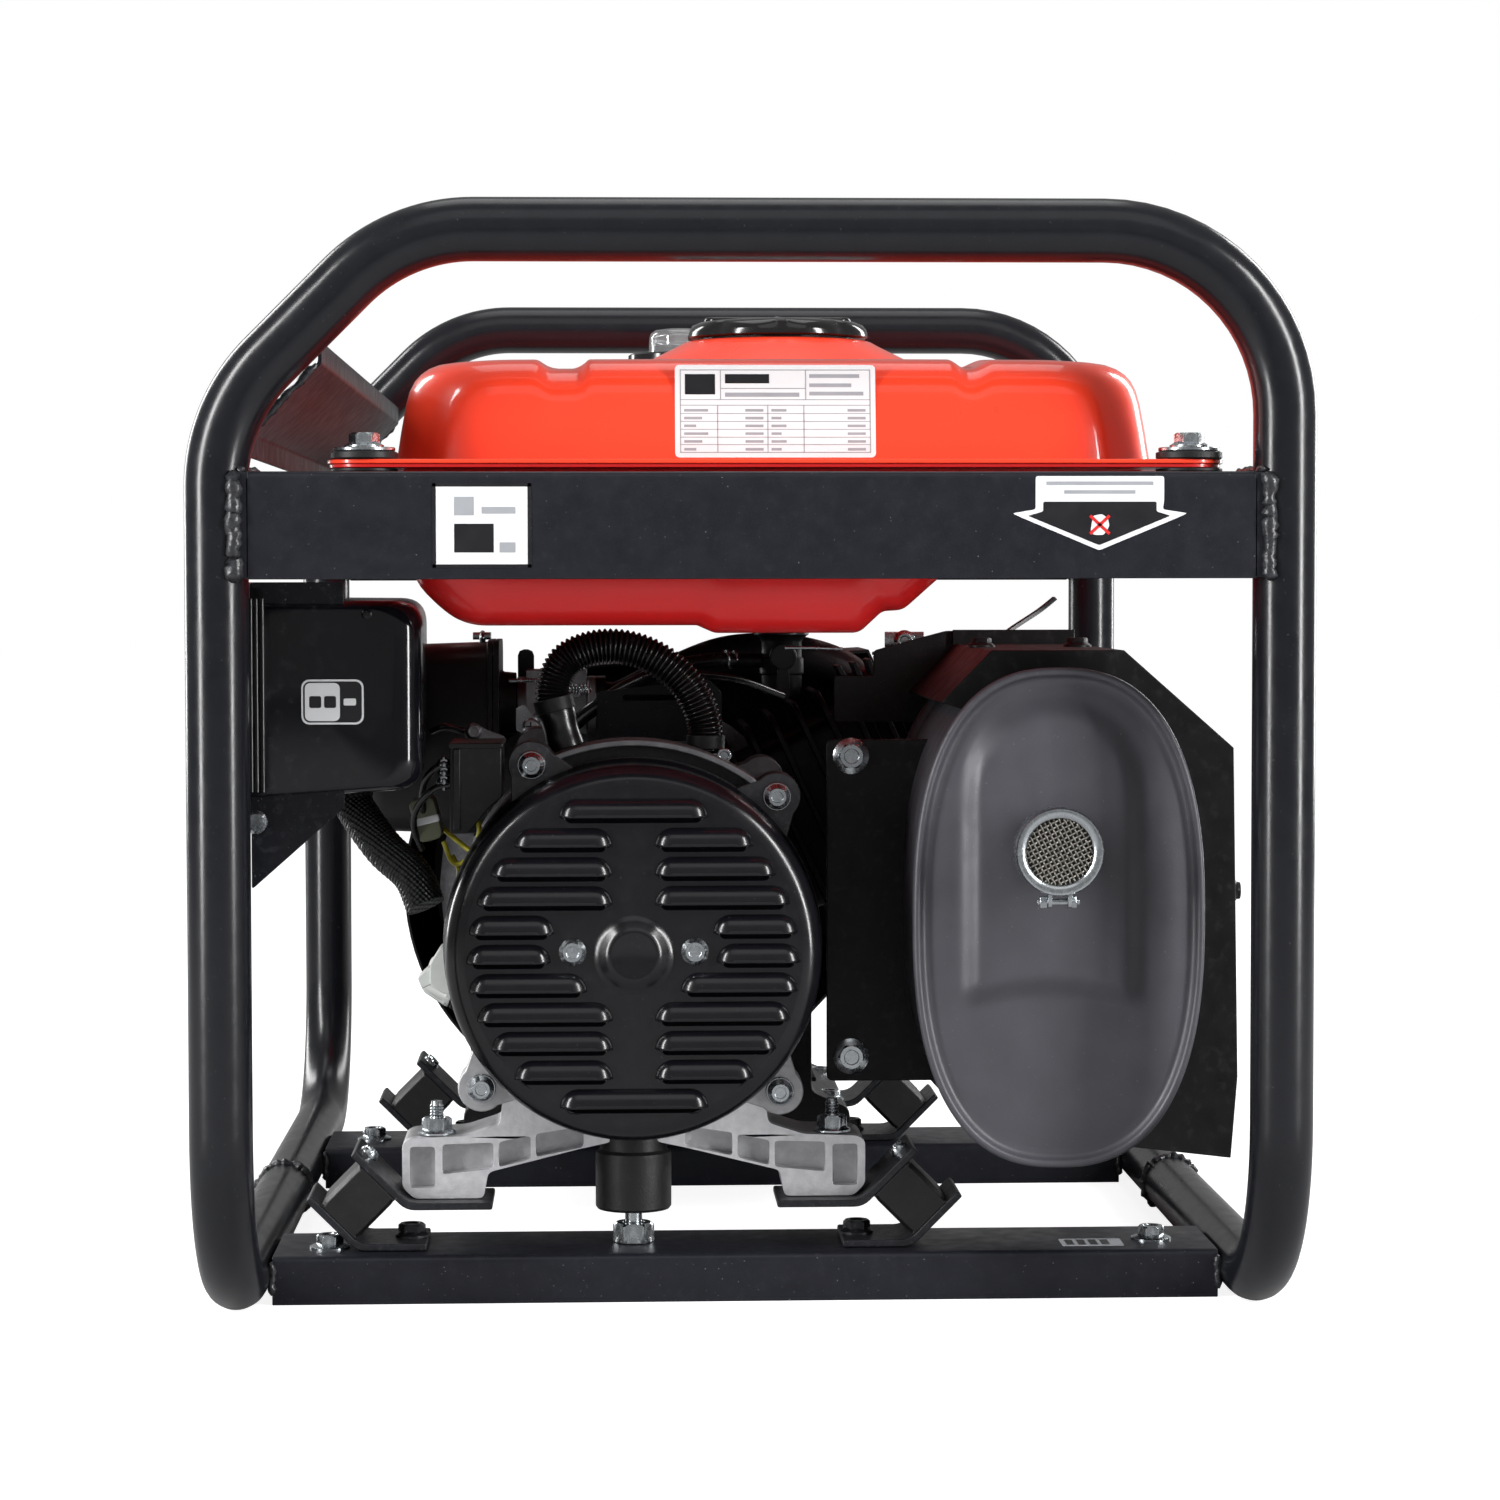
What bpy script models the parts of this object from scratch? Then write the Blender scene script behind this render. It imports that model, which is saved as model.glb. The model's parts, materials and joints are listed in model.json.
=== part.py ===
"""Open-frame portable generator: two bent tube hoops, red fuel tank, single-cylinder
engine with recoil starter, brushed alternator with a louvred end cover, muffler with
heat shield, and a side control panel.

Metres, +Z up. Origin at the bottom centre. +Y runs along the crankshaft from the
alternator end to the starter end, +X towards the muffler, -X towards the control panel.
"""

import math

import bmesh
import bpy
from mathutils import Matrix, Vector

# ---------------------------------------------------------------- driving dimensions
GAP = 0.0003              # clearance between touching pieces
SHEET = 0.0015            # pressed steel thickness
WELD_ROOM = 0.0010        # clearance filled by a weld bead

TUBE_R = 0.0125           # frame tube radius
LEG_X = 0.210             # leg centre line, half the frame's width
HOOP_Y = 0.2875           # hoop plane, half the frame's length
TOP_Z = 0.4365            # centre line of the hoop's top bar
CHAMFER_X = -0.1383       # where the 45 degree run meets the top bar
CHAMFER_Z = 0.3648        # where it meets the leg
FOOT_BEND = 0.070         # centre-line radius of the bend from leg to bottom rail
TOP_BEND = 0.072
CHAMFER_BEND = 0.070

RAIL_FACE_Y = 0.298       # outer face of the upper rails
RAIL_X = 0.2025
RAIL_Z0, RAIL_Z1 = 0.300, 0.342
RAIL_FLANGE = 0.040
ANGLE_T = 0.003

CROSS_X = 0.1968          # bottom cross rails
CROSS_Z = 0.020
CROSS_ALTERNATOR_Y = (-0.217, -0.157)
CROSS_STARTER_Y = (0.078, 0.138)

CRANK_X, CRANK_Z = -0.047, 0.1465
BASE_Z = 0.0406           # underside of the engine and alternator feet
CYL_TILT = math.radians(25.0)
CYL_Y = 0.0445

CAN_R = 0.0795            # alternator brackets
LUG_R = 0.010
LUG_CIRCLE = 0.087
LUG_ANGLES = (46.0, 119.0, 223.0, 315.0)
COVER_R = 0.0776
COVER_FACE_Y = -0.235
LOUVRE_ROWS = 11
LOUVRE_PITCH = 0.0119
LOUVRE_R = 0.0680         # outer ends of the louvres

TANK_X = (-0.144, 0.167)
TANK_Y = 0.255
SEAM_Z = 0.3455           # joint between the tank's two shells
FLANGE_X = (-0.168, 0.188)
FLANGE_Y = 0.286
CAP_X, CAP_Y = 0.0218, -0.030
NECK_Z = 0.4094
NECK_BORE = 0.030
GAUGE_PLACE = (-0.0210, 0.0780)
GAUGE_Z = 0.3983          # tank top under the gauge
VALVE = (0.025, 0.0)      # shut-off valve, X and Y
VALVE_TOP = 0.2780
VALVE_SPOUT_Z = 0.2620
VALVE_LEVER_Z = 0.2640

MUFFLER_X, MUFFLER_Z = 0.1265, 0.1615
MUFFLER_Y = (-0.245, -0.093)
MUFFLER_HALF = (0.057, 0.0995)
OUTLET = (0.1227, 0.191)

PANEL_X = -0.2035
PANEL_Y = (-0.2760, 0.030)
PANEL_Z = (0.200, 0.299)
SOCKET_Y = (-0.212, -0.154)
SOCKET_Z = 0.250
VOLTMETER = (-0.0560, 0.2680)     # the panel's other holes, Y and Z
BREAKER = (-0.1000, 0.2600)
SWITCH = (-0.0080, 0.2680)
BUTTON = (-0.0900, 0.2220)
GROUND = (0.0180, 0.2200)

AIR_Y = (0.034, 0.110)
AIR_Z = (0.176, 0.271)
CARB_Y, CARB_Z = 0.0625, 0.240

SHROUD_Y = (0.112, 0.200)
RECOIL_Y = (0.2003, 0.262)
PULLEY_R = 0.040
HANDLE_X, HANDLE_Z = -0.087, 0.205

AXIS_X = Vector((1.0, 0.0, 0.0))
AXIS_Y = Vector((0.0, 1.0, 0.0))
AXIS_Z = Vector((0.0, 0.0, 1.0))

# name: (base colour, roughness, metallic)
MATERIALS = {
    "black_paint": ((0.018, 0.019, 0.021), 0.34, 0.0),
    "satin_black": ((0.030, 0.031, 0.034), 0.50, 0.2),
    "heat_paint": ((0.060, 0.062, 0.066), 0.62, 0.3),
    "red_paint": ((0.760, 0.035, 0.012), 0.22, 0.0),
    "cast_aluminium": ((0.430, 0.440, 0.440), 0.50, 0.9),
    "engine_black": ((0.045, 0.045, 0.047), 0.55, 0.1),
    "zinc": ((0.620, 0.640, 0.650), 0.32, 1.0),
    "laminations": ((0.250, 0.250, 0.260), 0.45, 0.9),
    "black_plastic": ((0.022, 0.023, 0.024), 0.45, 0.0),
    "grey_plastic": ((0.420, 0.440, 0.430), 0.50, 0.0),
    "red_plastic": ((0.620, 0.030, 0.020), 0.40, 0.0),
    "rubber": ((0.020, 0.020, 0.020), 0.80, 0.0),
    "foam": ((0.090, 0.090, 0.080), 0.95, 0.0),
}


# ---------------------------------------------------------------- scene and helpers
def clear_scene():
    for obj in list(bpy.data.objects):
        bpy.data.objects.remove(obj)


def new_collection(name):
    collection = bpy.data.collections.new(name)
    bpy.context.scene.collection.children.link(collection)
    return collection


def make_materials():
    made = {}
    for name, (colour, roughness, metallic) in MATERIALS.items():
        material = bpy.data.materials.new(name)
        material.use_nodes = True
        shader = material.node_tree.nodes["Principled BSDF"]
        shader.inputs["Base Color"].default_value = (*colour, 1.0)
        shader.inputs["Roughness"].default_value = roughness
        shader.inputs["Metallic"].default_value = metallic
        made[name] = material
    return made


clear_scene()
PARTS = new_collection("portable_generator")
CUTTERS = new_collection("cutters")
MATS = make_materials()


def link(name, data, material, matrix=None):
    """Puts new data in the parts collection as a named object."""
    obj = bpy.data.objects.new(name, data)
    PARTS.objects.link(obj)
    data.materials.append(MATS[material])
    if matrix is not None:
        obj.matrix_world = matrix
    return obj


def aimed(centre, axis):
    """A matrix that puts local +Z along the axis at the centre."""
    turn = Vector(axis).to_track_quat("Z", "Y").to_matrix().to_4x4()
    return Matrix.Translation(Vector(centre)) @ turn


def box(name, low, high, material):
    mesh = bpy.data.meshes.new(name)
    bm = bmesh.new()
    bmesh.ops.create_cube(bm, size=1.0)
    low = Vector(low)
    high = Vector(high)
    bmesh.ops.scale(bm, vec=high - low, verts=bm.verts)
    bmesh.ops.translate(bm, vec=(low + high) / 2, verts=bm.verts)
    bm.to_mesh(mesh)
    bm.free()
    return link(name, mesh, material)


def rod(name, start, end, radius, material, sides=16, radius_end=None):
    """A straight cylinder or cone between two points."""
    start = Vector(start)
    end = Vector(end)
    mesh = bpy.data.meshes.new(name)
    bm = bmesh.new()
    bmesh.ops.create_cone(
        bm, cap_ends=True, segments=sides, radius1=radius,
        radius2=radius if radius_end is None else radius_end, depth=(end - start).length)
    bm.to_mesh(mesh)
    bm.free()
    return link(name, mesh, material, aimed((start + end) / 2, end - start))


def turned(name, profile, centre, axis, material, steps=24):
    """A solid of revolution; profile points are (radius, height), in either direction."""
    area = sum(a[0] * b[1] - b[0] * a[1] for a, b in zip(profile, [*profile[1:], profile[0]]))
    if area > 0.0:
        profile = profile[::-1]
    mesh = bpy.data.meshes.new(name)
    bm = bmesh.new()
    verts = [bm.verts.new((radius, 0.0, height)) for radius, height in profile]
    for first, second in zip(verts, verts[1:]):
        bm.edges.new((first, second))
    if min(radius for radius, _ in profile) > 0.0:
        bm.edges.new((verts[-1], verts[0]))
    bm.to_mesh(mesh)
    bm.free()
    obj = link(name, mesh, material, aimed(centre, axis))
    screw = obj.modifiers.new("screw", "SCREW")
    screw.steps = steps
    screw.render_steps = steps
    screw.use_merge_vertices = True
    screw.merge_threshold = 0.00001
    return obj


def plate(name, loops, thickness, matrix, material):
    """Flat outlines, filled and extruded both ways from the local XY plane."""
    curve = bpy.data.curves.new(name, "CURVE")
    curve.dimensions = "2D"
    curve.fill_mode = "BOTH"
    curve.extrude = thickness / 2
    for points in loops:
        spline = curve.splines.new("POLY")
        spline.points.add(len(points) - 1)
        for point, (x, y) in zip(spline.points, points):
            point.co = (x, y, 0.0, 1.0)
        spline.use_cyclic_u = True
    return link(name, curve, material, matrix)


def across_y(y):
    """Local X, Y become world X, Z at the given Y."""
    return Matrix.Translation((0.0, y, 0.0)) @ Matrix.Rotation(math.pi / 2, 4, "X")


def along_x(x):
    """Local X, Y become world Y, Z at the given X."""
    turn = Matrix(((0, 0, 1, 0), (1, 0, 0, 0), (0, 1, 0, 0), (0, 0, 0, 1)))
    return Matrix.Translation((x, 0.0, 0.0)) @ turn


def profile_y(name, outline, y0, y1, material):
    """An XZ outline extruded from y0 to y1."""
    return plate(name, [outline], y1 - y0, across_y((y0 + y1) / 2), material)


def tube(name, points, radius, material, resolution=2):
    curve = bpy.data.curves.new(name, "CURVE")
    curve.dimensions = "3D"
    curve.bevel_depth = radius
    curve.bevel_resolution = resolution
    curve.use_fill_caps = True
    spline = curve.splines.new("POLY")
    spline.points.add(len(points) - 1)
    for point, place in zip(spline.points, points):
        point.co = (*place, 1.0)
    return link(name, curve, material)


def frozen(obj):
    """Turns a curve or a modified object into a plain closed mesh object."""
    name = obj.name
    graph = bpy.context.evaluated_depsgraph_get()
    graph.update()
    mesh = bpy.data.meshes.new_from_object(obj.evaluated_get(graph))
    matrix = obj.matrix_world.copy()
    bpy.data.objects.remove(obj)
    bm = bmesh.new()
    bm.from_mesh(mesh)
    bmesh.ops.remove_doubles(bm, verts=bm.verts, dist=0.000005)
    bmesh.ops.recalc_face_normals(bm, faces=bm.faces)
    bm.to_mesh(mesh)
    bm.free()
    made = bpy.data.objects.new(name, mesh)
    made.name = name
    PARTS.objects.link(made)
    made.matrix_world = matrix
    return made


def combine(obj, others, operation):
    """Joins or cuts with an exact Boolean; the other bodies become hidden cutters."""
    body = frozen(obj)
    for index, other in enumerate(others):
        tool = frozen(other)
        tool.name = f"{body.name}_{operation.lower()}_{index}"
        PARTS.objects.unlink(tool)
        CUTTERS.objects.link(tool)
        tool.hide_render = True
        tool.display_type = "WIRE"
        modifier = body.modifiers.new(f"{operation.lower()}_{index}", "BOOLEAN")
        modifier.operation = operation
        modifier.solver = "EXACT"
        modifier.object = tool
    return body


def join(obj, *others):
    return combine(obj, others, "UNION")


def cut(obj, *others):
    return combine(obj, others, "DIFFERENCE")


def bevelled(obj, width, segments=2):
    modifier = obj.modifiers.new("bevel", "BEVEL")
    modifier.width = width
    modifier.segments = segments
    modifier.limit_method = "ANGLE"
    return obj


def origin_on(obj, place):
    """Moves an object's origin onto its joint without moving its shape."""
    obj = frozen(obj)
    shift = Matrix.Translation(Vector(place))
    obj.data.transform(shift.inverted() @ obj.matrix_world)
    obj.matrix_world = shift
    return obj


def filleted(corners, radii, steps=6):
    """A polyline whose inner corners are rounded to the given radii."""
    corners = [Vector(corner) for corner in corners]
    points = [corners[0]]
    for before, corner, after, radius in zip(corners, corners[1:], corners[2:], radii):
        back = (before - corner).normalized()
        ahead = (after - corner).normalized()
        half = back.angle(ahead) / 2
        reach = radius / math.tan(half)
        centre = corner + (back + ahead).normalized() * (radius / math.sin(half))
        start = (corner + back * reach - centre).normalized()
        end = (corner + ahead * reach - centre).normalized()
        for step in range(steps + 1):
            points.append(centre + start.slerp(end, step / steps) * radius)
    points.append(corners[-1])
    return points


def smooth_route(places, count):
    """Points read from a Catmull-Rom curve through the given places."""
    places = [Vector(place) for place in places]
    padded = [2 * places[0] - places[1], *places, 2 * places[-1] - places[-2]]
    spans = len(places) - 1
    route = []
    for index in range(count + 1):
        position = index * spans / count
        span = min(int(position), spans - 1)
        t = position - span
        a, b, c, d = padded[span:span + 4]
        route.append(0.5 * (2 * b + (c - a) * t + (2 * a - 5 * b + 4 * c - d) * t ** 2
                            + (3 * b - a - 3 * c + d) * t ** 3))
    return route


def ellipse(centre, half, count, power=2.0):
    """A superellipse outline; power 2 is a true ellipse."""
    points = []
    for index in range(count):
        angle = math.tau * index / count
        c, s = math.cos(angle), math.sin(angle)
        points.append((centre[0] + half[0] * math.copysign(abs(c) ** (2 / power), c),
                       centre[1] + half[1] * math.copysign(abs(s) ** (2 / power), s)))
    return points


def rounded_rectangle(low, high, radius, steps=3):
    """Corners rounded in turn, anticlockwise from the upper right."""
    points = []
    for turn, (x, y) in enumerate(((high[0], high[1]), (low[0], high[1]),
                                   (low[0], low[1]), (high[0], low[1]))):
        sign_x = 1 if x == high[0] else -1
        sign_y = 1 if y == high[1] else -1
        centre = (x - sign_x * radius, y - sign_y * radius)
        for step in range(steps + 1):
            angle = math.pi / 2 * (turn + step / steps)
            points.append((centre[0] + radius * math.cos(angle),
                           centre[1] + radius * math.sin(angle)))
    return points


def around_crank(radius, degrees):
    """An XZ point on a circle about the crankshaft."""
    angle = math.radians(degrees)
    return CRANK_X + radius * math.cos(angle), CRANK_Z + radius * math.sin(angle)


def from_cylinder(along, side):
    """An XZ point measured along and square to the cylinder's axis."""
    c, s = math.cos(CYL_TILT), math.sin(CYL_TILT)
    return CRANK_X + along * c - side * s, CRANK_Z + along * s + side * c


# ---------------------------------------------------------------- frame
def hoop(name, side):
    """One end hoop; its feet bend back into the bottom rails and end at mid length."""
    y = side * HOOP_Y
    middle = side * GAP / 2
    corners = [(LEG_X, middle, TUBE_R), (LEG_X, y, TUBE_R), (LEG_X, y, TOP_Z),
               (CHAMFER_X, y, TOP_Z), (-LEG_X, y, CHAMFER_Z), (-LEG_X, y, TUBE_R),
               (-LEG_X, middle, TUBE_R)]
    radii = [FOOT_BEND, TOP_BEND, CHAMFER_BEND, CHAMFER_BEND, FOOT_BEND]
    return tube(name, filleted(corners, radii, steps=5), TUBE_R, "black_paint", resolution=4)


def upper_rail(name, side):
    """Angle iron welded between the legs; the tank hangs on its top flange."""
    face = side * RAIL_FACE_Y
    web = face - side * ANGLE_T
    heel = face - side * RAIL_FLANGE
    outline = [(face, RAIL_Z0), (face, RAIL_Z1), (heel, RAIL_Z1),
               (heel, RAIL_Z1 - ANGLE_T), (web, RAIL_Z1 - ANGLE_T), (web, RAIL_Z0)]
    angle = plate(name, [outline], 2 * RAIL_X, along_x(0.0), "black_paint")
    legs = [rod(f"leg_room_{sign}", (sign * LEG_X, side * HOOP_Y, RAIL_Z0 - 0.01),
                (sign * LEG_X, side * HOOP_Y, RAIL_Z1 + 0.01), TUBE_R + WELD_ROOM,
                "black_paint", sides=24) for sign in (-1, 1)]
    return cut(angle, *legs)


def cross_rail(name, ends):
    """Inverted channel across the bottom rails."""
    low, high = ends
    outline = [(low, 0.0), (low, CROSS_Z), (high, CROSS_Z), (high, 0.0),
               (high - ANGLE_T, 0.0), (high - ANGLE_T, CROSS_Z - ANGLE_T),
               (low + ANGLE_T, CROSS_Z - ANGLE_T), (low + ANGLE_T, 0.0)]
    return plate(name, [outline], 2 * CROSS_X, along_x(0.0), "black_paint")


def inclined_panel():
    """Folded sheet between the hoops' 45 degree runs, above the control box."""
    outline = [(-0.1990, 0.3480), (-0.1990, 0.3575), (-0.1710, 0.3855), (-0.1710, 0.3940),
               (-0.1695, 0.3940), (-0.1695, 0.3849), (-0.1975, 0.3569), (-0.1975, 0.3480)]
    reach = HOOP_Y - TUBE_R - 2 * GAP
    return profile_y("inclined_panel", outline, -reach, reach, "black_paint")


# ---------------------------------------------------------------- fuel system
def tank_flange(name, z0, z1, opening):
    """The seam flange as a flat ring of sheet."""
    outer = rounded_rectangle((FLANGE_X[0], -FLANGE_Y), (FLANGE_X[1], FLANGE_Y), 0.014)
    low, high = opening
    inner = [(low[0], low[1]), (high[0], low[1]), (high[0], high[1]), (low[0], high[1])]
    matrix = Matrix.Translation((0.0, 0.0, (z0 + z1) / 2))
    return plate(name, [outer, inner], z1 - z0, matrix, "red_paint")


def dome(name, low, high, inset, rise, radius):
    """A box with rounded edges whose top rises to a smaller level face."""
    obj = box(name, low, high, "red_paint")
    bm = bmesh.new()
    bm.from_mesh(obj.data)
    top = max(bm.faces, key=lambda face: face.calc_center_median().z)
    bmesh.ops.inset_region(bm, faces=[top], thickness=inset)
    bmesh.ops.translate(bm, vec=(0.0, 0.0, rise), verts=top.verts)
    bm.to_mesh(obj.data)
    bm.free()
    return bevelled(obj, radius)


def tank_upper_shell():
    """Pressed dome with the filler's plateau and neck; it is modelled long and trimmed at the seam."""
    x0, x1 = TANK_X
    z0 = SEAM_Z
    z1 = 0.3900
    below = z0 - 0.030
    inset, rise, edge = 0.055, 0.008, 0.006
    shell = dome("tank_upper_shell", (x0, -TANK_Y, z0 - 0.015), (x1, TANK_Y, z1), inset, rise, edge)
    room = dome("room", (x0 + SHEET, -TANK_Y + SHEET, below), (x1 - SHEET, TANK_Y - SHEET, z1 - SHEET),
                inset, rise, edge - SHEET)
    trim = box("trim", (x0 - 0.016, -TANK_Y - 0.010, below - 0.010), (x1 + 0.013, TANK_Y + 0.010, z0),
               "red_paint")
    plateau = rod("plateau", (CAP_X, CAP_Y, z1 + 0.004), (CAP_X, CAP_Y, NECK_Z), 0.062,
                  "red_paint", sides=32, radius_end=0.049)
    inside = 0.0005
    flange = tank_flange("flange", z0, z0 + SHEET,
                         ((x0 + inside, -TANK_Y + inside), (x1 - inside, TANK_Y - inside)))
    neck = rod("neck", (CAP_X, CAP_Y, z1 - 0.01), (CAP_X, CAP_Y, NECK_Z + 0.01), NECK_BORE,
               "red_paint", sides=24)
    body = cut(shell, room, trim)
    body = join(body, plateau, flange)
    return cut(body, neck)


def lower_outline(wall):
    """The lower shell's cross section, drawn in by the wall thickness for its inside."""
    return [(-0.1400 + wall, SEAM_Z - GAP), (-0.1360 + wall, 0.3020), (-0.1225 + wall, 0.2870 + wall),
            (-0.1125, 0.2812 + wall), (-0.0200, 0.2812 + wall), (-0.0140, VALVE_TOP + wall),
            (0.0460, VALVE_TOP + wall), (0.0600, 0.2870 + wall), (0.0820, 0.2895 + wall),
            (0.1000 - wall, 0.3015 + wall), (0.1500 - wall, 0.3300 + wall), (0.1620 - wall, SEAM_Z - GAP)]


def tank_lower_shell():
    top = SEAM_Z - GAP
    end = TANK_Y - 0.004
    body = profile_y("tank_lower_shell", lower_outline(0.0), -end, end, "red_paint")
    inside = lower_outline(SHEET)
    inside[0] = (inside[0][0], top + 0.01)
    inside[-1] = (inside[-1][0], top + 0.01)
    room = profile_y("room", inside, -end + SHEET, end - SHEET, "red_paint")
    flange = tank_flange("flange", top - SHEET, top,
                         ((-0.1392, -end + 0.0005), (0.1600, end - 0.0005)))
    outlet = rod("outlet", (*VALVE, 0.270), (*VALVE, 0.290), 0.004, "red_paint", sides=12)
    return cut(join(cut(body, room), flange), outlet)


def fuel_cap():
    """Bayonet cap: a low disc with a grip rib and a skirt, open below, that drops into the neck."""
    profile = [(0.0, 0.4190), (0.036, 0.4190), (0.0415, 0.4170), (0.0425, 0.4112), (0.0265, 0.4112),
               (0.0265, 0.3970), (0.0240, 0.3970), (0.0240, 0.4150), (0.0, 0.4150)]
    cap = turned("fuel_cap", profile, (CAP_X, CAP_Y, 0.0), AXIS_Z, "black_plastic", steps=32)
    rib = box("rib", (CAP_X - 0.0395, CAP_Y - 0.006, 0.4160), (CAP_X + 0.0395, CAP_Y + 0.006, 0.4232),
              "black_plastic")
    return origin_on(join(cap, bevelled(rib, 0.002, 1)), (CAP_X, CAP_Y, NECK_Z))


def fuel_cap_gasket():
    profile = [(0.0355, NECK_Z + 0.0014), (0.0355, NECK_Z + GAP), (0.0275, NECK_Z + GAP),
               (0.0275, NECK_Z + 0.0014)]
    ring = turned("fuel_cap_gasket", profile, (CAP_X, CAP_Y, 0.0), AXIS_Z, "rubber", steps=24)
    return origin_on(ring, (CAP_X, CAP_Y, NECK_Z))


def fuel_gauge():
    """Round level gauge on the tank top, open above its pointer."""
    z = GAUGE_Z
    cup = [(0.0, z + 0.0040), (0.0225, z + 0.0040), (0.0225, z + 0.0120), (0.0255, z + 0.0120),
           (0.0255, z), (0.0, z)]
    return turned("fuel_gauge", cup, (*GAUGE_PLACE, 0.0), AXIS_Z, "black_plastic", steps=24)


def fuel_gauge_needle():
    x, y = GAUGE_PLACE
    z = GAUGE_Z + 0.0060
    hub = rod("fuel_gauge_needle", (x, y, z), (x, y, z + 0.003), 0.003, "red_plastic", sides=10)
    arm = box("arm", (x - 0.0008, y - 0.001, z + 0.0008), (x + 0.0008, y + 0.019, z + 0.0020),
              "red_plastic")
    return origin_on(join(hub, arm), (x, y, z))


def fuel_valve():
    """Shut-off valve under the tank with a sediment cup and a side outlet."""
    x, y = VALVE
    top = VALVE_TOP - GAP
    profile = [(0.0, top), (0.0125, top), (0.0125, top - 0.004), (0.0095, top - 0.006),
               (0.0095, 0.2500), (0.0070, 0.2440), (0.0, 0.2440)]
    body = turned("fuel_valve", profile, (x, y, 0.0), AXIS_Z, "black_plastic", steps=16)
    spout = rod("spout", (x, y, VALVE_SPOUT_Z), (x - 0.021, y, VALVE_SPOUT_Z), 0.0035, "black_plastic",
                sides=10)
    boss = rod("boss", (x, y, VALVE_LEVER_Z), (x, y - 0.013, VALVE_LEVER_Z), 0.0055, "black_plastic",
               sides=12)
    return join(body, spout, boss)


def fuel_valve_lever():
    x, y = VALVE
    face = y - 0.013 - GAP
    hub = rod("fuel_valve_lever", (x, face, VALVE_LEVER_Z), (x, face - 0.005, VALVE_LEVER_Z), 0.0065,
              "red_plastic", sides=12)
    grip = box("grip", (x - 0.0025, face - 0.0045, 0.2440), (x + 0.0025, face - 0.0008, 0.2620),
               "red_plastic")
    return origin_on(join(hub, grip), (x, face, VALVE_LEVER_Z))


def fuel_hose():
    x, y = VALVE
    places = [(x - 0.0214, y, VALVE_SPOUT_Z), (-0.0060, y, VALVE_SPOUT_Z), (-0.0240, 0.0040, 0.2590),
              (-0.0460, 0.0120, 0.2500), (-0.0660, 0.0220, 0.2370), (-0.0790, 0.0330, 0.2250),
              (-0.0820, 0.0400, 0.2220), (-0.0820, 0.0462, 0.2220)]
    return tube("fuel_hose", smooth_route(places, 18), 0.0034, "rubber")


# ---------------------------------------------------------------- alternator
def lugs(y0, y1):
    """Bolt lugs around a bracket, from y0 to y1."""
    made = []
    for angle in LUG_ANGLES:
        x, z = around_crank(LUG_CIRCLE, angle)
        made.append(rod(f"lug_{angle:.0f}", (x, y0, z), (x, y1, z), LUG_R, "cast_aluminium", sides=14))
    return made


def along_crank(name, profile, material, steps=32):
    """A turned piece about the crankshaft; profile points are (radius, y)."""
    return turned(name, profile, (CRANK_X, 0.0, CRANK_Z), AXIS_Y, material, steps)


def louvre_spans(row, dz):
    """The slots in one row as X limits from the axis: the end rows are single, the rest are pairs."""
    if row in (0, LOUVRE_ROWS - 1):
        return [(-0.030, 0.030)]
    outer = math.sqrt(LOUVRE_R ** 2 - dz ** 2)
    inner = {4: 0.0328, 5: 0.0342, 6: 0.0195}.get(row, 0.0090)
    return [(-outer, -inner), (inner, outer)]


def alternator_end_cover():
    """Pressed cup with rows of louvres, their width following the round rim."""
    face = COVER_FACE_Y
    back = -0.1975
    profile = [(0.0, face - 0.0040), (0.0080, face - 0.0040), (0.015, face + SHEET),
               (COVER_R - 0.0075, face + SHEET), (COVER_R - SHEET, face + 0.0085), (COVER_R - SHEET, back),
               (COVER_R + 0.0012, back), (COVER_R + 0.0012, back - 0.004), (COVER_R, back - 0.006),
               (COVER_R, face + 0.008), (COVER_R - 0.0070, face), (0.016, face), (0.0085, face - 0.0055),
               (0.0, face - 0.0055)]
    shell = frozen(along_crank("alternator_end_cover", profile, "satin_black", steps=28))
    slots = []
    for row in range(LOUVRE_ROWS):
        dz = (LOUVRE_ROWS // 2 - row) * LOUVRE_PITCH
        z = CRANK_Z + dz
        for low, high in louvre_spans(row, dz):
            slots.append(box(f"slot_{row}", (CRANK_X + low, face - 0.004, z - 0.0032),
                             (CRANK_X + high, face + 0.0035, z + 0.0004), "satin_black"))
    return cut(shell, *slots)


def alternator_end_bracket():
    """Cast cup with the bearing seat, four bolt lugs and the two feet."""
    front, back = -0.1972, -0.1522
    ring = along_crank("alternator_end_bracket", [(CAN_R, front), (0.0210, front), (0.0210, front + 0.007),
                       (0.0710, front + 0.007), (0.0710, back), (CAN_R, back)], "cast_aluminium", steps=28)
    feet = [(-0.1395, BASE_Z), (-0.1440, 0.0460), (-0.1440, 0.0640), (-0.1350, 0.0680), (-0.1180, 0.0990),
            (-0.1050, 0.1060), (-0.0900, 0.0860), (-0.0620, 0.0725), (-0.0320, 0.0725), (-0.0040, 0.0860),
            (0.0110, 0.1060), (0.0240, 0.0990), (0.0420, 0.0640), (0.0515, 0.0600), (0.0515, 0.0460),
            (0.0465, BASE_Z), (-0.0190, BASE_Z), (-0.0250, 0.0660), (-0.0690, 0.0660), (-0.0750, BASE_Z)]
    web = profile_y("web", feet, -0.1960, -0.1600, "cast_aluminium")
    bore = along_crank("bore", [(0.0, -0.1900), (0.0709, -0.1900), (0.0709, -0.1500), (0.0, -0.1500)],
                       "cast_aluminium", steps=28)
    body = join(ring, web, *lugs(-0.1970, -0.1790))
    return cut(body, bore)


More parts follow.
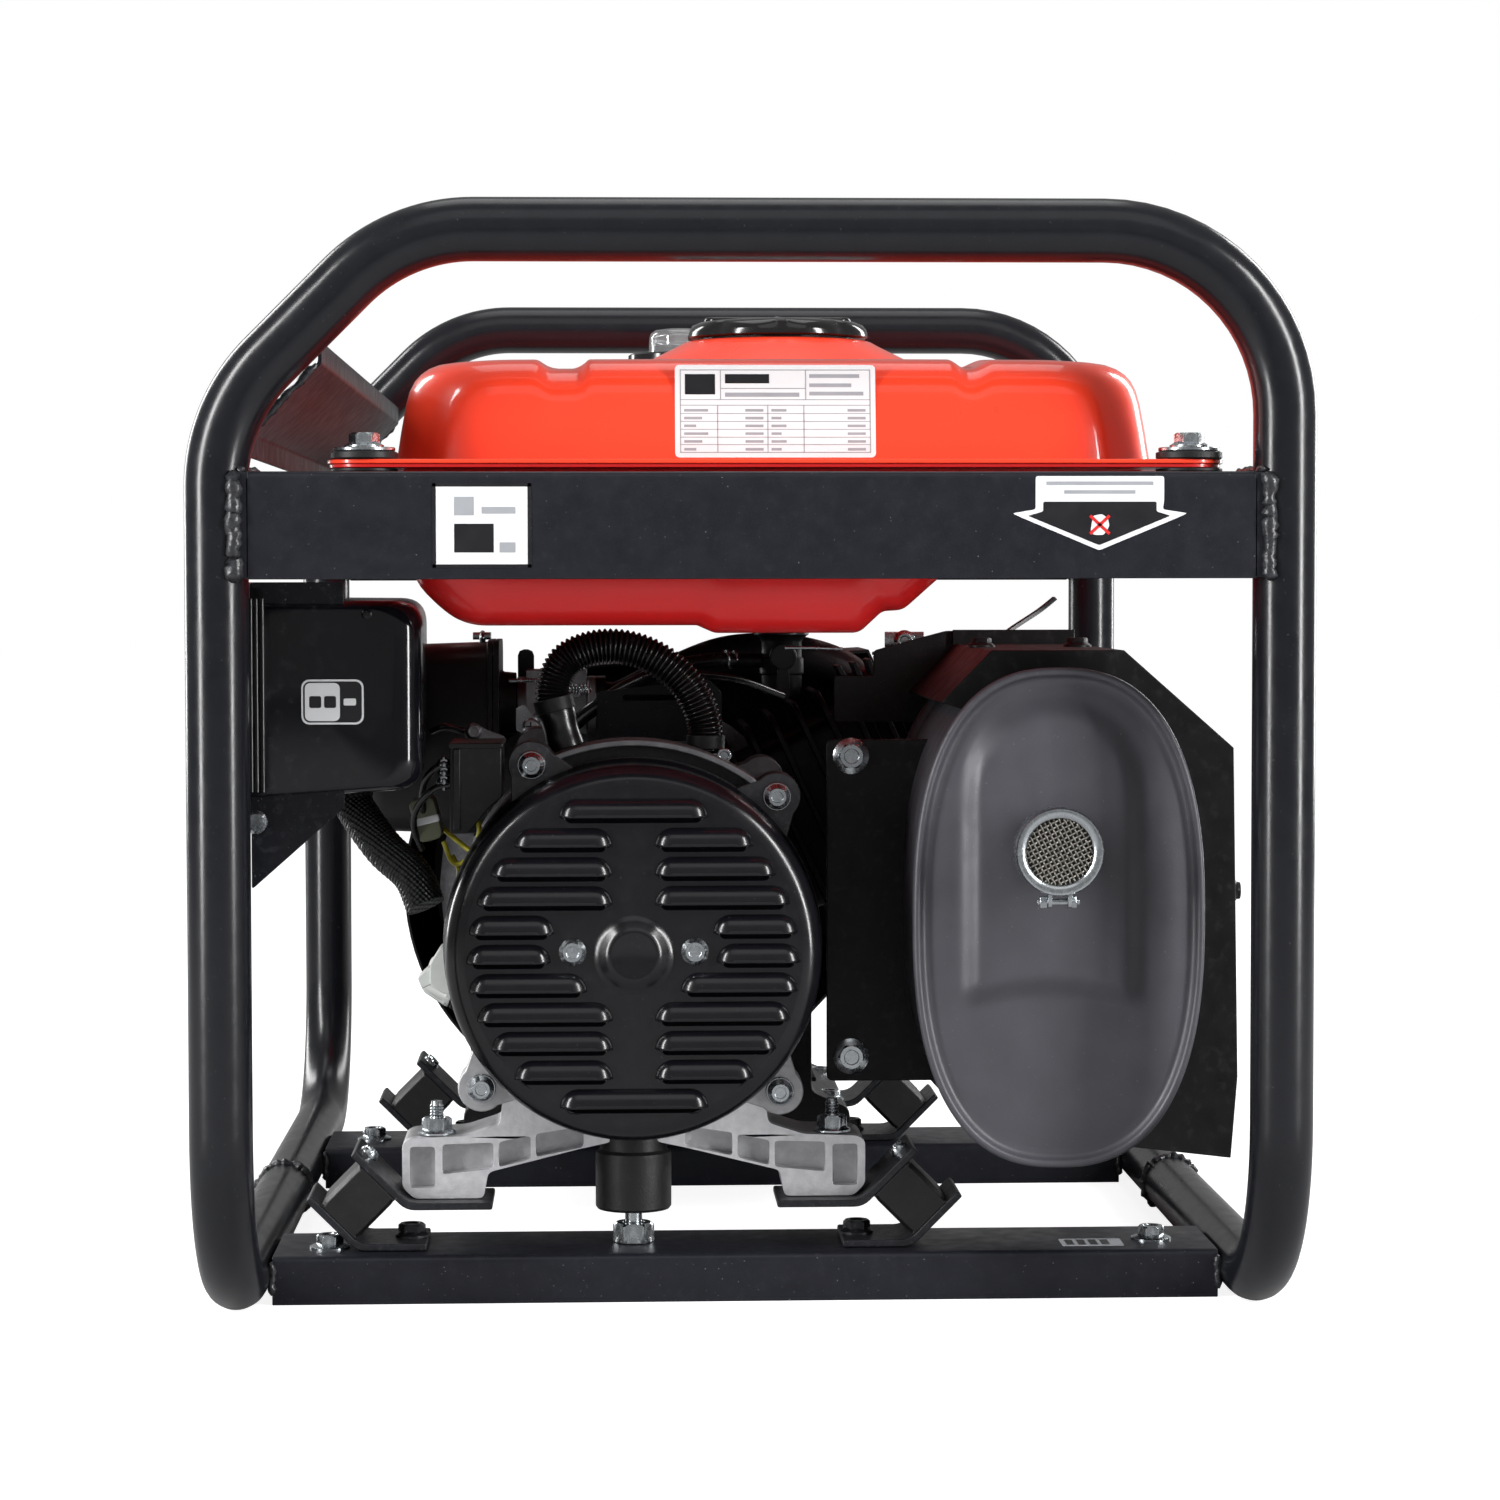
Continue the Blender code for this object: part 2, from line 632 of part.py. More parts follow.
def stator():
    profile = [(0.0785, -0.1519), (0.0520, -0.1519), (0.0520, -0.0516), (0.0785, -0.0516)]
    return along_crank("stator", profile, "laminations", steps=28)


def alternator_engine_bracket():
    back, front = -0.0202, -0.0513
    ring = along_crank("alternator_engine_bracket", [(CAN_R, front), (0.0710, front), (0.0710, back - 0.008),
                       (0.0300, back - 0.008), (0.0300, back), (CAN_R, back)], "cast_aluminium", steps=28)
    bore = along_crank("bore", [(0.0, front - 0.001), (0.0709, front - 0.001), (0.0709, -0.0283),
                       (0.0, -0.0283)], "cast_aluminium", steps=28)
    return cut(join(ring, *lugs(-0.0510, -0.0260)), bore)


def rotor():
    """Two-pole rotor with its shaft, slip rings and end bearing."""
    profile = [(0.0, -0.2000), (0.0100, -0.2000), (0.0195, -0.1965), (0.0195, -0.1840), (0.0110, -0.1838),
               (0.0110, -0.1800), (0.0170, -0.1798), (0.0170, -0.1620), (0.0110, -0.1618), (0.0110, -0.1480),
               (0.0500, -0.1478), (0.0500, -0.0600), (0.0120, -0.0598), (0.0120, -0.0420), (0.0, -0.0420)]
    core = along_crank("rotor", profile, "laminations", steps=28)
    flats = []
    for low, high in ((0.034, 0.060), (-0.060, -0.034)):
        flats.append(box("flat", (CRANK_X + low, -0.149, CRANK_Z - 0.06),
                         (CRANK_X + high, -0.059, CRANK_Z + 0.06), "laminations"))
    return origin_on(cut(core, *flats), (CRANK_X, 0.0, CRANK_Z))


def voltage_regulator():
    """Potted block beside the end bracket, cornered where it meets the round cover."""
    outline = [(-0.1230, 0.1945), (-0.1155, 0.1945), (-0.1065, 0.2055), (-0.1015, 0.2095),
               (-0.1015, 0.2310), (-0.1230, 0.2310)]
    return profile_y("voltage_regulator", outline, -0.2050, -0.1560, "black_plastic")


# ---------------------------------------------------------------- engine
def crankcase():
    """Casting with its flanged base, crank room, sump, main bore and oil filler boss."""
    y0, y1 = -0.0198, 0.1080
    deck = 0.0655
    outline = [(-0.1250, BASE_Z), (-0.1250, 0.0520), (-0.1130, 0.0600), (-0.1150, 0.1250), (-0.1060, 0.1700),
               (-0.0930, 0.1890), (-0.0640, 0.2010), (-0.0480, 0.2190), from_cylinder(deck, 0.0420),
               from_cylinder(deck, -0.0400), (0.0380, 0.1150), (0.0380, 0.0600), (0.0560, 0.0520),
               (0.0560, BASE_Z)]
    block = profile_y("crankcase", outline, y0, y1, "engine_black")
    boss = rod("boss", (-0.1000, 0.030, 0.0960), (-0.1300, 0.030, 0.1069), 0.0120, "engine_black", sides=16)
    room = rod("room", (CRANK_X, 0.004, CRANK_Z), (CRANK_X, 0.092, CRANK_Z), 0.0505, "engine_black", sides=28)
    sump = box("sump", (-0.1060, 0.006, 0.0560), (0.0300, 0.090, 0.1150), "engine_black")
    bore = rod("bore", (CRANK_X, y0 - 0.01, CRANK_Z), (CRANK_X, y1 + 0.01, CRANK_Z), 0.0175,
               "engine_black", sides=20)
    c, s = math.cos(CYL_TILT), math.sin(CYL_TILT)
    barrel = rod("barrel", (CRANK_X + 0.03 * c, CYL_Y, CRANK_Z + 0.03 * s),
                 (CRANK_X + 0.09 * c, CYL_Y, CRANK_Z + 0.09 * s), 0.0335, "engine_black", sides=24)
    hole = rod("hole", (-0.0800, 0.030, 0.0887), (-0.1400, 0.030, 0.1105), 0.0060, "engine_black", sides=12)
    return cut(join(block, boss), room, sump, bore, barrel, hole)


def cylinder():
    """Finned barrel and head in one, tilted 25 degrees, with the inlet pipe to the carburettor."""
    tilt = Matrix.Translation((CRANK_X, CYL_Y, CRANK_Z)) @ Matrix.Rotation(-CYL_TILT, 4, "Y")

    def slab(name, s0, s1, half_y, half_n):
        piece = box(name, (s0, -half_y, -half_n), (s1, half_y, half_n), "engine_black")
        piece.matrix_world = tilt
        return piece

    core = slab("cylinder", 0.0660, 0.1760, 0.0400, 0.0400)
    fins = [slab(f"fin_{index}", 0.0720 + index * 0.0124, 0.0748 + index * 0.0124, 0.0510, 0.0540)
            for index in range(8)]
    bore = rod("bore", (0.0, 0.0, 0.0), (0.1500, 0.0, 0.0), 0.0335, "engine_black", sides=24)
    bore.matrix_world = tilt @ bore.matrix_world
    inlet = [(-0.0600, CARB_Y, CARB_Z), (-0.0510, CARB_Y, CARB_Z), (-0.0300, 0.0600, 0.2500),
             (0.0000, 0.0520, 0.2620), (0.0300, 0.0470, 0.2630), (0.0550, CYL_Y, 0.2560),
             (0.0700, CYL_Y, 0.2420)]
    pipe = tube("pipe", smooth_route(inlet, 12), 0.0105, "engine_black", resolution=3)
    return cut(join(core, *fins, pipe), bore)


def valve_cover():
    tilt = Matrix.Translation((CRANK_X, CYL_Y, CRANK_Z)) @ Matrix.Rotation(-CYL_TILT, 4, "Y")
    cover = box("valve_cover", (0.1763, -0.0340, -0.0320), (0.2000, 0.0340, 0.0400), "zinc")
    cover.matrix_world = tilt
    return bevelled(cover, 0.006, 2)


def crankshaft():
    """Shaft ends, two webs and the crankpin, offset by half the stroke."""
    stroke = 0.054
    near = rod("crankshaft", (CRANK_X, -0.0417, CRANK_Z), (CRANK_X, 0.030, CRANK_Z), 0.0150, "zinc", sides=20)
    far = rod("far", (CRANK_X, 0.062, CRANK_Z), (CRANK_X, 0.176, CRANK_Z), 0.0149, "zinc", sides=20)
    pin = rod("pin", (CRANK_X, 0.030, CRANK_Z + stroke / 2), (CRANK_X, 0.062, CRANK_Z + stroke / 2), 0.0130,
              "zinc", sides=16)
    webs = [rod(f"web_{y}", (CRANK_X, y, CRANK_Z), (CRANK_X, y + 0.012, CRANK_Z), 0.0460, "zinc", sides=24)
            for y in (0.022, 0.0565)]
    return origin_on(join(near, webs[0], pin, webs[1], far), (CRANK_X, 0.0, CRANK_Z))


def flywheel():
    """Iron flywheel with the cooling fan's blades and the starter cup."""
    profile = [(0.0152, 0.1300), (0.0950, 0.1300), (0.0950, 0.1560), (0.0880, 0.1600), (0.0380, 0.1620),
               (0.0380, 0.1900), (0.0340, 0.1900), (0.0340, 0.1660), (0.0152, 0.1640)]
    wheel = along_crank("flywheel", profile, "cast_aluminium", steps=32)
    blades = []
    for index in range(12):
        blade = box(f"blade_{index}", (0.048, -0.0015, 0.1570), (0.0900, 0.0015, 0.1760), "cast_aluminium")
        about = Matrix.Translation((CRANK_X, 0.0, CRANK_Z)) @ Matrix.Rotation(math.tau * index / 12, 4, "Y")
        blade.matrix_world = about @ Matrix.Rotation(-math.pi / 2, 4, "X")
        blades.append(blade)
    return origin_on(join(wheel, *blades), (CRANK_X, 0.0, CRANK_Z))


def shroud_outline(wall):
    """Round about the flywheel, straight along the cylinder."""
    reach = 0.160 - wall
    half = 0.0560 - wall
    radius = 0.1120 - wall
    tilt = math.degrees(CYL_TILT)
    points = [from_cylinder(reach, half)]
    for step in range(19):
        points.append(around_crank(radius, tilt + 72 + step * (216 / 18)))
    points.append(from_cylinder(reach, -half))
    return points


def fan_shroud():
    """Pressed cup over the flywheel, open towards the engine, with the starter's round hole."""
    y0, y1 = SHROUD_Y
    shell = profile_y("fan_shroud", shroud_outline(0.0), y0, y1, "engine_black")
    room = profile_y("room", shroud_outline(SHEET), y0 - 0.01, y1 - SHEET, "engine_black")
    hole = rod("hole", (CRANK_X, y1 - 0.01, CRANK_Z), (CRANK_X, y1 + 0.01, CRANK_Z), 0.0720,
               "engine_black", sides=32)
    return cut(shell, room, hole)


def recoil_housing():
    """Starter cover with its hub post, rope outlet and radial air slots."""
    y0, y1 = RECOIL_Y
    profile = [(0.0, y0 + 0.012), (0.0110, y0 + 0.012), (0.0110, y1 - SHEET), (0.0762, y1 - SHEET),
               (0.0835, y1 - 0.0088), (0.0835, y0), (0.0850, y0), (0.0850, y1 - 0.008), (0.0770, y1),
               (0.0, y1)]
    shell = along_crank("recoil_housing", profile, "black_plastic", steps=28)
    spout = rod("spout", (HANDLE_X, y1 - 0.004, HANDLE_Z), (HANDLE_X, y1 + 0.006, HANDLE_Z), 0.0090,
                "black_plastic", sides=14)
    rope_hole = rod("rope_hole", (HANDLE_X, y1 - 0.01, HANDLE_Z), (HANDLE_X, y1 + 0.01, HANDLE_Z), 0.0035,
                    "black_plastic", sides=10)
    slots = []
    for index in range(9):
        slot = box(f"slot_{index}", (0.046, -0.004, y1 - 0.006), (0.0720, 0.004, y1 + 0.004), "black_plastic")
        angle = math.tau * (index + 0.5) / 12 + math.radians(-10)
        about = Matrix.Translation((CRANK_X, 0.0, CRANK_Z)) @ Matrix.Rotation(angle, 4, "Y")
        slot.matrix_world = about @ Matrix.Rotation(-math.pi / 2, 4, "X")
        slots.append(slot)
    return cut(join(shell, spout), rope_hole, *slots)


def starter_pulley():
    y0 = 0.2150
    profile = [(0.0120, y0), (PULLEY_R, y0), (PULLEY_R, y0 + 0.003), (PULLEY_R - 0.010, y0 + 0.005),
               (PULLEY_R - 0.010, y0 + 0.011), (PULLEY_R, y0 + 0.013), (PULLEY_R, y0 + 0.016),
               (0.0120, y0 + 0.016)]
    wheel = along_crank("starter_pulley", profile, "grey_plastic", steps=24)
    return origin_on(wheel, (CRANK_X, y0, CRANK_Z))


def starter_handle():
    """T handle of the pull rope."""
    y = RECOIL_Y[1] + 0.006 + GAP
    stem = rod("starter_handle", (HANDLE_X, y, HANDLE_Z), (HANDLE_X, y + 0.014, HANDLE_Z), 0.0075,
               "black_plastic", sides=14, radius_end=0.0100)
    grip = rod("grip", (HANDLE_X - 0.044, y + 0.0195, HANDLE_Z), (HANDLE_X + 0.044, y + 0.0195, HANDLE_Z),
               0.0105, "black_plastic", sides=14)
    return origin_on(join(stem, bevelled(grip, 0.004, 2)), (HANDLE_X, y, HANDLE_Z))


def plug_frame():
    """Axis of the spark plug, at 45 degrees out of the head's lower edge."""
    x, z = from_cylinder(0.1560, -0.0440)
    c, s = math.cos(CYL_TILT), math.sin(CYL_TILT)
    direction = Vector((c + s, 0.0, s - c)).normalized()
    return Vector((x, CYL_Y, z)), direction


def spark_plug():
    start, direction = plug_frame()
    profile = [(0.0, 0.0480), (0.0030, 0.0480), (0.0030, 0.0420), (0.0055, 0.0410), (0.0055, 0.0270),
               (0.0100, 0.0265), (0.0100, 0.0190), (0.0, 0.0190)]
    return turned("spark_plug", profile, start, direction, "zinc", steps=12)


def spark_plug_cap():
    """Rubber boot over the plug and its lead to the coil behind the flywheel shroud."""
    start, direction = plug_frame()
    profile = [(0.0, 0.0560), (0.0090, 0.0560), (0.0110, 0.0530), (0.0110, 0.0300), (0.0080, 0.0275),
               (0.0060, 0.0275), (0.0060, 0.0500), (0.0, 0.0500)]
    boot = turned("spark_plug_cap", profile, start, direction, "rubber", steps=14)
    elbow = start + direction * 0.0540
    route = [elbow, elbow + Vector((0.002, 0.022, -0.004)), Vector((0.1500, 0.0930, 0.1290)),
             Vector((0.1180, 0.1040, 0.1220)), Vector((0.0880, 0.1045, 0.1240)),
             Vector((0.0720, 0.1060, 0.1320)), Vector((0.0640, 0.1180, 0.1370))]
    return join(boot, tube("lead", smooth_route(route, 16), 0.0035, "rubber"))


def carburetor():
    """Body, float bowl and top cover between the inlet pipe and the air filter."""
    x0, x1 = -0.1010, -0.0625
    body = box("carburetor", (x0 + 0.004, CARB_Y - 0.016, CARB_Z - 0.015),
               (x1 - 0.004, CARB_Y + 0.016, CARB_Z + 0.017), "zinc")
    barrel = rod("barrel", (x0, CARB_Y, CARB_Z), (x1, CARB_Y, CARB_Z), 0.0130, "zinc", sides=18)
    bowl = rod("bowl", (-0.0820, CARB_Y, CARB_Z - 0.0330), (-0.0820, CARB_Y, CARB_Z - 0.0120), 0.0150, "zinc",
               sides=18, radius_end=0.0160)
    bore = rod("bore", (x0 - 0.01, CARB_Y, CARB_Z), (x1 + 0.01, CARB_Y, CARB_Z), 0.0085, "zinc", sides=16)
    return cut(join(body, barrel, bowl), bore)


def choke_lever():
    y = CARB_Y + 0.016 + GAP
    outline = rounded_rectangle((-0.1010, CARB_Z - 0.0050), (-0.0930, CARB_Z + 0.0260), 0.0030, steps=2)
    lever = profile_y("choke_lever", outline, y, y + 0.0018, "black_plastic")
    return origin_on(lever, (-0.0970, y, CARB_Z))


def throttle_arm():
    z = CARB_Z + 0.017 + GAP
    outline = rounded_rectangle((-0.0740, CARB_Y - 0.0260), (-0.0680, CARB_Y + 0.0040), 0.0028, steps=2)
    matrix = Matrix.Translation((0.0, 0.0, z + 0.0009))
    return origin_on(plate("throttle_arm", [outline], 0.0018, matrix, "zinc"), (-0.0710, CARB_Y, z))


def air_filter_base():
    x = -0.1105
    outline = rounded_rectangle((AIR_Y[0], AIR_Z[0]), (AIR_Y[1], AIR_Z[1]), 0.010)
    base = plate("air_filter_base", [outline], 0.0030, along_x(x), "black_plastic")
    collar = rod("collar", (x + 0.0010, CARB_Y, CARB_Z), (-0.1013, CARB_Y, CARB_Z), 0.0150, "black_plastic",
                 sides=18)
    bore = rod("bore", (x - 0.01, CARB_Y, CARB_Z), (x + 0.02, CARB_Y, CARB_Z), 0.0110, "black_plastic",
               sides=18)
    return cut(join(base, collar), bore)


def air_filter_element():
    low = (AIR_Y[0] + 0.008, AIR_Z[0] + 0.008)
    high = (AIR_Y[1] - 0.008, AIR_Z[1] - 0.008)
    outline = rounded_rectangle(low, high, 0.006, steps=2)
    return plate("air_filter_element", [outline], 0.0400, along_x(-0.1320 - 2 * GAP), "foam")


def air_filter_cover():
    depth = 0.0720
    x = -0.1120 - GAP
    outline = rounded_rectangle((AIR_Y[0], AIR_Z[0]), (AIR_Y[1], AIR_Z[1]), 0.010)
    shell = plate("air_filter_cover", [outline], depth, along_x(x - depth / 2), "black_plastic")
    wall = 0.0025
    inner = rounded_rectangle((AIR_Y[0] + wall, AIR_Z[0] + wall), (AIR_Y[1] - wall, AIR_Z[1] - wall), 0.008)
    room = plate("room", [inner], depth, along_x(x - depth / 2 + wall), "black_plastic")
    return origin_on(cut(shell, room), (x, sum(AIR_Y) / 2, sum(AIR_Z) / 2))


def oil_dipstick():
    """Screw plug of the oil filler with its dipstick."""
    direction = Vector((-0.0300, 0.0, 0.0109)).normalized()
    mouth = Vector((-0.1300, 0.030, 0.1069)) + direction * GAP
    profile = [(0.0, 0.0150), (0.0080, 0.0150), (0.0100, 0.0130), (0.0115, 0.0060), (0.0120, 0.0),
               (0.0050, 0.0), (0.0050, -0.0140), (0.0022, -0.0150), (0.0022, -0.0440), (0.0, -0.0440)]
    return origin_on(turned("oil_dipstick", profile, mouth, direction, "grey_plastic", steps=16), mouth)


# ---------------------------------------------------------------- exhaust
def muffler():
    """Oval can with rolled seams, its bracket plate, outlet stub and pipe to the head."""
    y0, y1 = MUFFLER_Y
    centre = (MUFFLER_X, MUFFLER_Z)
    can = profile_y("muffler", ellipse(centre, MUFFLER_HALF, 28, 2.25), y0 + 0.001, y1 - 0.001, "heat_paint")
    rim = (MUFFLER_HALF[0] + 0.0025, MUFFLER_HALF[1] + 0.0025)
    front = profile_y("front", ellipse(centre, rim, 28, 2.25), y0, y0 + 0.005, "heat_paint")
    rear = profile_y("rear", ellipse(centre, rim, 28, 2.25), y1 - 0.005, y1, "heat_paint")
    bracket = box("bracket", (0.0370, -0.1520, 0.0830), (0.0860, -0.1490, 0.2310), "heat_paint")
    stub = rod("stub", (OUTLET[0], y0 + 0.004, OUTLET[1]), (OUTLET[0], -0.2740, OUTLET[1]), 0.0150,
               "heat_paint", sides=20)
    stub_bore = rod("stub_bore", (OUTLET[0], -0.2350, OUTLET[1]), (OUTLET[0], -0.2800, OUTLET[1]), 0.0135,
                    "heat_paint", sides=20)
    hollow = (MUFFLER_HALF[0] - SHEET, MUFFLER_HALF[1] - SHEET)
    room = profile_y("room", ellipse(centre, hollow, 24, 2.25), y0 + 0.0030, y1 - 0.0030, "heat_paint")
    head_x, head_z = from_cylinder(0.1430, 0.0)
    head_y = CYL_Y - 0.0510 - GAP
    route = [(0.1080, y1 - 0.010, 0.2000), (0.1080, y1 + 0.012, 0.2000), (0.0980, -0.0480, 0.2040),
             (head_x, -0.0260, head_z), (head_x, head_y - 0.001, head_z)]
    pipe = tube("pipe", smooth_route(route, 10), 0.0130, "heat_paint", resolution=3)
    flange = box("flange", (head_x - 0.0290, head_y - 0.0060, head_z - 0.0180),
                 (head_x + 0.0290, head_y, head_z + 0.0180), "heat_paint")
    return cut(join(can, front, rear, bracket, stub, pipe, flange), room, stub_bore)


def spark_arrestor():
    """Mesh cup held over the outlet stub by a clamp with a screw below."""
    front = -0.2770
    profile = [(0.0, front + 0.0020), (0.0153, front + 0.0020), (0.0153, -0.2640), (0.0175, -0.2640),
               (0.0175, front), (0.0, front)]
    place = (OUTLET[0], 0.0, OUTLET[1])
    clamp = turned("spark_arrestor", profile, place, AXIS_Y, "zinc", steps=24)
    ear = box("ear", (OUTLET[0] - 0.0085, -0.2745, OUTLET[1] - 0.0225),
              (OUTLET[0] + 0.0085, -0.2660, OUTLET[1] - 0.0165), "zinc")
    return join(clamp, ear)


def heat_shield():
    """Folded sheet over the muffler's top and outer side, with a front flange."""
    outside = [(0.0800, 0.2490), (0.1010, 0.2705), (0.1560, 0.2705), (0.2018, 0.2300), (0.2040, 0.0930),
               (0.2013, 0.0590)]
    inside = [(0.1998, 0.0592), (0.2025, 0.0931), (0.2003, 0.2293), (0.1554, 0.2690), (0.1016, 0.2690),
              (0.0811, 0.2479)]
    rim = [(0.1840, 0.0730), (0.1905, 0.1000), (0.1905, 0.2200), (0.1500, 0.2640), (0.1080, 0.2640),
           (0.0900, 0.2440)]
    strip = profile_y("heat_shield", outside + inside, -0.2200, -0.0600, "satin_black")
    front = profile_y("front", outside + rim, -0.2205, -0.2190, "satin_black")
    clear = (MUFFLER_HALF[0] + 0.005, MUFFLER_HALF[1] + 0.004)
    oval = ellipse((MUFFLER_X, MUFFLER_Z), clear, 28, 2.25)
    room = profile_y("room", oval, -0.2300, -0.2150, "satin_black")
    upstand = box("upstand", (0.1000, -0.0615, 0.2695), (0.1560, -0.0600, 0.2770), "satin_black")
    return join(strip, cut(front, room), upstand)


# ---------------------------------------------------------------- mounts
def bonded_mount(name, centre_x, centre_y, side):
    """Rubber block at 45 degrees between two steel plates; side -1 leans in from the left."""
    half, plate_half, thick = 0.01175, 0.0160, 0.0030
    centre_z = BASE_Z
    root = math.sqrt(2.0)
    shelf = BASE_Z - GAP
    floor = CROSS_Z + GAP

    def at(u, v):
        return (u + v) / root, centre_z + (u - v) / root

    def at_height(u, z):
        v = u - (z - centre_z) * root
        return (u + v) / root, z

    outline = [at(half + thick, -plate_half), at_height(half + thick, shelf), (0.0560, shelf),
               (0.0560, shelf - thick), at_height(half, shelf - thick), at(half, half), at(-half, half),
               at_height(-half, floor + thick), (0.0285, floor + thick), (0.0285, floor),
               at_height(-half - thick, floor), at(-half - thick, -plate_half),
               at(-half, -plate_half), at(-half, -half), at(half, -half), at(half, -plate_half)]
    outline = [(centre_x - side * x, z) for x, z in outline]
    return profile_y(name, outline, centre_y - 0.020, centre_y + 0.020, "rubber")


def central_mount():
    """Upright rubber buffer with its stud and nut under the alternator."""
    profile = [(0.0, 0.0656), (0.0140, 0.0656), (0.0140, 0.0600), (0.0160, 0.0590), (0.0160, 0.0345),
               (0.0050, 0.0330), (0.0050, 0.0285), (0.0085, 0.0280), (0.0085, CROSS_Z + GAP),
               (0.0, CROSS_Z + GAP)]
    return turned("central_mount", profile, (CRANK_X, -0.1870, 0.0), AXIS_Z, "rubber", steps=20)


# ---------------------------------------------------------------- controls
def control_box():
    """Sheet box behind the panel with the gusset that bolts to the leg."""
    y0, y1 = -0.240, 0.025
    x0, x1 = PANEL_X + SHEET + GAP, -0.1330
    z0, z1 = 0.2120, 0.2915
    outline = filleted([(x0, z0), (x1, z0), (x1, z1), (x0, z1)], [0.012, 0.012], steps=3)
    shell = profile_y("control_box", outline, y0, y1, "black_paint")
    room = box("room", (x0 - 0.01, y0 + SHEET, z0 + SHEET), (x1 - 0.0050, y1 - SHEET, z1 - SHEET),
               "black_paint")
    gusset = [(x0, 0.2990), (-0.1650, 0.2990), (-0.1650, 0.2900), (-0.1630, 0.2880), (-0.1630, 0.2080),
              (x0, 0.1745)]
    web = profile_y("web", gusset, y0 - SHEET, y0 + 0.0004, "black_paint")
    return join(cut(shell, room), web)


def around(place, half_y, half_z):
    """A small-cornered rectangle about a Y, Z place."""
    y, z = place
    return rounded_rectangle((y - half_y, z - half_z), (y + half_y, z + half_z), 0.001, steps=1)


def panel_cutouts():
    """World Y, Z outlines of the holes in the control panel."""
    y0 = SOCKET_Y[0] - 0.0265
    y1 = SOCKET_Y[1] + 0.0265
    z0 = SOCKET_Z - 0.0235
    z1 = SOCKET_Z + 0.0235
    return [[(y0, z0), (y1, z0), (y1, z1), (y0, z1)],
            ellipse(VOLTMETER, (0.0184, 0.0184), 24),
            around(BREAKER, 0.0060, 0.0110),
            around(SWITCH, 0.0080, 0.0120),
            ellipse(BUTTON, (0.0055, 0.0055), 14),
            ellipse(GROUND, (0.0045, 0.0045), 12)]


def control_panel():
    outline = rounded_rectangle((PANEL_Y[0], PANEL_Z[0]), (PANEL_Y[1], PANEL_Z[1]), 0.006)
    return plate("control_panel", [outline, *panel_cutouts()], SHEET, along_x(PANEL_X + SHEET / 2),
                 "satin_black")


def voltmeter():
    y, z = VOLTMETER
    x = PANEL_X - GAP
    profile = [(0.0, 0.0015), (0.0180, 0.0015), (0.0185, 0.0055), (0.0215, 0.0045), (0.0215, 0.0),
               (0.0180, 0.0), (0.0180, -0.0200), (0.0, -0.0200)]
    return turned("voltmeter", profile, (x, y, z), -AXIS_X, "black_plastic", steps=28)


def socket_pair():
    """Two round earthed sockets in one moulding with a flange over the panel."""
    y0 = SOCKET_Y[0] - 0.0280
    y1 = SOCKET_Y[1] + 0.0280
    x = PANEL_X - GAP
    outline = rounded_rectangle((y0, SOCKET_Z - 0.0260), (y1, SOCKET_Z + 0.0260), 0.004, 2)
    flange = plate("socket_pair", [outline], 0.0040, along_x(x - 0.0020), "black_plastic")
    back = box("back", (x - 0.001, SOCKET_Y[0] - 0.0262, SOCKET_Z - 0.0232),
               (x + 0.0240, SOCKET_Y[1] + 0.0262, SOCKET_Z + 0.0232), "black_plastic")
    holes = []
    for y in SOCKET_Y:
        holes.append(rod(f"well_{y}", (x - 0.010, y, SOCKET_Z), (x + 0.0150, y, SOCKET_Z), 0.0195,
                         "black_plastic", sides=24))
        for pin in (y - 0.0095, y + 0.0095):
            holes.append(rod(f"pin_{pin}", (x + 0.010, pin, SOCKET_Z), (x + 0.0220, pin, SOCKET_Z), 0.0025,
                             "black_plastic", sides=8))
    return cut(join(flange, back), *holes)


def socket_cover(name, y):
    """Spring flap hinged along its top edge."""
    x = PANEL_X - 0.0040 - 2 * GAP
    pin_x = x - 0.0032
    pin_z = SOCKET_Z + 0.0230
    flap = box(name, (x - 0.0040, y - 0.0255, SOCKET_Z - 0.0245), (x, y + 0.0255, SOCKET_Z + 0.0215),
               "black_plastic")
    barrel = rod("barrel", (pin_x, y - 0.0180, pin_z), (pin_x, y + 0.0180, pin_z), 0.0030, "black_plastic",
                 sides=12)
    return origin_on(join(bevelled(flap, 0.0012, 1), barrel), (pin_x, y, pin_z))


def engine_switch():
    y, z = SWITCH
    x = PANEL_X - 0.0005
    outline = [(x - 0.0075, z + 0.0112), (x - 0.0025, z + 0.0004), (x - 0.0042, z - 0.0112),
               (x + 0.0060, z - 0.0090), (x + 0.0060, z + 0.0090)]
    rocker = profile_y("engine_switch", outline, y - 0.0074, y + 0.0074, "red_plastic")
    return origin_on(rocker, (x + 0.0030, y, z))


def circuit_breaker():
    y, z = BREAKER
    x = PANEL_X + 0.0030
    hub = rod("circuit_breaker", (x, y - 0.0050, z), (x, y + 0.0050, z), 0.0060, "black_plastic", sides=14)
    lever = box("lever", (-0.0145, -0.0040, -0.0022), (0.0, 0.0040, 0.0022), "black_plastic")
    lever.matrix_world = Matrix.Translation((x, y, z)) @ Matrix.Rotation(math.radians(20), 4, "Y")
    return origin_on(join(hub, lever), (x, y, z))


def dc_breaker_button():
    y, z = BUTTON
    x = PANEL_X
    profile = [(0.0, 0.0060), (0.0040, 0.0060), (0.0048, 0.0050), (0.0048, -0.0080), (0.0, -0.0080)]
    button = turned("dc_breaker_button", profile, (x, y, z), -AXIS_X, "grey_plastic", steps=16)
    return origin_on(button, (x, y, z))


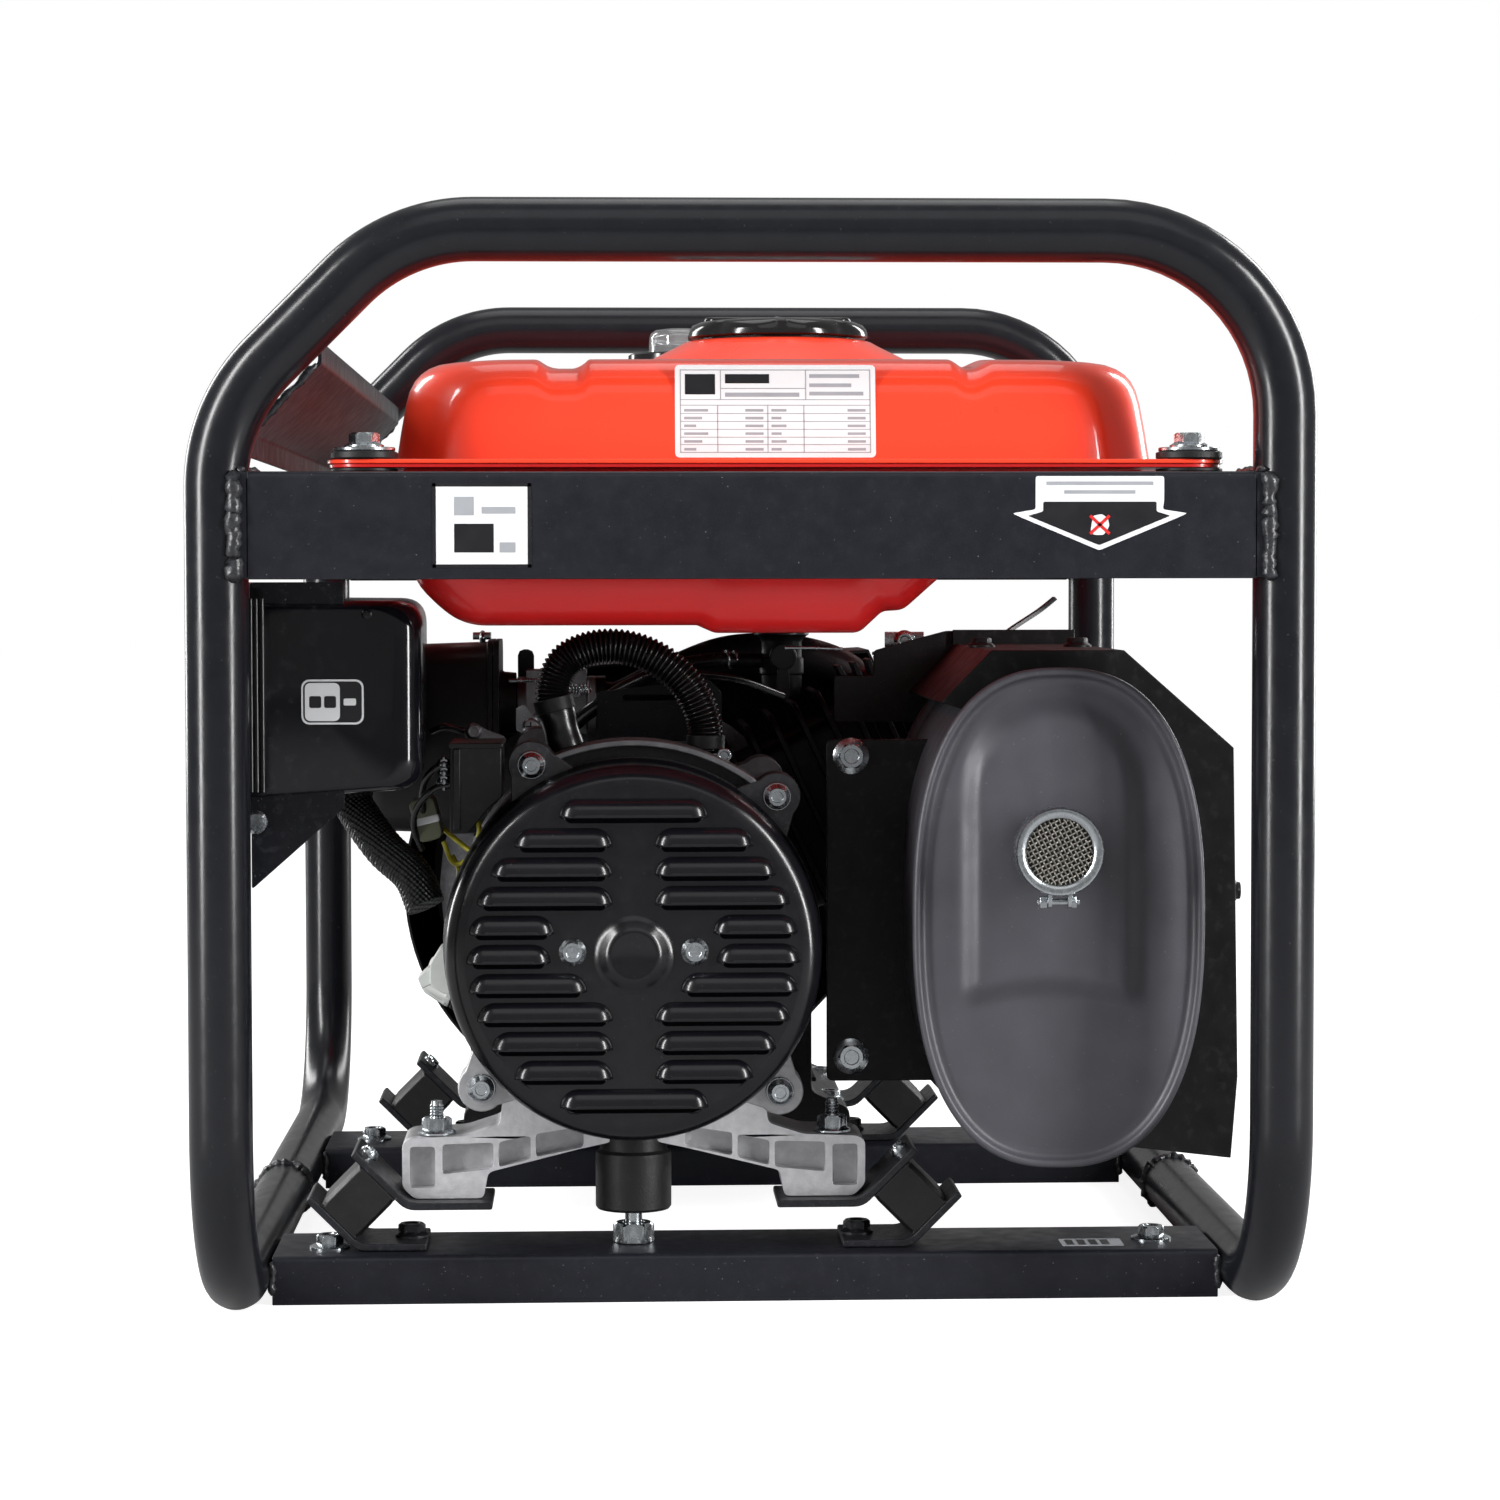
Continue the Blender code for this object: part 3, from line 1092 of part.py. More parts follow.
def ground_nut():
    y, z = GROUND
    x = PANEL_X - GAP
    nut = rod("ground_nut", (x, y, z), (x - 0.0060, y, z), 0.0070, "zinc", sides=6)
    wings = box("wings", (x - 0.0120, y - 0.0130, z - 0.0018), (x - 0.0030, y + 0.0130, z + 0.0018), "zinc")
    return origin_on(join(nut, wings), (x, y, z))


# ---------------------------------------------------------------- cords
def conduit():
    """Corrugated loom that arches from one side of the alternator's top to the other."""
    places = [(-0.0740, -0.1660, 0.2245), (-0.0780, -0.1660, 0.2400), (-0.0805, -0.1660, 0.2530),
              (-0.0745, -0.1660, 0.2660), (-0.0590, -0.1660, 0.2715), (-0.0410, -0.1660, 0.2685),
              (-0.0250, -0.1660, 0.2570), (-0.0165, -0.1660, 0.2410), (-0.0155, -0.1660, 0.2245)]
    return tube("conduit", smooth_route(places, 24), 0.0074, "rubber", resolution=3)


def harness():
    """Braided sleeve from the control box down to the alternator."""
    places = [(-0.1665, -0.1500, 0.2098), (-0.1660, -0.1510, 0.2030), (-0.1530, -0.1640, 0.1860),
              (-0.1405, -0.1720, 0.1750), (-0.1345, -0.1760, 0.1620)]
    return tube("harness", smooth_route(places, 12), 0.0070, "rubber", resolution=3)


# ---------------------------------------------------------------- assembly
def build():
    hoop("hoop_alternator_end", -1)
    hoop("hoop_starter_end", 1)
    upper_rail("upper_rail_alternator_end", -1)
    upper_rail("upper_rail_starter_end", 1)
    cross_rail("cross_rail_alternator_end", CROSS_ALTERNATOR_Y)
    cross_rail("cross_rail_starter_end", CROSS_STARTER_Y)
    inclined_panel()

    tank_upper_shell()
    tank_lower_shell()
    fuel_cap()
    fuel_cap_gasket()
    fuel_gauge()
    fuel_gauge_needle()
    fuel_valve()
    fuel_valve_lever()
    fuel_hose()

    alternator_end_cover()
    alternator_end_bracket()
    stator()
    alternator_engine_bracket()
    rotor()
    voltage_regulator()

    crankcase()
    cylinder()
    valve_cover()
    crankshaft()
    flywheel()
    fan_shroud()
    recoil_housing()
    starter_pulley()
    starter_handle()
    spark_plug()
    spark_plug_cap()
    carburetor()
    choke_lever()
    throttle_arm()
    air_filter_base()
    air_filter_element()
    air_filter_cover()
    oil_dipstick()

    muffler()
    spark_arrestor()
    heat_shield()

    alternator_y = sum(CROSS_ALTERNATOR_Y) / 2
    starter_y = sum(CROSS_STARTER_Y) / 2
    bonded_mount("mount_alternator_left", -0.1620, alternator_y, -1)
    bonded_mount("mount_alternator_right", 0.0690, alternator_y, 1)
    bonded_mount("mount_engine_left", -0.1496, starter_y, -1)
    bonded_mount("mount_engine_right", 0.0860, starter_y, 1)
    central_mount()

    control_box()
    control_panel()
    voltmeter()
    socket_pair()
    socket_cover("socket_cover_outer", SOCKET_Y[0])
    socket_cover("socket_cover_inner", SOCKET_Y[1])
    engine_switch()
    circuit_breaker()
    dc_breaker_button()
    ground_nut()

    conduit()
    harness()


build()
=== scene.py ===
"""The look of the portable generator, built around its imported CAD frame.

Metres, in the CAD's own frame: +Z up, the alternator end at -Y, the muffler at +X.
"""

import json
import math
import random

import bmesh
import bpy
from mathutils import Matrix, Vector
from mathutils.geometry import tessellate_polygon

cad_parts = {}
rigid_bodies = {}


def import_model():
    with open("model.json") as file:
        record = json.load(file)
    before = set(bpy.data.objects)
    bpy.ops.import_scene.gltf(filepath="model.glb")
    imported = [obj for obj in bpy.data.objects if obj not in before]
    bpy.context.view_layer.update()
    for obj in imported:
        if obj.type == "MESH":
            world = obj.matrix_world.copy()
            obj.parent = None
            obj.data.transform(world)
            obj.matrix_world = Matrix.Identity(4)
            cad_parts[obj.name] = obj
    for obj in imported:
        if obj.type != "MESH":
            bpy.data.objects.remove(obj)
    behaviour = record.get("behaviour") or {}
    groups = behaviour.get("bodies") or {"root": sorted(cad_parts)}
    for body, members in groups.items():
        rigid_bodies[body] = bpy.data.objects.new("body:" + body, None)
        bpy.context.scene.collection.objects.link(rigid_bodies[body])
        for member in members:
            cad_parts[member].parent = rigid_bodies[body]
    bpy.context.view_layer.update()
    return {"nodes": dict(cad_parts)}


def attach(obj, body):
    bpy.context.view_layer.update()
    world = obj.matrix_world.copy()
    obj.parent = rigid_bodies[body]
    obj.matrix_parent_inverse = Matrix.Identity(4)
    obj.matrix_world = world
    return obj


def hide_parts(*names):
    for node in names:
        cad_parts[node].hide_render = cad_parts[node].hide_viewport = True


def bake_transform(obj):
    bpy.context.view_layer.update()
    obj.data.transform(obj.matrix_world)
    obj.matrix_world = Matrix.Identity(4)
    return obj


for leftover in list(bpy.data.objects):
    bpy.data.objects.remove(leftover)
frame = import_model()

AXIS_X = Vector((1.0, 0.0, 0.0))
AXIS_Y = Vector((0.0, 1.0, 0.0))
AXIS_Z = Vector((0.0, 0.0, 1.0))

# ---------------------------------------------------------------- sizes shared with the CAD
TUBE_R = 0.0125
LEG_X = 0.21
HOOP_Y = 0.2875
TOP_Z = 0.4365
CHAMFER_X, CHAMFER_Z = -0.1383, 0.3648
RAIL_FACE_Y = 0.298
RAIL_Z0, RAIL_Z1 = 0.3, 0.342
RAIL_FLANGE = 0.04
ANGLE_T = 0.003
CROSS_X, CROSS_Z = 0.1968, 0.02
CROSS_RAILS = {"alternator": (-0.217, -0.157), "starter": (0.078, 0.138)}
CRANK_X, CRANK_Z = -0.047, 0.1465
BASE_Z = 0.0406
CYL_TILT = math.radians(25.0)
CYL_Y = 0.0445
CAN_R = 0.0795
LUG_R, LUG_CIRCLE = 0.01, 0.087
LUG_ANGLES = (46.0, 119.0, 223.0, 315.0)
COVER_R, COVER_FACE_Y, COVER_BACK_Y = 0.0776, -0.235, -0.1975
LOUVRE_ROWS, LOUVRE_PITCH, LOUVRE_R = 11, 0.0119, 0.068
TANK_X, TANK_Y, SEAM_Z = (-0.144, 0.167), 0.255, 0.3455
FLANGE_X, FLANGE_Y = (-0.168, 0.188), 0.286
CAP_X, CAP_Y, NECK_Z, NECK_BORE = 0.0218, -0.03, 0.4094, 0.03
GAUGE_X, GAUGE_Y, GAUGE_Z = -0.021, 0.078, 0.3983
MUFFLER_X, MUFFLER_Z = 0.1265, 0.1615
MUFFLER_Y = (-0.245, -0.093)
MUFFLER_HALF = (0.057, 0.0995)
OUTLET_X, OUTLET_Z = 0.1227, 0.191
ROPE_X, ROPE_Z = -0.087, 0.205
MOUNT_Y = -0.187
PANEL_X = -0.2035
VOLTMETER, BREAKER, SWITCH = (-0.056, 0.268), (-0.1, 0.26), (-0.008, 0.268)      # Y and Z
BUTTON, GROUND = (-0.09, 0.222), (0.018, 0.22)
SOCKET_YS = (-0.212, -0.154)
FLAP_Z, HINGE_Z = 0.2485, 0.273


# ---------------------------------------------------------------- shapes
class Shape:
    """Vertices and faces in metres, with a material number for each face."""

    def __init__(self, verts=(), faces=(), skins=None):
        self.verts = [Vector(vert) for vert in verts]
        self.faces = list(faces)
        self.skins = skins if skins is not None else [0] * len(self.faces)

    def __add__(self, other):
        shift = len(self.verts)
        faces = [tuple(index + shift for index in face) for face in other.faces]
        return Shape(self.verts + other.verts, self.faces + faces, self.skins + other.skins)

    def moved(self, matrix):
        return Shape([matrix @ vert for vert in self.verts], self.faces, self.skins)

    def skin(self, number):
        return Shape(self.verts, self.faces, [number] * len(self.faces))


def together(shapes):
    whole = Shape()
    for shape in shapes:
        whole = whole + shape
    return whole


def aimed(place, axis):
    """A matrix that puts local +Z along the axis at the place."""
    turn = Vector(axis).to_track_quat("Z", "Y").to_matrix().to_4x4()
    return Matrix.Translation(Vector(place)) @ turn


def skinned(rings, closed=False, caps=True):
    """Faces between rings; a ring of one point makes a tip."""
    verts = [point for ring in rings for point in ring]
    starts = []
    total = 0
    for ring in rings:
        starts.append(total)
        total += len(ring)
    faces = []
    pairs = list(zip(range(len(rings)), range(1, len(rings))))
    if closed:
        pairs.append((len(rings) - 1, 0))
    for a, b in pairs:
        count = max(len(rings[a]), len(rings[b]))
        for i in range(count):
            j = (i + 1) % count
            quad = (starts[a] + i % len(rings[a]), starts[a] + j % len(rings[a]),
                starts[b] + j % len(rings[b]), starts[b] + i % len(rings[b]))
            face = tuple(dict.fromkeys(quad))
            if len(face) > 2:
                faces.append(face)
    if caps and not closed:
        for index in (0, len(rings) - 1):
            if len(rings[index]) > 2:
                faces.append(tuple(range(starts[index], starts[index] + len(rings[index]))))
    return Shape(verts, faces)


def hexed(angle):
    """Turns a circle into a hexagon with the same distance across its flats."""
    return 1.0 / math.cos(angle % (math.pi / 3) - math.pi / 6)


def lobed(count, depth):
    """Dents a circle evenly, as on a knurled or scalloped edge."""
    return lambda angle: 1.0 - depth * (0.5 + 0.5 * math.cos(count * angle)) ** 3


def lathe(profile, place=(0.0, 0.0, 0.0), axis=AXIS_Z, sides=64, closed=False):
    """Turns (radius, height) points about an axis; a third value reshapes that ring."""
    turn = aimed(place, axis)
    rings = []
    for radius, height, *shape in profile:
        if radius < 1e-6:
            rings.append([turn @ Vector((0.0, 0.0, height))])
            continue
        ring = []
        for step in range(sides):
            angle = math.tau * step / sides
            reach = radius * (shape[0](angle) if shape else 1.0)
            ring.append(turn @ Vector((reach * math.cos(angle), reach * math.sin(angle), height)))
        rings.append(ring)
    return skinned(rings, closed)


def rod(start, end, radius, sides=32, edge=0.0):
    """A straight round bar, with its end edges rounded off if asked."""
    start, end = Vector(start), Vector(end)
    length = (end - start).length
    profile = [(0.0, 0.0), (radius - edge, 0.0), (radius, edge), (radius, length - edge),
        (radius - edge, length), (0.0, length)]
    if not edge:
        profile = [(0.0, 0.0), (radius, 0.0), (radius, length), (0.0, length)]
    return lathe(profile, start, end - start, sides)


def sweep(path, radius, sides=20, closed=False):
    """A tube along a path; the radius is one number or one for each point."""
    path = [Vector(point) for point in path]
    last = len(path) - 1
    side = None
    rings = []
    for index, point in enumerate(path):
        before = path[index - 1] if index or closed else point
        after = path[(index + 1) % len(path)] if index < last or closed else point
        ahead = (after - before).normalized()
        side = ahead.orthogonal() if side is None else side
        side = (side - ahead * side.dot(ahead)).normalized()
        up = ahead.cross(side)
        reach = radius[index] if isinstance(radius, list) else radius
        turns = [math.tau * k / sides for k in range(sides)]
        rings.append([point + (side * math.cos(a) + up * math.sin(a)) * reach for a in turns])
    return skinned(rings, closed)


def prism(axis, outline, low, high, holes=()):
    """A flat outline, extruded along an axis; its points are the other two axes in XYZ order."""
    at = "xyz".index(axis)
    loops = [list(outline), *[list(hole) for hole in holes]]
    flat = [point for loop in loops for point in loop]
    count = len(flat)
    if holes:
        ends = tessellate_polygon([[Vector((u, v, 0.0)) for u, v in loop] for loop in loops])
    else:
        ends = [tuple(range(count))]
    verts = [(*point[:at], w, *point[at:]) for w in (low, high) for point in map(tuple, flat)]
    faces = [tuple(end) for end in ends] + [tuple(index + count for index in end) for end in ends]
    start = 0
    for loop in loops:
        for i in range(len(loop)):
            j = (i + 1) % len(loop)
            faces.append((start + i, start + j, start + j + count, start + i + count))
        start += len(loop)
    return Shape(verts, faces)


def block(low, high):
    corners = [(low[0], low[1]), (high[0], low[1]), (high[0], high[1]), (low[0], high[1])]
    return prism("z", corners, low[2], high[2])


def rounded(points, cut, steps=4):
    """A closed outline with its corners rounded; cut is one length or one for each corner."""
    points = [Vector(point) for point in points]
    cuts = cut if isinstance(cut, (list, tuple)) else [cut] * len(points)
    made = []
    for index, corner in enumerate(points):
        before = points[index - 1] - corner
        after = points[(index + 1) % len(points)] - corner
        if cuts[index] <= 0.0:
            made.append(corner)
            continue
        start = corner + before.normalized() * min(cuts[index], before.length * 0.48)
        end = corner + after.normalized() * min(cuts[index], after.length * 0.48)
        for step in range(steps + 1):
            t = step / steps
            made.append(start * (1 - t) ** 2 + corner * 2 * t * (1 - t) + end * t ** 2)
    return made


def rectangle(low, high, radius=0.0, steps=4):
    """A rectangle between two corners, with round corners if asked."""
    corners = [(high[0], high[1]), (low[0], high[1]), (low[0], low[1]), (high[0], low[1])]
    if not radius:
        return corners
    points = []
    for turn, (x, y) in enumerate(corners):
        centre_x = x + (radius if x == low[0] else -radius)
        centre_y = y + (radius if y == low[1] else -radius)
        for step in range(steps + 1):
            angle = math.pi / 2 * (turn + step / steps)
            points.append((centre_x + radius * math.cos(angle),
                centre_y + radius * math.sin(angle)))
    return points


def centred(centre, half_u, half_v, radius=0.0, steps=4):
    """A rectangle given by its centre and half sizes."""
    u, v = centre
    return rectangle((u - half_u, v - half_v), (u + half_u, v + half_v), radius, steps)


def circle(centre, radius, count=48):
    angles = [math.tau * k / count for k in range(count)]
    return [(centre[0] + radius * math.cos(a), centre[1] + radius * math.sin(a)) for a in angles]


def oval(centre, half, count, power=2.5):
    """A superellipse; a power of 2 gives a plain ellipse."""
    points = []
    for index in range(count):
        angle = math.tau * index / count
        c, s = math.cos(angle), math.sin(angle)
        points.append((centre[0] + half[0] * math.copysign(abs(c) ** (2 / power), c),
            centre[1] + half[1] * math.copysign(abs(s) ** (2 / power), s)))
    return points


def filleted(corners, radii, steps=12):
    """A polyline whose inner corners are arcs of the given radii."""
    corners = [Vector(corner) for corner in corners]
    points = [corners[0]]
    for before, corner, after, radius in zip(corners, corners[1:], corners[2:], radii):
        back = (before - corner).normalized()
        ahead = (after - corner).normalized()
        half = back.angle(ahead) / 2
        reach = radius / math.tan(half)
        centre = corner + (back + ahead).normalized() * (radius / math.sin(half))
        start = (corner + back * reach - centre).normalized()
        end = (corner + ahead * reach - centre).normalized()
        for step in range(steps + 1):
            points.append(centre + start.slerp(end, step / steps) * radius)
    points.append(corners[-1])
    return points


def smooth_route(places, count):
    """Points read from a Catmull-Rom curve through the given places."""
    places = [Vector(place) for place in places]
    padded = [2 * places[0] - places[1], *places, 2 * places[-1] - places[-2]]
    spans = len(places) - 1
    route = []
    for index in range(count + 1):
        position = index * spans / count
        span = min(int(position), spans - 1)
        t = position - span
        a, b, c, d = padded[span:span + 4]
        route.append(0.5 * (2 * b + (c - a) * t + (2 * a - 5 * b + 4 * c - d) * t ** 2
            + (3 * b - a - 3 * c + d) * t ** 3))
    return route


def around_crank(radius, degrees):
    """An XZ point at an angle around the crankshaft, measured from +X."""
    angle = math.radians(degrees)
    return CRANK_X + radius * math.cos(angle), CRANK_Z + radius * math.sin(angle)


def crank_arc(radius, start, end, steps):
    return [around_crank(radius, start + (end - start) * k / steps) for k in range(steps + 1)]


def from_cylinder(along, side):
    """An XZ point measured along the tilted cylinder's axis and square to it."""
    c, s = math.cos(CYL_TILT), math.sin(CYL_TILT)
    return CRANK_X + along * c - side * s, CRANK_Z + along * s + side * c


def along_crank(profile, sides=96, closed=False):
    return lathe(profile, (CRANK_X, 0.0, CRANK_Z), AXIS_Y, sides, closed)


def bolt(place, axis, flats=0.01, head=0.0055, flange=0.0, washer=0.0, stud=0.0):
    """A hexagon head, or a nut with its stud, on an optional flange and washer."""
    half = flats / 2
    turn = aimed(place, axis)
    base = 0.0
    made = Shape()
    if washer:
        thick = 0.0015
        made = made + lathe([(0.0, 0.0), (washer - 0.0003, 0.0), (washer, 0.0003),
            (washer, thick - 0.0003), (washer - 0.0003, thick), (0.0, thick)], sides=40)
        base = thick
    if flange:
        made = made + lathe([(0.0, base), (flange, base), (flange, base + 0.0008),
            (half, base + 0.0024), (0.0, base + 0.0024)], sides=40)
    top = base + head
    bevel = half * 0.14
    made = made + lathe([(0.0, base), (half, base, hexed), (half, top - bevel, hexed),
        (half * 0.98, top), (half * 0.66, top), (half * 0.6, top - 0.0005), (0.0, top - 0.0005)],
        sides=48)
    if stud:
        pitch = 0.00125
        radius = half * 0.54
        profile = [(0.0, top - 0.001), (radius, top - 0.001)]
        for turn_index in range(int(stud / pitch)):
            height = top + turn_index * pitch
            profile += [(radius, height), (radius * 0.84, height + pitch / 2)]
        profile += [(radius * 0.8, top + stud), (0.0, top + stud)]
        made = made + lathe(profile, sides=24)
    return made.moved(turn)


def screw(place, axis, radius=0.0035, height=0.002):
    """A pan head with a thin cross block standing for its crossed recess; in a dark second
    material the cross is painted shade.
    """
    turn = aimed(place, axis)
    head = lathe([(0.0, 0.0), (radius, 0.0), (radius, height * 0.4), (radius * 0.8, height * 0.85),
        (radius * 0.45, height), (0.0, height)], sides=32)
    arm, wide = radius * 0.55, radius * 0.1
    cross = block((-arm, -wide, height * 0.92), (arm, wide, height * 1.04))
    cross = cross + block((-wide, -arm, height * 0.92), (wide, arm, height * 1.04))
    return (head + cross.skin(1)).moved(turn)


def bead(path, radius, seed, sides=10):
    """A rough weld: a lumpy tube along a path of closely spaced points."""
    dice = random.Random(seed)
    radii = [radius * dice.uniform(0.72, 1.28) for _ in path]
    radii[0] = radii[-1] = radius * 0.35
    wander = [Vector(point) + Vector([dice.uniform(-1, 1) for _ in range(3)]) * radius * 0.22
        for point in path]
    shape = sweep(wander, radii, sides)
    shape.verts = [vert + Vector([dice.uniform(-1, 1) for _ in range(3)]) * radius * 0.14
        for vert in shape.verts]
    return shape


def straight(start, end, count):
    """Evenly spaced points from start to end."""
    start, end = Vector(start), Vector(end)
    return [start.lerp(end, step / count) for step in range(count + 1)]


# ---------------------------------------------------------------- materials
LOOKS = {}
EDGE_START, EDGE_END = 0.51, 0.58      # pointiness where wear begins and where it is full
WEAR_SHARE = 0.35
DUST_SIZE, DUST_TONE = 0.0011, (0.62, 0.63, 0.65, 1.0)
COAT_ROUGHNESS = 0.06


class Looks:
    """Builds one procedural material from noise, bands and the object's own coordinates."""

    def __init__(self, name):
        self.material = bpy.data.materials.new(name)
        self.material.use_nodes = True
        self.tree = self.material.node_tree
        self.shader = self.tree.nodes["Principled BSDF"]
        self.place = self.tree.nodes.new("ShaderNodeTexCoord").outputs["Object"]

    def wire(self, value, socket):
        if isinstance(value, bpy.types.NodeSocket):
            self.tree.links.new(value, socket)
        else:
            socket.default_value = value

    def noise(self, size, detail=3.0):
        node = self.tree.nodes.new("ShaderNodeTexNoise")
        node.inputs["Scale"].default_value = 1.0 / size
        node.inputs["Detail"].default_value = detail
        self.tree.links.new(self.place, node.inputs["Vector"])
        return node.outputs["Fac"]

    def maths(self, operation, a, b=0.0):
        node = self.tree.nodes.new("ShaderNodeMath")
        node.operation = operation
        self.wire(a, node.inputs[0])
        self.wire(b, node.inputs[1])
        return node.outputs[0]

    def bands(self, direction, pitch):
        """A sine wave along a direction, from -1 to 1."""
        node = self.tree.nodes.new("ShaderNodeVectorMath")
        node.operation = "DOT_PRODUCT"
        self.tree.links.new(self.place, node.inputs[0])
        node.inputs[1].default_value = Vector(direction).normalized() * (math.tau / pitch)
        return self.maths("SINE", node.outputs["Value"])

    def spread(self, value, low, high, start=0.3, end=0.7):
        node = self.tree.nodes.new("ShaderNodeMapRange")
        self.wire(value, node.inputs["Value"])
        ends = {"From Min": start, "From Max": end, "To Min": low, "To Max": high}
        for socket, number in ends.items():
            node.inputs[socket].default_value = number
        return node.outputs["Result"]

    def mixed(self, share, a, b):
        node = self.tree.nodes.new("ShaderNodeMix")
        node.data_type = "RGBA"
        self.wire(share, node.inputs["Factor"])
        self.wire(a, node.inputs[6])
        self.wire(b, node.inputs[7])
        return node.outputs[2]

    def edges(self):
        node = self.tree.nodes.new("ShaderNodeNewGeometry")
        return self.spread(node.outputs["Pointiness"], 0.0, 1.0, EDGE_START, EDGE_END)

    def bump(self, height, distance, under=None):
        node = self.tree.nodes.new("ShaderNodeBump")
        node.inputs["Distance"].default_value = distance
        node.inputs["Strength"].default_value = 1.0
        self.wire(height, node.inputs["Height"])
        if under is not None:
            self.wire(under, node.inputs["Normal"])
        return node.outputs["Normal"]


def tone(colour, factor=1.0):
    return (*(min(1.0, channel * factor) for channel in colour), 1.0)


def look(name, colour, roughness, metallic=0.0, mottle=0.1, mottle_size=0.012, grain=0.0,
        grain_size=0.0005, wave=0.0, wave_size=0.006, spread=0.06, worn=None, specks=0.0, coat=0.0,
        bands=(), glass=0.0, gloss=0.5):
    """One finish: mottled colour, uneven roughness, grain, waves, patchy edge wear and dust."""
    made = Looks(name)
    shader = made.shader
    broad = made.spread(made.noise(mottle_size, 4.0), 0.0, 1.0)
    base = made.mixed(broad, tone(colour, 1 - mottle), tone(colour, 1 + mottle))
    fine = made.noise(grain_size, 2.0)
    rough = made.spread(made.noise(mottle_size * 0.6, 5.0), roughness - spread, roughness + spread)
    if worn is not None:
        patches = made.spread(made.noise(mottle_size * 0.35, 4.0), 0.0, WEAR_SHARE, 0.55, 0.8)
        amount = made.maths("MULTIPLY", made.edges(), patches)
        base = made.mixed(amount, base, tone(worn))
    if specks:
        dots = made.spread(made.noise(DUST_SIZE, 1.0), 0.0, specks, 0.755, 0.8)
        base = made.mixed(dots, base, DUST_TONE)
    normal = None
    if wave:
        normal = made.bump(made.noise(wave_size, 1.0), wave)
    if grain:
        normal = made.bump(fine, grain, under=normal)
    for direction, pitch, depth in bands:
        normal = made.bump(made.bands(direction, pitch), depth, under=normal)
    made.wire(base, shader.inputs["Base Color"])
    made.wire(rough, shader.inputs["Roughness"])
    shader.inputs["Metallic"].default_value = metallic
    shader.inputs["Coat Weight"].default_value = coat
    shader.inputs["Coat Roughness"].default_value = COAT_ROUGHNESS
    shader.inputs["Specular IOR Level"].default_value = gloss
    shader.inputs["Transmission Weight"].default_value = glass
    if normal is not None:
        made.wire(normal, shader.inputs["Normal"])
    LOOKS[name] = made.material


look("tube_black", (0.0066, 0.0072, 0.0094), 0.23, mottle=0.12, wave=0.000018,
    wave_size=0.0035, grain=0.000008, specks=0.05, worn=(0.04, 0.042, 0.046), spread=0.04,
    gloss=0.38)
look("rail_black", (0.0092, 0.0098, 0.014), 0.36, mottle=0.14, grain=0.00004,
    grain_size=0.0007, specks=0.2, worn=(0.03, 0.032, 0.038), gloss=0.3)
look("sheet_black", (0.0045, 0.0048, 0.0065), 0.24, mottle=0.1, wave=0.00003,
    wave_size=0.009, specks=0.12, worn=(0.05, 0.052, 0.056), spread=0.05, gloss=0.28)
look("weld_black", (0.02, 0.021, 0.024), 0.3, mottle=0.35, mottle_size=0.002,
    grain=0.00025, grain_size=0.0012)
look("cover_black", (0.004, 0.004, 0.0054), 0.22, mottle=0.08, grain=0.00001,
    worn=(0.016, 0.017, 0.02), specks=0.03, spread=0.04, gloss=0.44)
look("shield_black", (0.0055, 0.0052, 0.0058), 0.42, mottle=0.14, grain=0.00004,
    worn=(0.06, 0.06, 0.06), gloss=0.22)
look("muffler_paint", (0.057, 0.056, 0.066), 0.44, metallic=0.15, mottle=0.09,
    mottle_size=0.02, grain=0.00005, grain_size=0.0005, specks=0.1, worn=(0.13, 0.13, 0.13))
look("tank_red", (0.9, 0.052, 0.018), 0.3, mottle=0.03, mottle_size=0.05,
    wave=0.000015, wave_size=0.004, coat=0.6, specks=0.04, spread=0.03, gloss=0.3)
# A darker copy of the tank red for the lower pressing and the underside of the seam flange:
# painted shade.
look("tank_red_low", (0.56, 0.012, 0.012), 0.32, mottle=0.05, mottle_size=0.05,
    wave=0.00002, wave_size=0.004, coat=0.35, specks=0.05, spread=0.03, gloss=0.3)
# Copies of one cast aluminium, lighter or darker by how light falls where each is used: painted
# light on the lit copy, painted shade on the three darker ones.
look("cast_painted_lit", (0.66, 0.66, 0.68), 0.46, metallic=0.8, mottle=0.1,
    mottle_size=0.004, grain=0.00012, grain_size=0.0007, worn=(0.8, 0.8, 0.82), spread=0.09)
look("cast_painted_half_shade", (0.42, 0.42, 0.43), 0.48, metallic=0.8, mottle=0.1,
    mottle_size=0.004, grain=0.00012, grain_size=0.0007, spread=0.09)
look("cast_painted_deep_shade", (0.05, 0.05, 0.054), 0.4, metallic=0.6, mottle=0.16,
    mottle_size=0.005, grain=0.00014, grain_size=0.0008, worn=(0.3, 0.3, 0.31), spread=0.09)
look("cast_dull", (0.2, 0.2, 0.21), 0.42, metallic=0.85, mottle=0.16,
    mottle_size=0.005, grain=0.00014, grain_size=0.0008, worn=(0.42, 0.42, 0.43), spread=0.09)
look("engine_paint", (0.0045, 0.0042, 0.005), 0.4, mottle=0.2, mottle_size=0.006,
    grain=0.00014, grain_size=0.0008, worn=(0.045, 0.045, 0.05), specks=0.05, gloss=0.3)
look("zinc_plate", (0.47, 0.5, 0.52), 0.24, metallic=1.0, mottle=0.07, mottle_size=0.0024,
    grain=0.00001, grain_size=0.0008, spread=0.06, worn=(0.62, 0.65, 0.67))
look("steel_turned", (0.46, 0.47, 0.49), 0.28, metallic=1.0, mottle=0.1,
    bands=((AXIS_Y, 0.0006, 0.00002),))
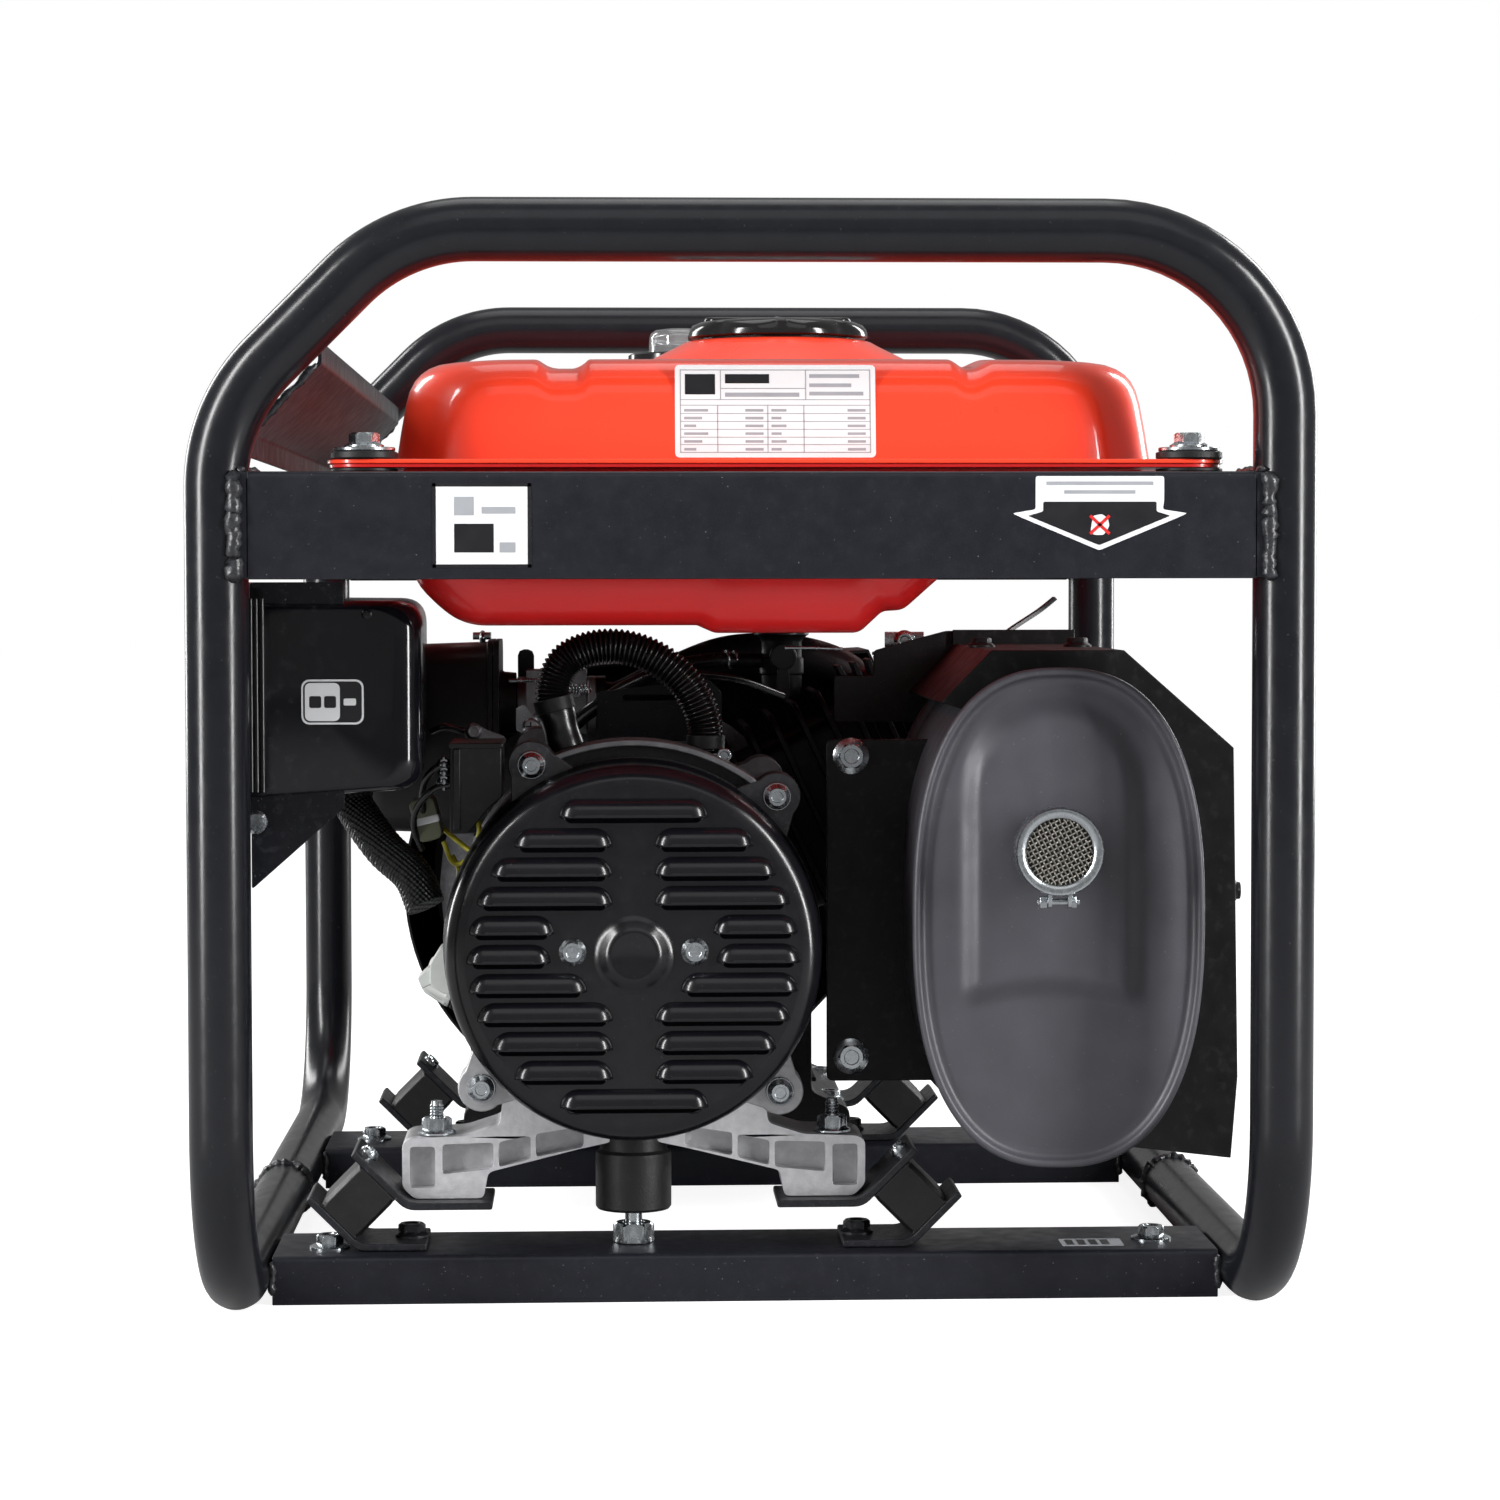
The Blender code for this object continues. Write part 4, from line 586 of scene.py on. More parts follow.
look("lamination_stack", (0.215, 0.215, 0.225), 0.42, metallic=0.9, mottle=0.12,
    bands=((AXIS_Y, 0.001, 0.00012),), worn=(0.35, 0.35, 0.36))
look("moulded_black", (0.006, 0.006, 0.0066), 0.38, mottle=0.1, grain=0.00006,
    grain_size=0.0005, worn=(0.04, 0.041, 0.043), gloss=0.32)
look("gloss_black", (0.007, 0.0072, 0.008), 0.14, mottle=0.1, grain=0.00001,
    spread=0.05, worn=(0.04, 0.04, 0.045))
look("moulded_grey", (0.5, 0.52, 0.5), 0.4, mottle=0.06, grain=0.00005,
    grain_size=0.0006, worn=(0.66, 0.68, 0.66))
look("moulded_red", (0.62, 0.018, 0.012), 0.3, mottle=0.05, grain=0.00003)
look("rubber_black", (0.0075, 0.0075, 0.008), 0.48, mottle=0.15, grain=0.0001,
    grain_size=0.0008, worn=(0.045, 0.045, 0.047), gloss=0.32)
look("hose_black", (0.0055, 0.0052, 0.0055), 0.24, mottle=0.12, grain=0.00003,
    spread=0.06)
look("braid_black", (0.01, 0.0105, 0.0115), 0.42, mottle=0.25, mottle_size=0.002,
    bands=(((1.0, 0.6, 0.9), 0.0017, 0.0003), ((1.0, -0.6, -0.9), 0.0017, 0.0003)), gloss=0.35)
look("filter_foam", (0.09, 0.09, 0.08), 0.9, mottle=0.3, mottle_size=0.002, grain=0.0008,
    grain_size=0.0016)
look("copper_wire", (0.55, 0.17, 0.06), 0.3, metallic=1.0, mottle=0.15,
    bands=(((0.4, 0.2, 1.0), 0.0012, 0.0002),))
look("label_white", (0.7, 0.71, 0.72), 0.33, mottle=0.02, mottle_size=0.03,
    grain=0.00001)
look("label_grey", (0.3, 0.31, 0.33), 0.4, mottle=0.06)
look("label_black", (0.008, 0.008, 0.01), 0.33, mottle=0.06)
look("label_red", (0.6, 0.02, 0.02), 0.35, mottle=0.05)
look("wire_yellow", (0.52, 0.47, 0.02), 0.38, mottle=0.1)
look("capacitor_olive", (0.1, 0.105, 0.062), 0.45, mottle=0.12)
look("clear_lens", (0.9, 0.92, 0.93), 0.06, mottle=0.01, spread=0.02, glass=0.9)
look("worn_black", (0.011, 0.0115, 0.014), 0.36, metallic=0.1, mottle=0.3,
    mottle_size=0.005, grain=0.00008, worn=(0.14, 0.145, 0.155), specks=0.15, gloss=0.35)
look("box_black", (0.004, 0.0042, 0.0058), 0.12, mottle=0.1, wave=0.00003,
    wave_size=0.012, spread=0.03, worn=(0.05, 0.052, 0.056), gloss=0.38)
look("panel_black", (0.007, 0.0071, 0.0078), 0.38, mottle=0.08, grain=0.00006,
    grain_size=0.0006, worn=(0.05, 0.05, 0.05))
look("zinc_cast", (0.34, 0.34, 0.35), 0.42, metallic=0.9, mottle=0.12, mottle_size=0.003,
    grain=0.0001, grain_size=0.0007, worn=(0.6, 0.6, 0.62))
look("arrestor_mesh", (0.2, 0.19, 0.17), 0.45, metallic=0.9, mottle=0.25,
    mottle_size=0.002)
# A dark backing behind the arrestor wires: painted shade for the inside of the outlet.
look("arrestor_backing_painted_shade", (0.03, 0.028, 0.026), 0.6, metallic=0.5, mottle=0.25, mottle_size=0.002)


def add(name, shape, looks, body="frame", stands_for=(), bevel=0.0, segments=2, crease=38.0,
        wall=0.0):
    """Makes one piece of the visual model, riding on its CAD body."""
    looks = [looks] if isinstance(looks, str) else looks
    mesh = bpy.data.meshes.new(name)
    mesh.from_pydata([tuple(vert) for vert in shape.verts], [], shape.faces)
    for entry in looks:
        mesh.materials.append(LOOKS[entry])
    mesh.polygons.foreach_set("material_index", shape.skins)
    bm = bmesh.new()
    bm.from_mesh(mesh)
    bmesh.ops.remove_doubles(bm, verts=bm.verts, dist=1e-6)
    bmesh.ops.recalc_face_normals(bm, faces=bm.faces)
    bm.to_mesh(mesh)
    bm.free()
    mesh.shade_smooth()
    mesh.set_sharp_from_angle(angle=math.radians(crease))
    obj = bpy.data.objects.new(name, mesh)
    bpy.context.scene.collection.objects.link(obj)
    if wall:
        thicken = obj.modifiers.new("wall", "SOLIDIFY")
        thicken.thickness = wall
        thicken.offset = 0.0
    if bevel:
        modifier = obj.modifiers.new("bevel", "BEVEL")
        modifier.width = bevel
        modifier.segments = segments
        modifier.limit_method = "ANGLE"
        modifier.angle_limit = math.radians(crease)
        modifier.harden_normals = True
    if body:
        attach(obj, body)
    if stands_for:
        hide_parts(*stands_for)
    return obj


def repaint(node, look_name):
    """Gives a carried-over CAD node its procedural material."""
    for material_slot in frame["nodes"][node].material_slots:
        material_slot.material = LOOKS[look_name]


# ---------------------------------------------------------------- tube frame
def hoops():
    for side, end in ((-1, "alternator"), (1, "starter")):
        y = side * HOOP_Y
        corners = [(LEG_X, 0.0, TUBE_R), (LEG_X, y, TUBE_R), (LEG_X, y, TOP_Z),
            (CHAMFER_X, y, TOP_Z), (-LEG_X, y, CHAMFER_Z), (-LEG_X, y, TUBE_R),
            (-LEG_X, 0.0, TUBE_R)]
        path = filleted(corners, [0.07, 0.072, 0.07, 0.07, 0.07], steps=16)
        add(f"hoop_tube_{end}_end", sweep(path, TUBE_R, 48), "tube_black",
            stands_for=[f"hoop_{end}_end"])
    for side, word in ((-1, "left"), (1, "right")):
        ring = [Vector((side * LEG_X + TUBE_R * math.cos(angle), 0.0, TUBE_R + TUBE_R
            * math.sin(angle))) for angle in (math.radians(-60 + 300 * k / 60) for k in range(61))]
        add(f"hoop_weld_{word}", bead(ring, 0.0019, 11 + side), "weld_black")


def upper_rails():
    for side, end in ((-1, "alternator"), (1, "starter")):
        face = side * RAIL_FACE_Y
        web = face - side * ANGLE_T
        heel = face - side * RAIL_FLANGE
        outline = rounded([(face, RAIL_Z0), (face, RAIL_Z1), (heel, RAIL_Z1),
            (heel, RAIL_Z1 - ANGLE_T), (web, RAIL_Z1 - ANGLE_T), (web, RAIL_Z0)],
            [0.0008, 0.003, 0.0008, 0.0008, 0.003, 0.0008])
        reach = LEG_X - TUBE_R
        angle = prism("x", outline, -reach, reach)
        tails = [block((sign * 0.1965, min(face, web), RAIL_Z0 + 0.0004), (sign * 0.2028,
            max(face, web), RAIL_Z1 - 0.0004)) for sign in (-1, 1)]
        add(f"rail_{end}_end", angle + together(tails), "rail_black",
            stands_for=[f"upper_rail_{end}_end"], bevel=0.0003)
        welds = []
        for sign in (-1, 1):
            x = sign * 0.2022
            line = straight((x, face + side * 0.0002, RAIL_Z0 - 0.001), (x, face + side * 0.0002,
                RAIL_Z1), 26)
            welds.append(bead(line, 0.0029, 40 + side * 3 + sign))
            line = straight((x - sign * 0.0022, face, RAIL_Z1 + 0.0005), (x - sign * 0.006, heel,
                RAIL_Z1 + 0.0005), 18)
            welds.append(bead(line, 0.0016, 60 + side * 3 + sign))
        add(f"rail_welds_{end}_end", together(welds), "weld_black", crease=70)


def cross_rails():
    for end, (low, high) in CROSS_RAILS.items():
        t = ANGLE_T
        outline = rounded([(low, 0.0), (low, CROSS_Z), (high, CROSS_Z), (high, 0.0),
            (high - t, 0.0), (high - t, CROSS_Z - t), (low + t, CROSS_Z - t), (low + t, 0.0)],
            [0.0006, 0.0032, 0.0032, 0.0006, 0.0006, 0.0012, 0.0012, 0.0006])
        add(f"cross_channel_{end}_end", prism("x", outline, -CROSS_X, CROSS_X), "rail_black",
            stands_for=[f"cross_rail_{end}_end"], bevel=0.0003)
        welds = []
        for sign in (-1, 1):
            for y in (low, high):
                line = straight((sign * CROSS_X, y, 0.004), (sign * CROSS_X, y, 0.018), 10)
                welds.append(bead(line, 0.0016, round(1000 * y) + sign))
        add(f"cross_welds_{end}_end", together(welds), "weld_black", crease=70)
    bolts = [bolt((x, y, CROSS_Z), AXIS_Z, 0.01, 0.0058, flange=0.0085)
        for x, y in ((-0.1745, -0.195), (0.1725, -0.19), (-0.1745, 0.108), (0.174, 0.108))]
    add("cross_rail_bolts", together(bolts), "zinc_plate")
    card = prism("z", rectangle((0.133, -0.206), (0.159, -0.19), 0.001), CROSS_Z, CROSS_Z + 0.0002)
    bars = [prism("z", rectangle((0.135 + 0.005 * k, -0.204), (0.1383 + 0.005 * k, -0.1925)),
        CROSS_Z + 0.0002, CROSS_Z + 0.0003).skin(1) for k in range(4)]
    add("cross_rail_sticker", card + together(bars), ["label_grey", "label_black"])


def inclined_panel():
    outline = [(-0.199, 0.348), (-0.199, 0.3575), (-0.171, 0.3855), (-0.171, 0.394),
        (-0.1695, 0.394), (-0.1695, 0.3849), (-0.1975, 0.3569), (-0.1975, 0.348)]
    reach = HOOP_Y - TUBE_R - 0.0006
    sheet = prism("y", rounded(outline, 0.001, 2), -reach, reach)
    add("inclined_sheet", sheet, "rail_black", stands_for=["inclined_panel"], bevel=0.0003)
    ends = []
    for sign in (-1, 1):
        y = sign * (reach - 0.0004)
        line = straight((-0.199, y, 0.356), (-0.1715, y, 0.385), 20)
        ends.append(bead(line, 0.0016, 90 + sign))
    add("inclined_sheet_welds", together(ends), "weld_black", crease=70)


# ---------------------------------------------------------------- fuel tank
def plan_ring(inset, corner):
    """A rounded rectangle, evenly counted, that starts at the middle of its low Y side."""
    x0, x1 = TANK_X[0] + inset, TANK_X[1] - inset
    y0, y1 = -TANK_Y + inset, TANK_Y - inset
    r = min(corner, (x1 - x0) * 0.45)
    nx, ny, corner_steps = 120, 56, 8
    points = []

    def run(a, b, count):
        points.extend((a[0] + (b[0] - a[0]) * k / count, a[1] + (b[1] - a[1]) * k / count)
            for k in range(count))

    def turn(cx, cy, first):
        points.extend((cx + r * math.cos(math.radians(first + 90 * k / corner_steps)),
            cy + r * math.sin(math.radians(first + 90 * k / corner_steps)))
            for k in range(corner_steps))

    middle = (x0 + x1) / 2
    run((middle, y0), (x1 - r, y0), nx // 2)
    turn(x1 - r, y0 + r, -90)
    run((x1, y0 + r), (x1, y1 - r), ny)
    turn(x1 - r, y1 - r, 0)
    run((x1 - r, y1), (x0 + r, y1), nx)
    turn(x0 + r, y1 - r, 90)
    run((x0, y1 - r), (x0, y0 + r), ny)
    turn(x0 + r, y0 + r, 180)
    run((x0 + r, y0), (middle, y0), nx // 2)
    return points


def ease(value, start, end):
    """Rises smoothly from 0 at start to 1 at end."""
    t = max(0.0, min(1.0, (value - start) / (end - start)))
    return t * t * (3 - 2 * t)


def tank_top_height(x, z, inset):
    """Crowns the pressing across its width and sinks its two lengthwise grooves."""
    top = ease(z, 0.366, 0.386)
    crown = 0.03 * (x - 0.02) ** 2
    left = ease(x, -0.0868, -0.0796) - ease(x, -0.069, -0.064)
    right = ease(x, 0.0818, 0.0886) - ease(x, 0.0905, 0.1)
    depth = 0.0038 * left + 0.0034 * right
    return z - top * (crown * (1 - 0.5 * ease(inset, 0.02, 0.06)) + depth)


def tank_upper():
    profile = [(0.0, SEAM_Z + 0.0008), (0.001, 0.352), (0.0022, 0.36), (0.0043, 0.3718),
        (0.0058, 0.3775), (0.0078, 0.3818), (0.0102, 0.3846), (0.0134, 0.3869), (0.017, 0.3884),
        (0.0215, 0.3892), (0.026, 0.3896)]
    inset = 0.0285
    while inset < 0.149:
        profile.append((inset, 0.3896 + 0.055 * (inset - 0.024)))
        inset += 0.0028
    rings = []
    for inset, z in profile:
        ring = plan_ring(inset, max(0.04 - inset * 0.6, 0.006))
        rings.append([Vector((x, y, tank_top_height(x, z, inset))) for x, y in ring])
    shell = skinned(rings, caps=False)
    last = len(shell.verts) - len(rings[-1])
    count = len(rings[-1])
    for k in range(count // 2 - 1):
        shell.faces.append((last + k, last + k + 1, last + count - 2 - k, last + count - 1 - k))

    def clear_of_neck(face):
        centre = sum((shell.verts[index] for index in face), Vector()) / len(face)
        return math.hypot(centre.x - CAP_X, centre.y - CAP_Y) > neck_hole

    neck_hole = 0.043
    shell = Shape(shell.verts, [face for face in shell.faces if clear_of_neck(face)])
    add("tank_top_pressing", shell, "tank_red", stands_for=["tank_upper_shell"], crease=60)
    boss = [(0.076, 0.3925), (0.07, 0.395), (0.065, 0.3976), (0.06, 0.4003), (0.0535, 0.4036),
        (0.047, 0.4068), (0.0448, 0.408), (0.0434, 0.4088), (0.0418, 0.4093), (0.033, NECK_Z),
        (0.031, NECK_Z - 0.0004), (NECK_BORE, NECK_Z - 0.0014), (NECK_BORE, 0.386),
        (0.0315, 0.386), (0.0315, 0.39), (0.076, 0.3905)]
    add("tank_filler_boss", lathe(boss, (CAP_X, CAP_Y, 0.0), AXIS_Z, 96, closed=True), "tank_red",
        crease=60)
    basket = [(0.0285, NECK_Z - 0.004), (0.029, NECK_Z - 0.003), (0.027, NECK_Z - 0.003),
        (0.0235, NECK_Z - 0.006), (0.0215, 0.37), (0.0, 0.37), (0.0, 0.369), (0.0225, 0.369),
        (0.0245, NECK_Z - 0.0065)]
    add("filler_strainer", lathe(basket, (CAP_X, CAP_Y, 0.0), AXIS_Z, 48), "moulded_grey",
        crease=45)
    outer = rectangle((FLANGE_X[0], -FLANGE_Y), (FLANGE_X[1], FLANGE_Y), 0.016, 8)
    inner = rectangle((TANK_X[0] + 0.002, -TANK_Y + 0.002), (TANK_X[1] - 0.002, TANK_Y - 0.002),
        0.036, 8)
    add("tank_seam_flange", prism("z", outer, SEAM_Z, SEAM_Z + 0.0016, [inner]), "tank_red",
        bevel=0.0004)


def tank_lower():
    section = rounded([(-0.14, SEAM_Z), (-0.1385, 0.302), (-0.123, 0.286), (-0.1125, 0.2812),
        (-0.02, 0.2812), (-0.014, 0.278), (0.0455, 0.278), (0.055, 0.2868), (0.0635, 0.2873),
        (0.08, 0.302), (0.115, 0.329), (0.156, 0.336), (0.162, SEAM_Z)], [0.0, 0.016, 0.012, 0.006,
        0.002, 0.002, 0.003, 0.002, 0.003, 0.008, 0.012, 0.004, 0.0], 6)
    end = TANK_Y - 0.004
    round_r = 0.02
    centre_x = 0.01
    rings = []
    for sign in (-1, 1):
        for k in (range(12, -1, -1) if sign < 0 else range(13)):
            angle = math.pi / 2 * k / 12
            inset = round_r * (1 - math.cos(angle))
            y = sign * (end - round_r + round_r * math.sin(angle))
            ring = []
            for x, z in section:
                depth = SEAM_Z - z
                draw = inset * min(1.0, depth / 0.02)
                ring.append(Vector((centre_x + (x - centre_x) * (1 - draw / 0.15), y,
                    SEAM_Z - depth * (1 - inset / 0.066))))
            rings.append(ring)
    # The lower pressing takes the darker red: painted shade under the seam.
    add("tank_bottom_pressing", skinned(rings), "tank_red_low", stands_for=["tank_lower_shell"],
        crease=50)
    outer = rectangle((FLANGE_X[0] + 0.001, -FLANGE_Y + 0.001), (FLANGE_X[1] - 0.001,
        FLANGE_Y - 0.001), 0.015, 8)
    inner = rectangle((-0.138, -end + 0.002), (0.16, end - 0.002), 0.004)
    # The flange's lower half takes the darker red: painted shade on its underside.
    add("tank_seam_flange_low", prism("z", outer, SEAM_Z - 0.0016, SEAM_Z - 0.0001, [inner]),
        "tank_red_low", bevel=0.0004)


def tank_bolts():
    bushes, washers = [], []
    for x in (-0.153, 0.174):
        for y in (-0.2745, 0.2745):
            bushes.append(lathe([(0.0, RAIL_Z1), (0.0125, RAIL_Z1), (0.0132, RAIL_Z1 + 0.0006),
                (0.0132, SEAM_Z - 0.002), (0.0, SEAM_Z - 0.002)], (x, y, 0.0), sides=40))
            bushes.append(lathe([(0.0, SEAM_Z + 0.0017), (0.0125, SEAM_Z + 0.0017),
                (0.0132, SEAM_Z + 0.0023), (0.0132, SEAM_Z + 0.0044), (0.012, SEAM_Z + 0.005),
                (0.0, SEAM_Z + 0.005)], (x, y, 0.0), sides=40))
            washers.append(bolt((x, y, SEAM_Z + 0.005), AXIS_Z, 0.0105, 0.0058, flange=0.0078,
                washer=0.0122))
    add("tank_bushes", together(bushes), "rubber_black")
    add("tank_bolts", together(washers), "zinc_plate")


def fuel_cap():
    scallop = lobed(8, 0.045)
    profile = [(0.0, 0.4188), (0.018, 0.419), (0.03, 0.4187), (0.0362, 0.418), (0.0395, 0.4167),
        (0.0414, 0.4148, scallop), (0.0421, 0.413, scallop), (0.0422, 0.4112, scallop),
        (0.0415, 0.4107, scallop), (0.0265, 0.4107), (0.0265, 0.397), (0.024, 0.397),
        (0.024, 0.415), (0.0, 0.415)]
    place = (CAP_X, CAP_Y, 0.0)
    grip = prism("z", centred((CAP_X, CAP_Y), 0.034, 0.0062, 0.006, 8), 0.416, 0.4207)
    dimple = lathe([(0.0, 0.4212), (0.0016, 0.4211), (0.002, 0.4206), (0.0, 0.4206)], place,
        sides=24)
    add("fuel_cap_disc", lathe(profile, place, sides=160), "gloss_black", "fuel_cap",
        stands_for=["fuel_cap"], crease=50)
    add("fuel_cap_grip", grip, "gloss_black", "fuel_cap", bevel=0.0016, segments=4)
    add("fuel_cap_dimple", dimple, "zinc_plate", "fuel_cap")
    repaint("fuel_cap_gasket", "rubber_black")


def fuel_gauge():
    place = (GAUGE_X, GAUGE_Y, 0.0)
    z = GAUGE_Z
    cup = [(0.0, z + 0.004), (0.0222, z + 0.004), (0.0225, z + 0.0112), (0.0238, z + 0.0122),
        (0.0252, z + 0.0114), (0.0258, z - 0.0048), (0.0, z - 0.0048)]
    add("fuel_gauge_bezel", lathe(cup, place, sides=72), "gloss_black", stands_for=["fuel_gauge"],
        crease=50)
    dial = lathe([(0.0, z + 0.0048), (0.0215, z + 0.0048), (0.0215, z + 0.0041),
        (0.0, z + 0.0041)], place)
    marks = []
    for k in range(6):
        angle = math.radians(90 - 20 * k)
        turn = Matrix.Translation(place) @ Matrix.Rotation(angle, 4, "Z")
        mark = block((0.0165, -0.0005, z + 0.0048), (0.0205, 0.0005, z + 0.005))
        marks.append(mark.moved(turn).skin(1))
    add("fuel_gauge_dial", dial + together(marks), ["label_white", "label_black"])
    repaint("fuel_gauge_needle", "moulded_red")
    lens = [(0.0222, z + 0.0105), (0.0222, z + 0.0117), (0.016, z + 0.0122), (0.0152, z + 0.013),
        (0.015, z + 0.02), (0.0142, z + 0.0222), (0.012, z + 0.0238), (0.007, z + 0.0245),
        (0.0, z + 0.0246), (0.0, z + 0.023), (0.0065, z + 0.0229), (0.0112, z + 0.0222),
        (0.013, z + 0.0195), (0.0135, z + 0.0125), (0.015, z + 0.0105)]
    add("fuel_gauge_lens", lathe(lens, place, sides=72), "clear_lens", crease=60)


# ---------------------------------------------------------------- labels
def card_on_y(x0, z0, x1, z1, y, marks, radius=0.001, thick=0.0002):
    """A label facing -Y; marks are (x0, z0, x1, z1, skin) in shares of its width and height."""
    made = prism("y", rectangle((x0, z0), (x1, z1), radius), y - thick, y)
    width, height = x1 - x0, z1 - z0
    for a, b, c, d, skin in marks:
        low = (x0 + a * width, z0 + b * height)
        high = (x0 + c * width, z0 + d * height)
        made = made + prism("y", rectangle(low, high), y - thick - 0.00012, y - thick).skin(skin)
    return made


def frame_marks(edge_x, edge_z, thick_x, thick_z, skin):
    """Four bars that draw a border inside a label."""
    return [(edge_x, edge_z, 1 - edge_x, edge_z + thick_z, skin),
        (edge_x, 1 - edge_z - thick_z, 1 - edge_x, 1 - edge_z, skin),
        (edge_x, edge_z, edge_x + thick_x, 1 - edge_z, skin),
        (1 - edge_x - thick_x, edge_z, 1 - edge_x, 1 - edge_z, skin)]


def labels():
    """Plain panels; bars and boxes stand where the photograph has print."""
    line = 0.004
    marks = frame_marks(0.025, 0.05, line, 0.01, 1)
    for share in (0.62, 0.56, 0.47, 0.385, 0.3, 0.215, 0.135):
        marks.append((0.025, share, 0.975, share + 0.008, 1))
    for share in (0.21, 0.46, 0.64):
        marks.append((share, 0.05, share + line, 0.56, 1))
    marks += [(0.225, 0.62, 0.229, 0.95, 1), (0.65, 0.62, 0.654, 0.95, 1),
        (0.225, 0.74, 0.65, 0.75, 1)]
    for row in range(6):
        z = 0.075 + row * 0.084
        for low, high in ((0.045, 0.045 + 0.03 * (2 + row % 3)), (0.35, 0.44),
                (0.48, 0.48 + 0.025 * (2 + row % 2)), (0.86, 0.95)):
            marks.append((low, z, high, z + 0.028, 1))
    marks += [(0.05, 0.68, 0.2, 0.9, 2), (0.25, 0.8, 0.47, 0.9, 2), (0.25, 0.655, 0.62, 0.7, 1),
        (0.67, 0.86, 0.92, 0.9, 1), (0.67, 0.76, 0.88, 0.8, 1), (0.67, 0.67, 0.94, 0.71, 1)]
    front = -TANK_Y - 0.0002
    tilt = Matrix.Translation((0.0, front, 0.348)) @ Matrix.Rotation(math.radians(-8.8), 4, "X")
    plate = card_on_y(-0.03, 0.0008, 0.0507, 0.0386, 0.0006, marks, 0.0018).moved(tilt)
    add("rating_panel", plate, ["label_white", "label_grey", "label_black"])

    face = -RAIL_FACE_Y
    noise = card_on_y(-0.1253, 0.3045, -0.087, 0.3373, face, frame_marks(0.0, 0.0, 0.035, 0.04, 2)
        + [(0.22, 0.62, 0.42, 0.84, 1), (0.5, 0.64, 0.84, 0.72, 1), (0.22, 0.18, 0.62, 0.52, 2),
        (0.68, 0.18, 0.84, 0.3, 1)], 0.0016)
    add("rail_panel_left", noise, ["label_white", "label_grey", "label_black"])
    head = [(0.11, 0.3305), (0.11, 0.34), (0.1605, 0.34), (0.1605, 0.3305), (0.16, 0.327),
        (0.1697, 0.3255), (0.166, 0.3238), (0.135, 0.311), (0.1045, 0.3238), (0.1008, 0.3255),
        (0.11, 0.327)]
    arrow = prism("y", rounded(head, 0.001, 3), face - 0.0002, face)
    inner = [(0.113, 0.33), (0.1575, 0.33), (0.1575, 0.3262), (0.163, 0.3245), (0.135, 0.313),
        (0.107, 0.3245), (0.113, 0.3262)]
    arrow = arrow + prism("y", rounded(inner, 0.0006, 2), face - 0.0003, face - 0.0002).skin(2)
    badge = [(0.1315, 0.318), (0.133, 0.317), (0.1368, 0.317), (0.139, 0.3205), (0.1384, 0.3235),
        (0.136, 0.3252), (0.1325, 0.3245)]
    arrow = arrow + prism("y", rounded(badge, 0.0008, 2), face - 0.0004, face - 0.0003)
    for sign in (-1, 1):
        lean = Matrix.Rotation(sign * 0.75, 4, "Y")
        bar = block((-0.0052, -0.0001, -0.0006), (0.0052, 0.0, 0.0006))
        bar = bar.moved(Matrix.Translation((0.1352, face - 0.00045, 0.321)) @ lean)
        arrow = arrow + bar.skin(3)
    for z, reach in ((0.3372, 0.021), (0.3338, 0.014)):
        arrow = arrow + block((0.1352 - reach, face - 0.0003, z - 0.0007),
            (0.1352 + reach, face - 0.0002, z + 0.0007)).skin(1)
    add("rail_panel_arrow", arrow, ["label_white", "label_grey", "label_black", "label_red"])


# ---------------------------------------------------------------- alternator
def louvre_spans(row, dz):
    """Where a row's louvres begin and end, measured from the crankshaft."""
    if row in (0, LOUVRE_ROWS - 1):
        return [(-0.03, 0.03)]
    outer = math.sqrt(LOUVRE_R ** 2 - dz ** 2)
    inner = {4: 0.0328, 5: 0.0342, 6: 0.0195}.get(row, 0.009)
    return [(-outer, -inner), (inner, outer)]


def pressed_half(low, high, z, height, depth, up):
    """A quarter-capsule bulge whose straight edge lies on z; up is 1 above it or -1 below it."""
    ends = abs(height)
    rings = []
    for level in range(9):
        angle = math.pi / 2 * level / 8
        reach = math.sin(angle)
        ring = []
        for middle, first in ((low + ends, math.pi), (high - ends, math.pi / 2)):
            for step in range(9):
                turn = first - math.pi / 2 * step / 8
                ring.append(Vector((CRANK_X + middle + reach * ends * math.cos(turn),
                    COVER_FACE_Y - depth * math.cos(angle),
                    z + up * reach * ends * math.sin(turn))))
        rings.append(ring)
    made = skinned(rings, caps=False)
    count = len(rings[0])
    faces = [face for face in made.faces if not ({face[0] % count, face[1] % count} == {0,
        count - 1})]
    return Shape(made.verts, faces)


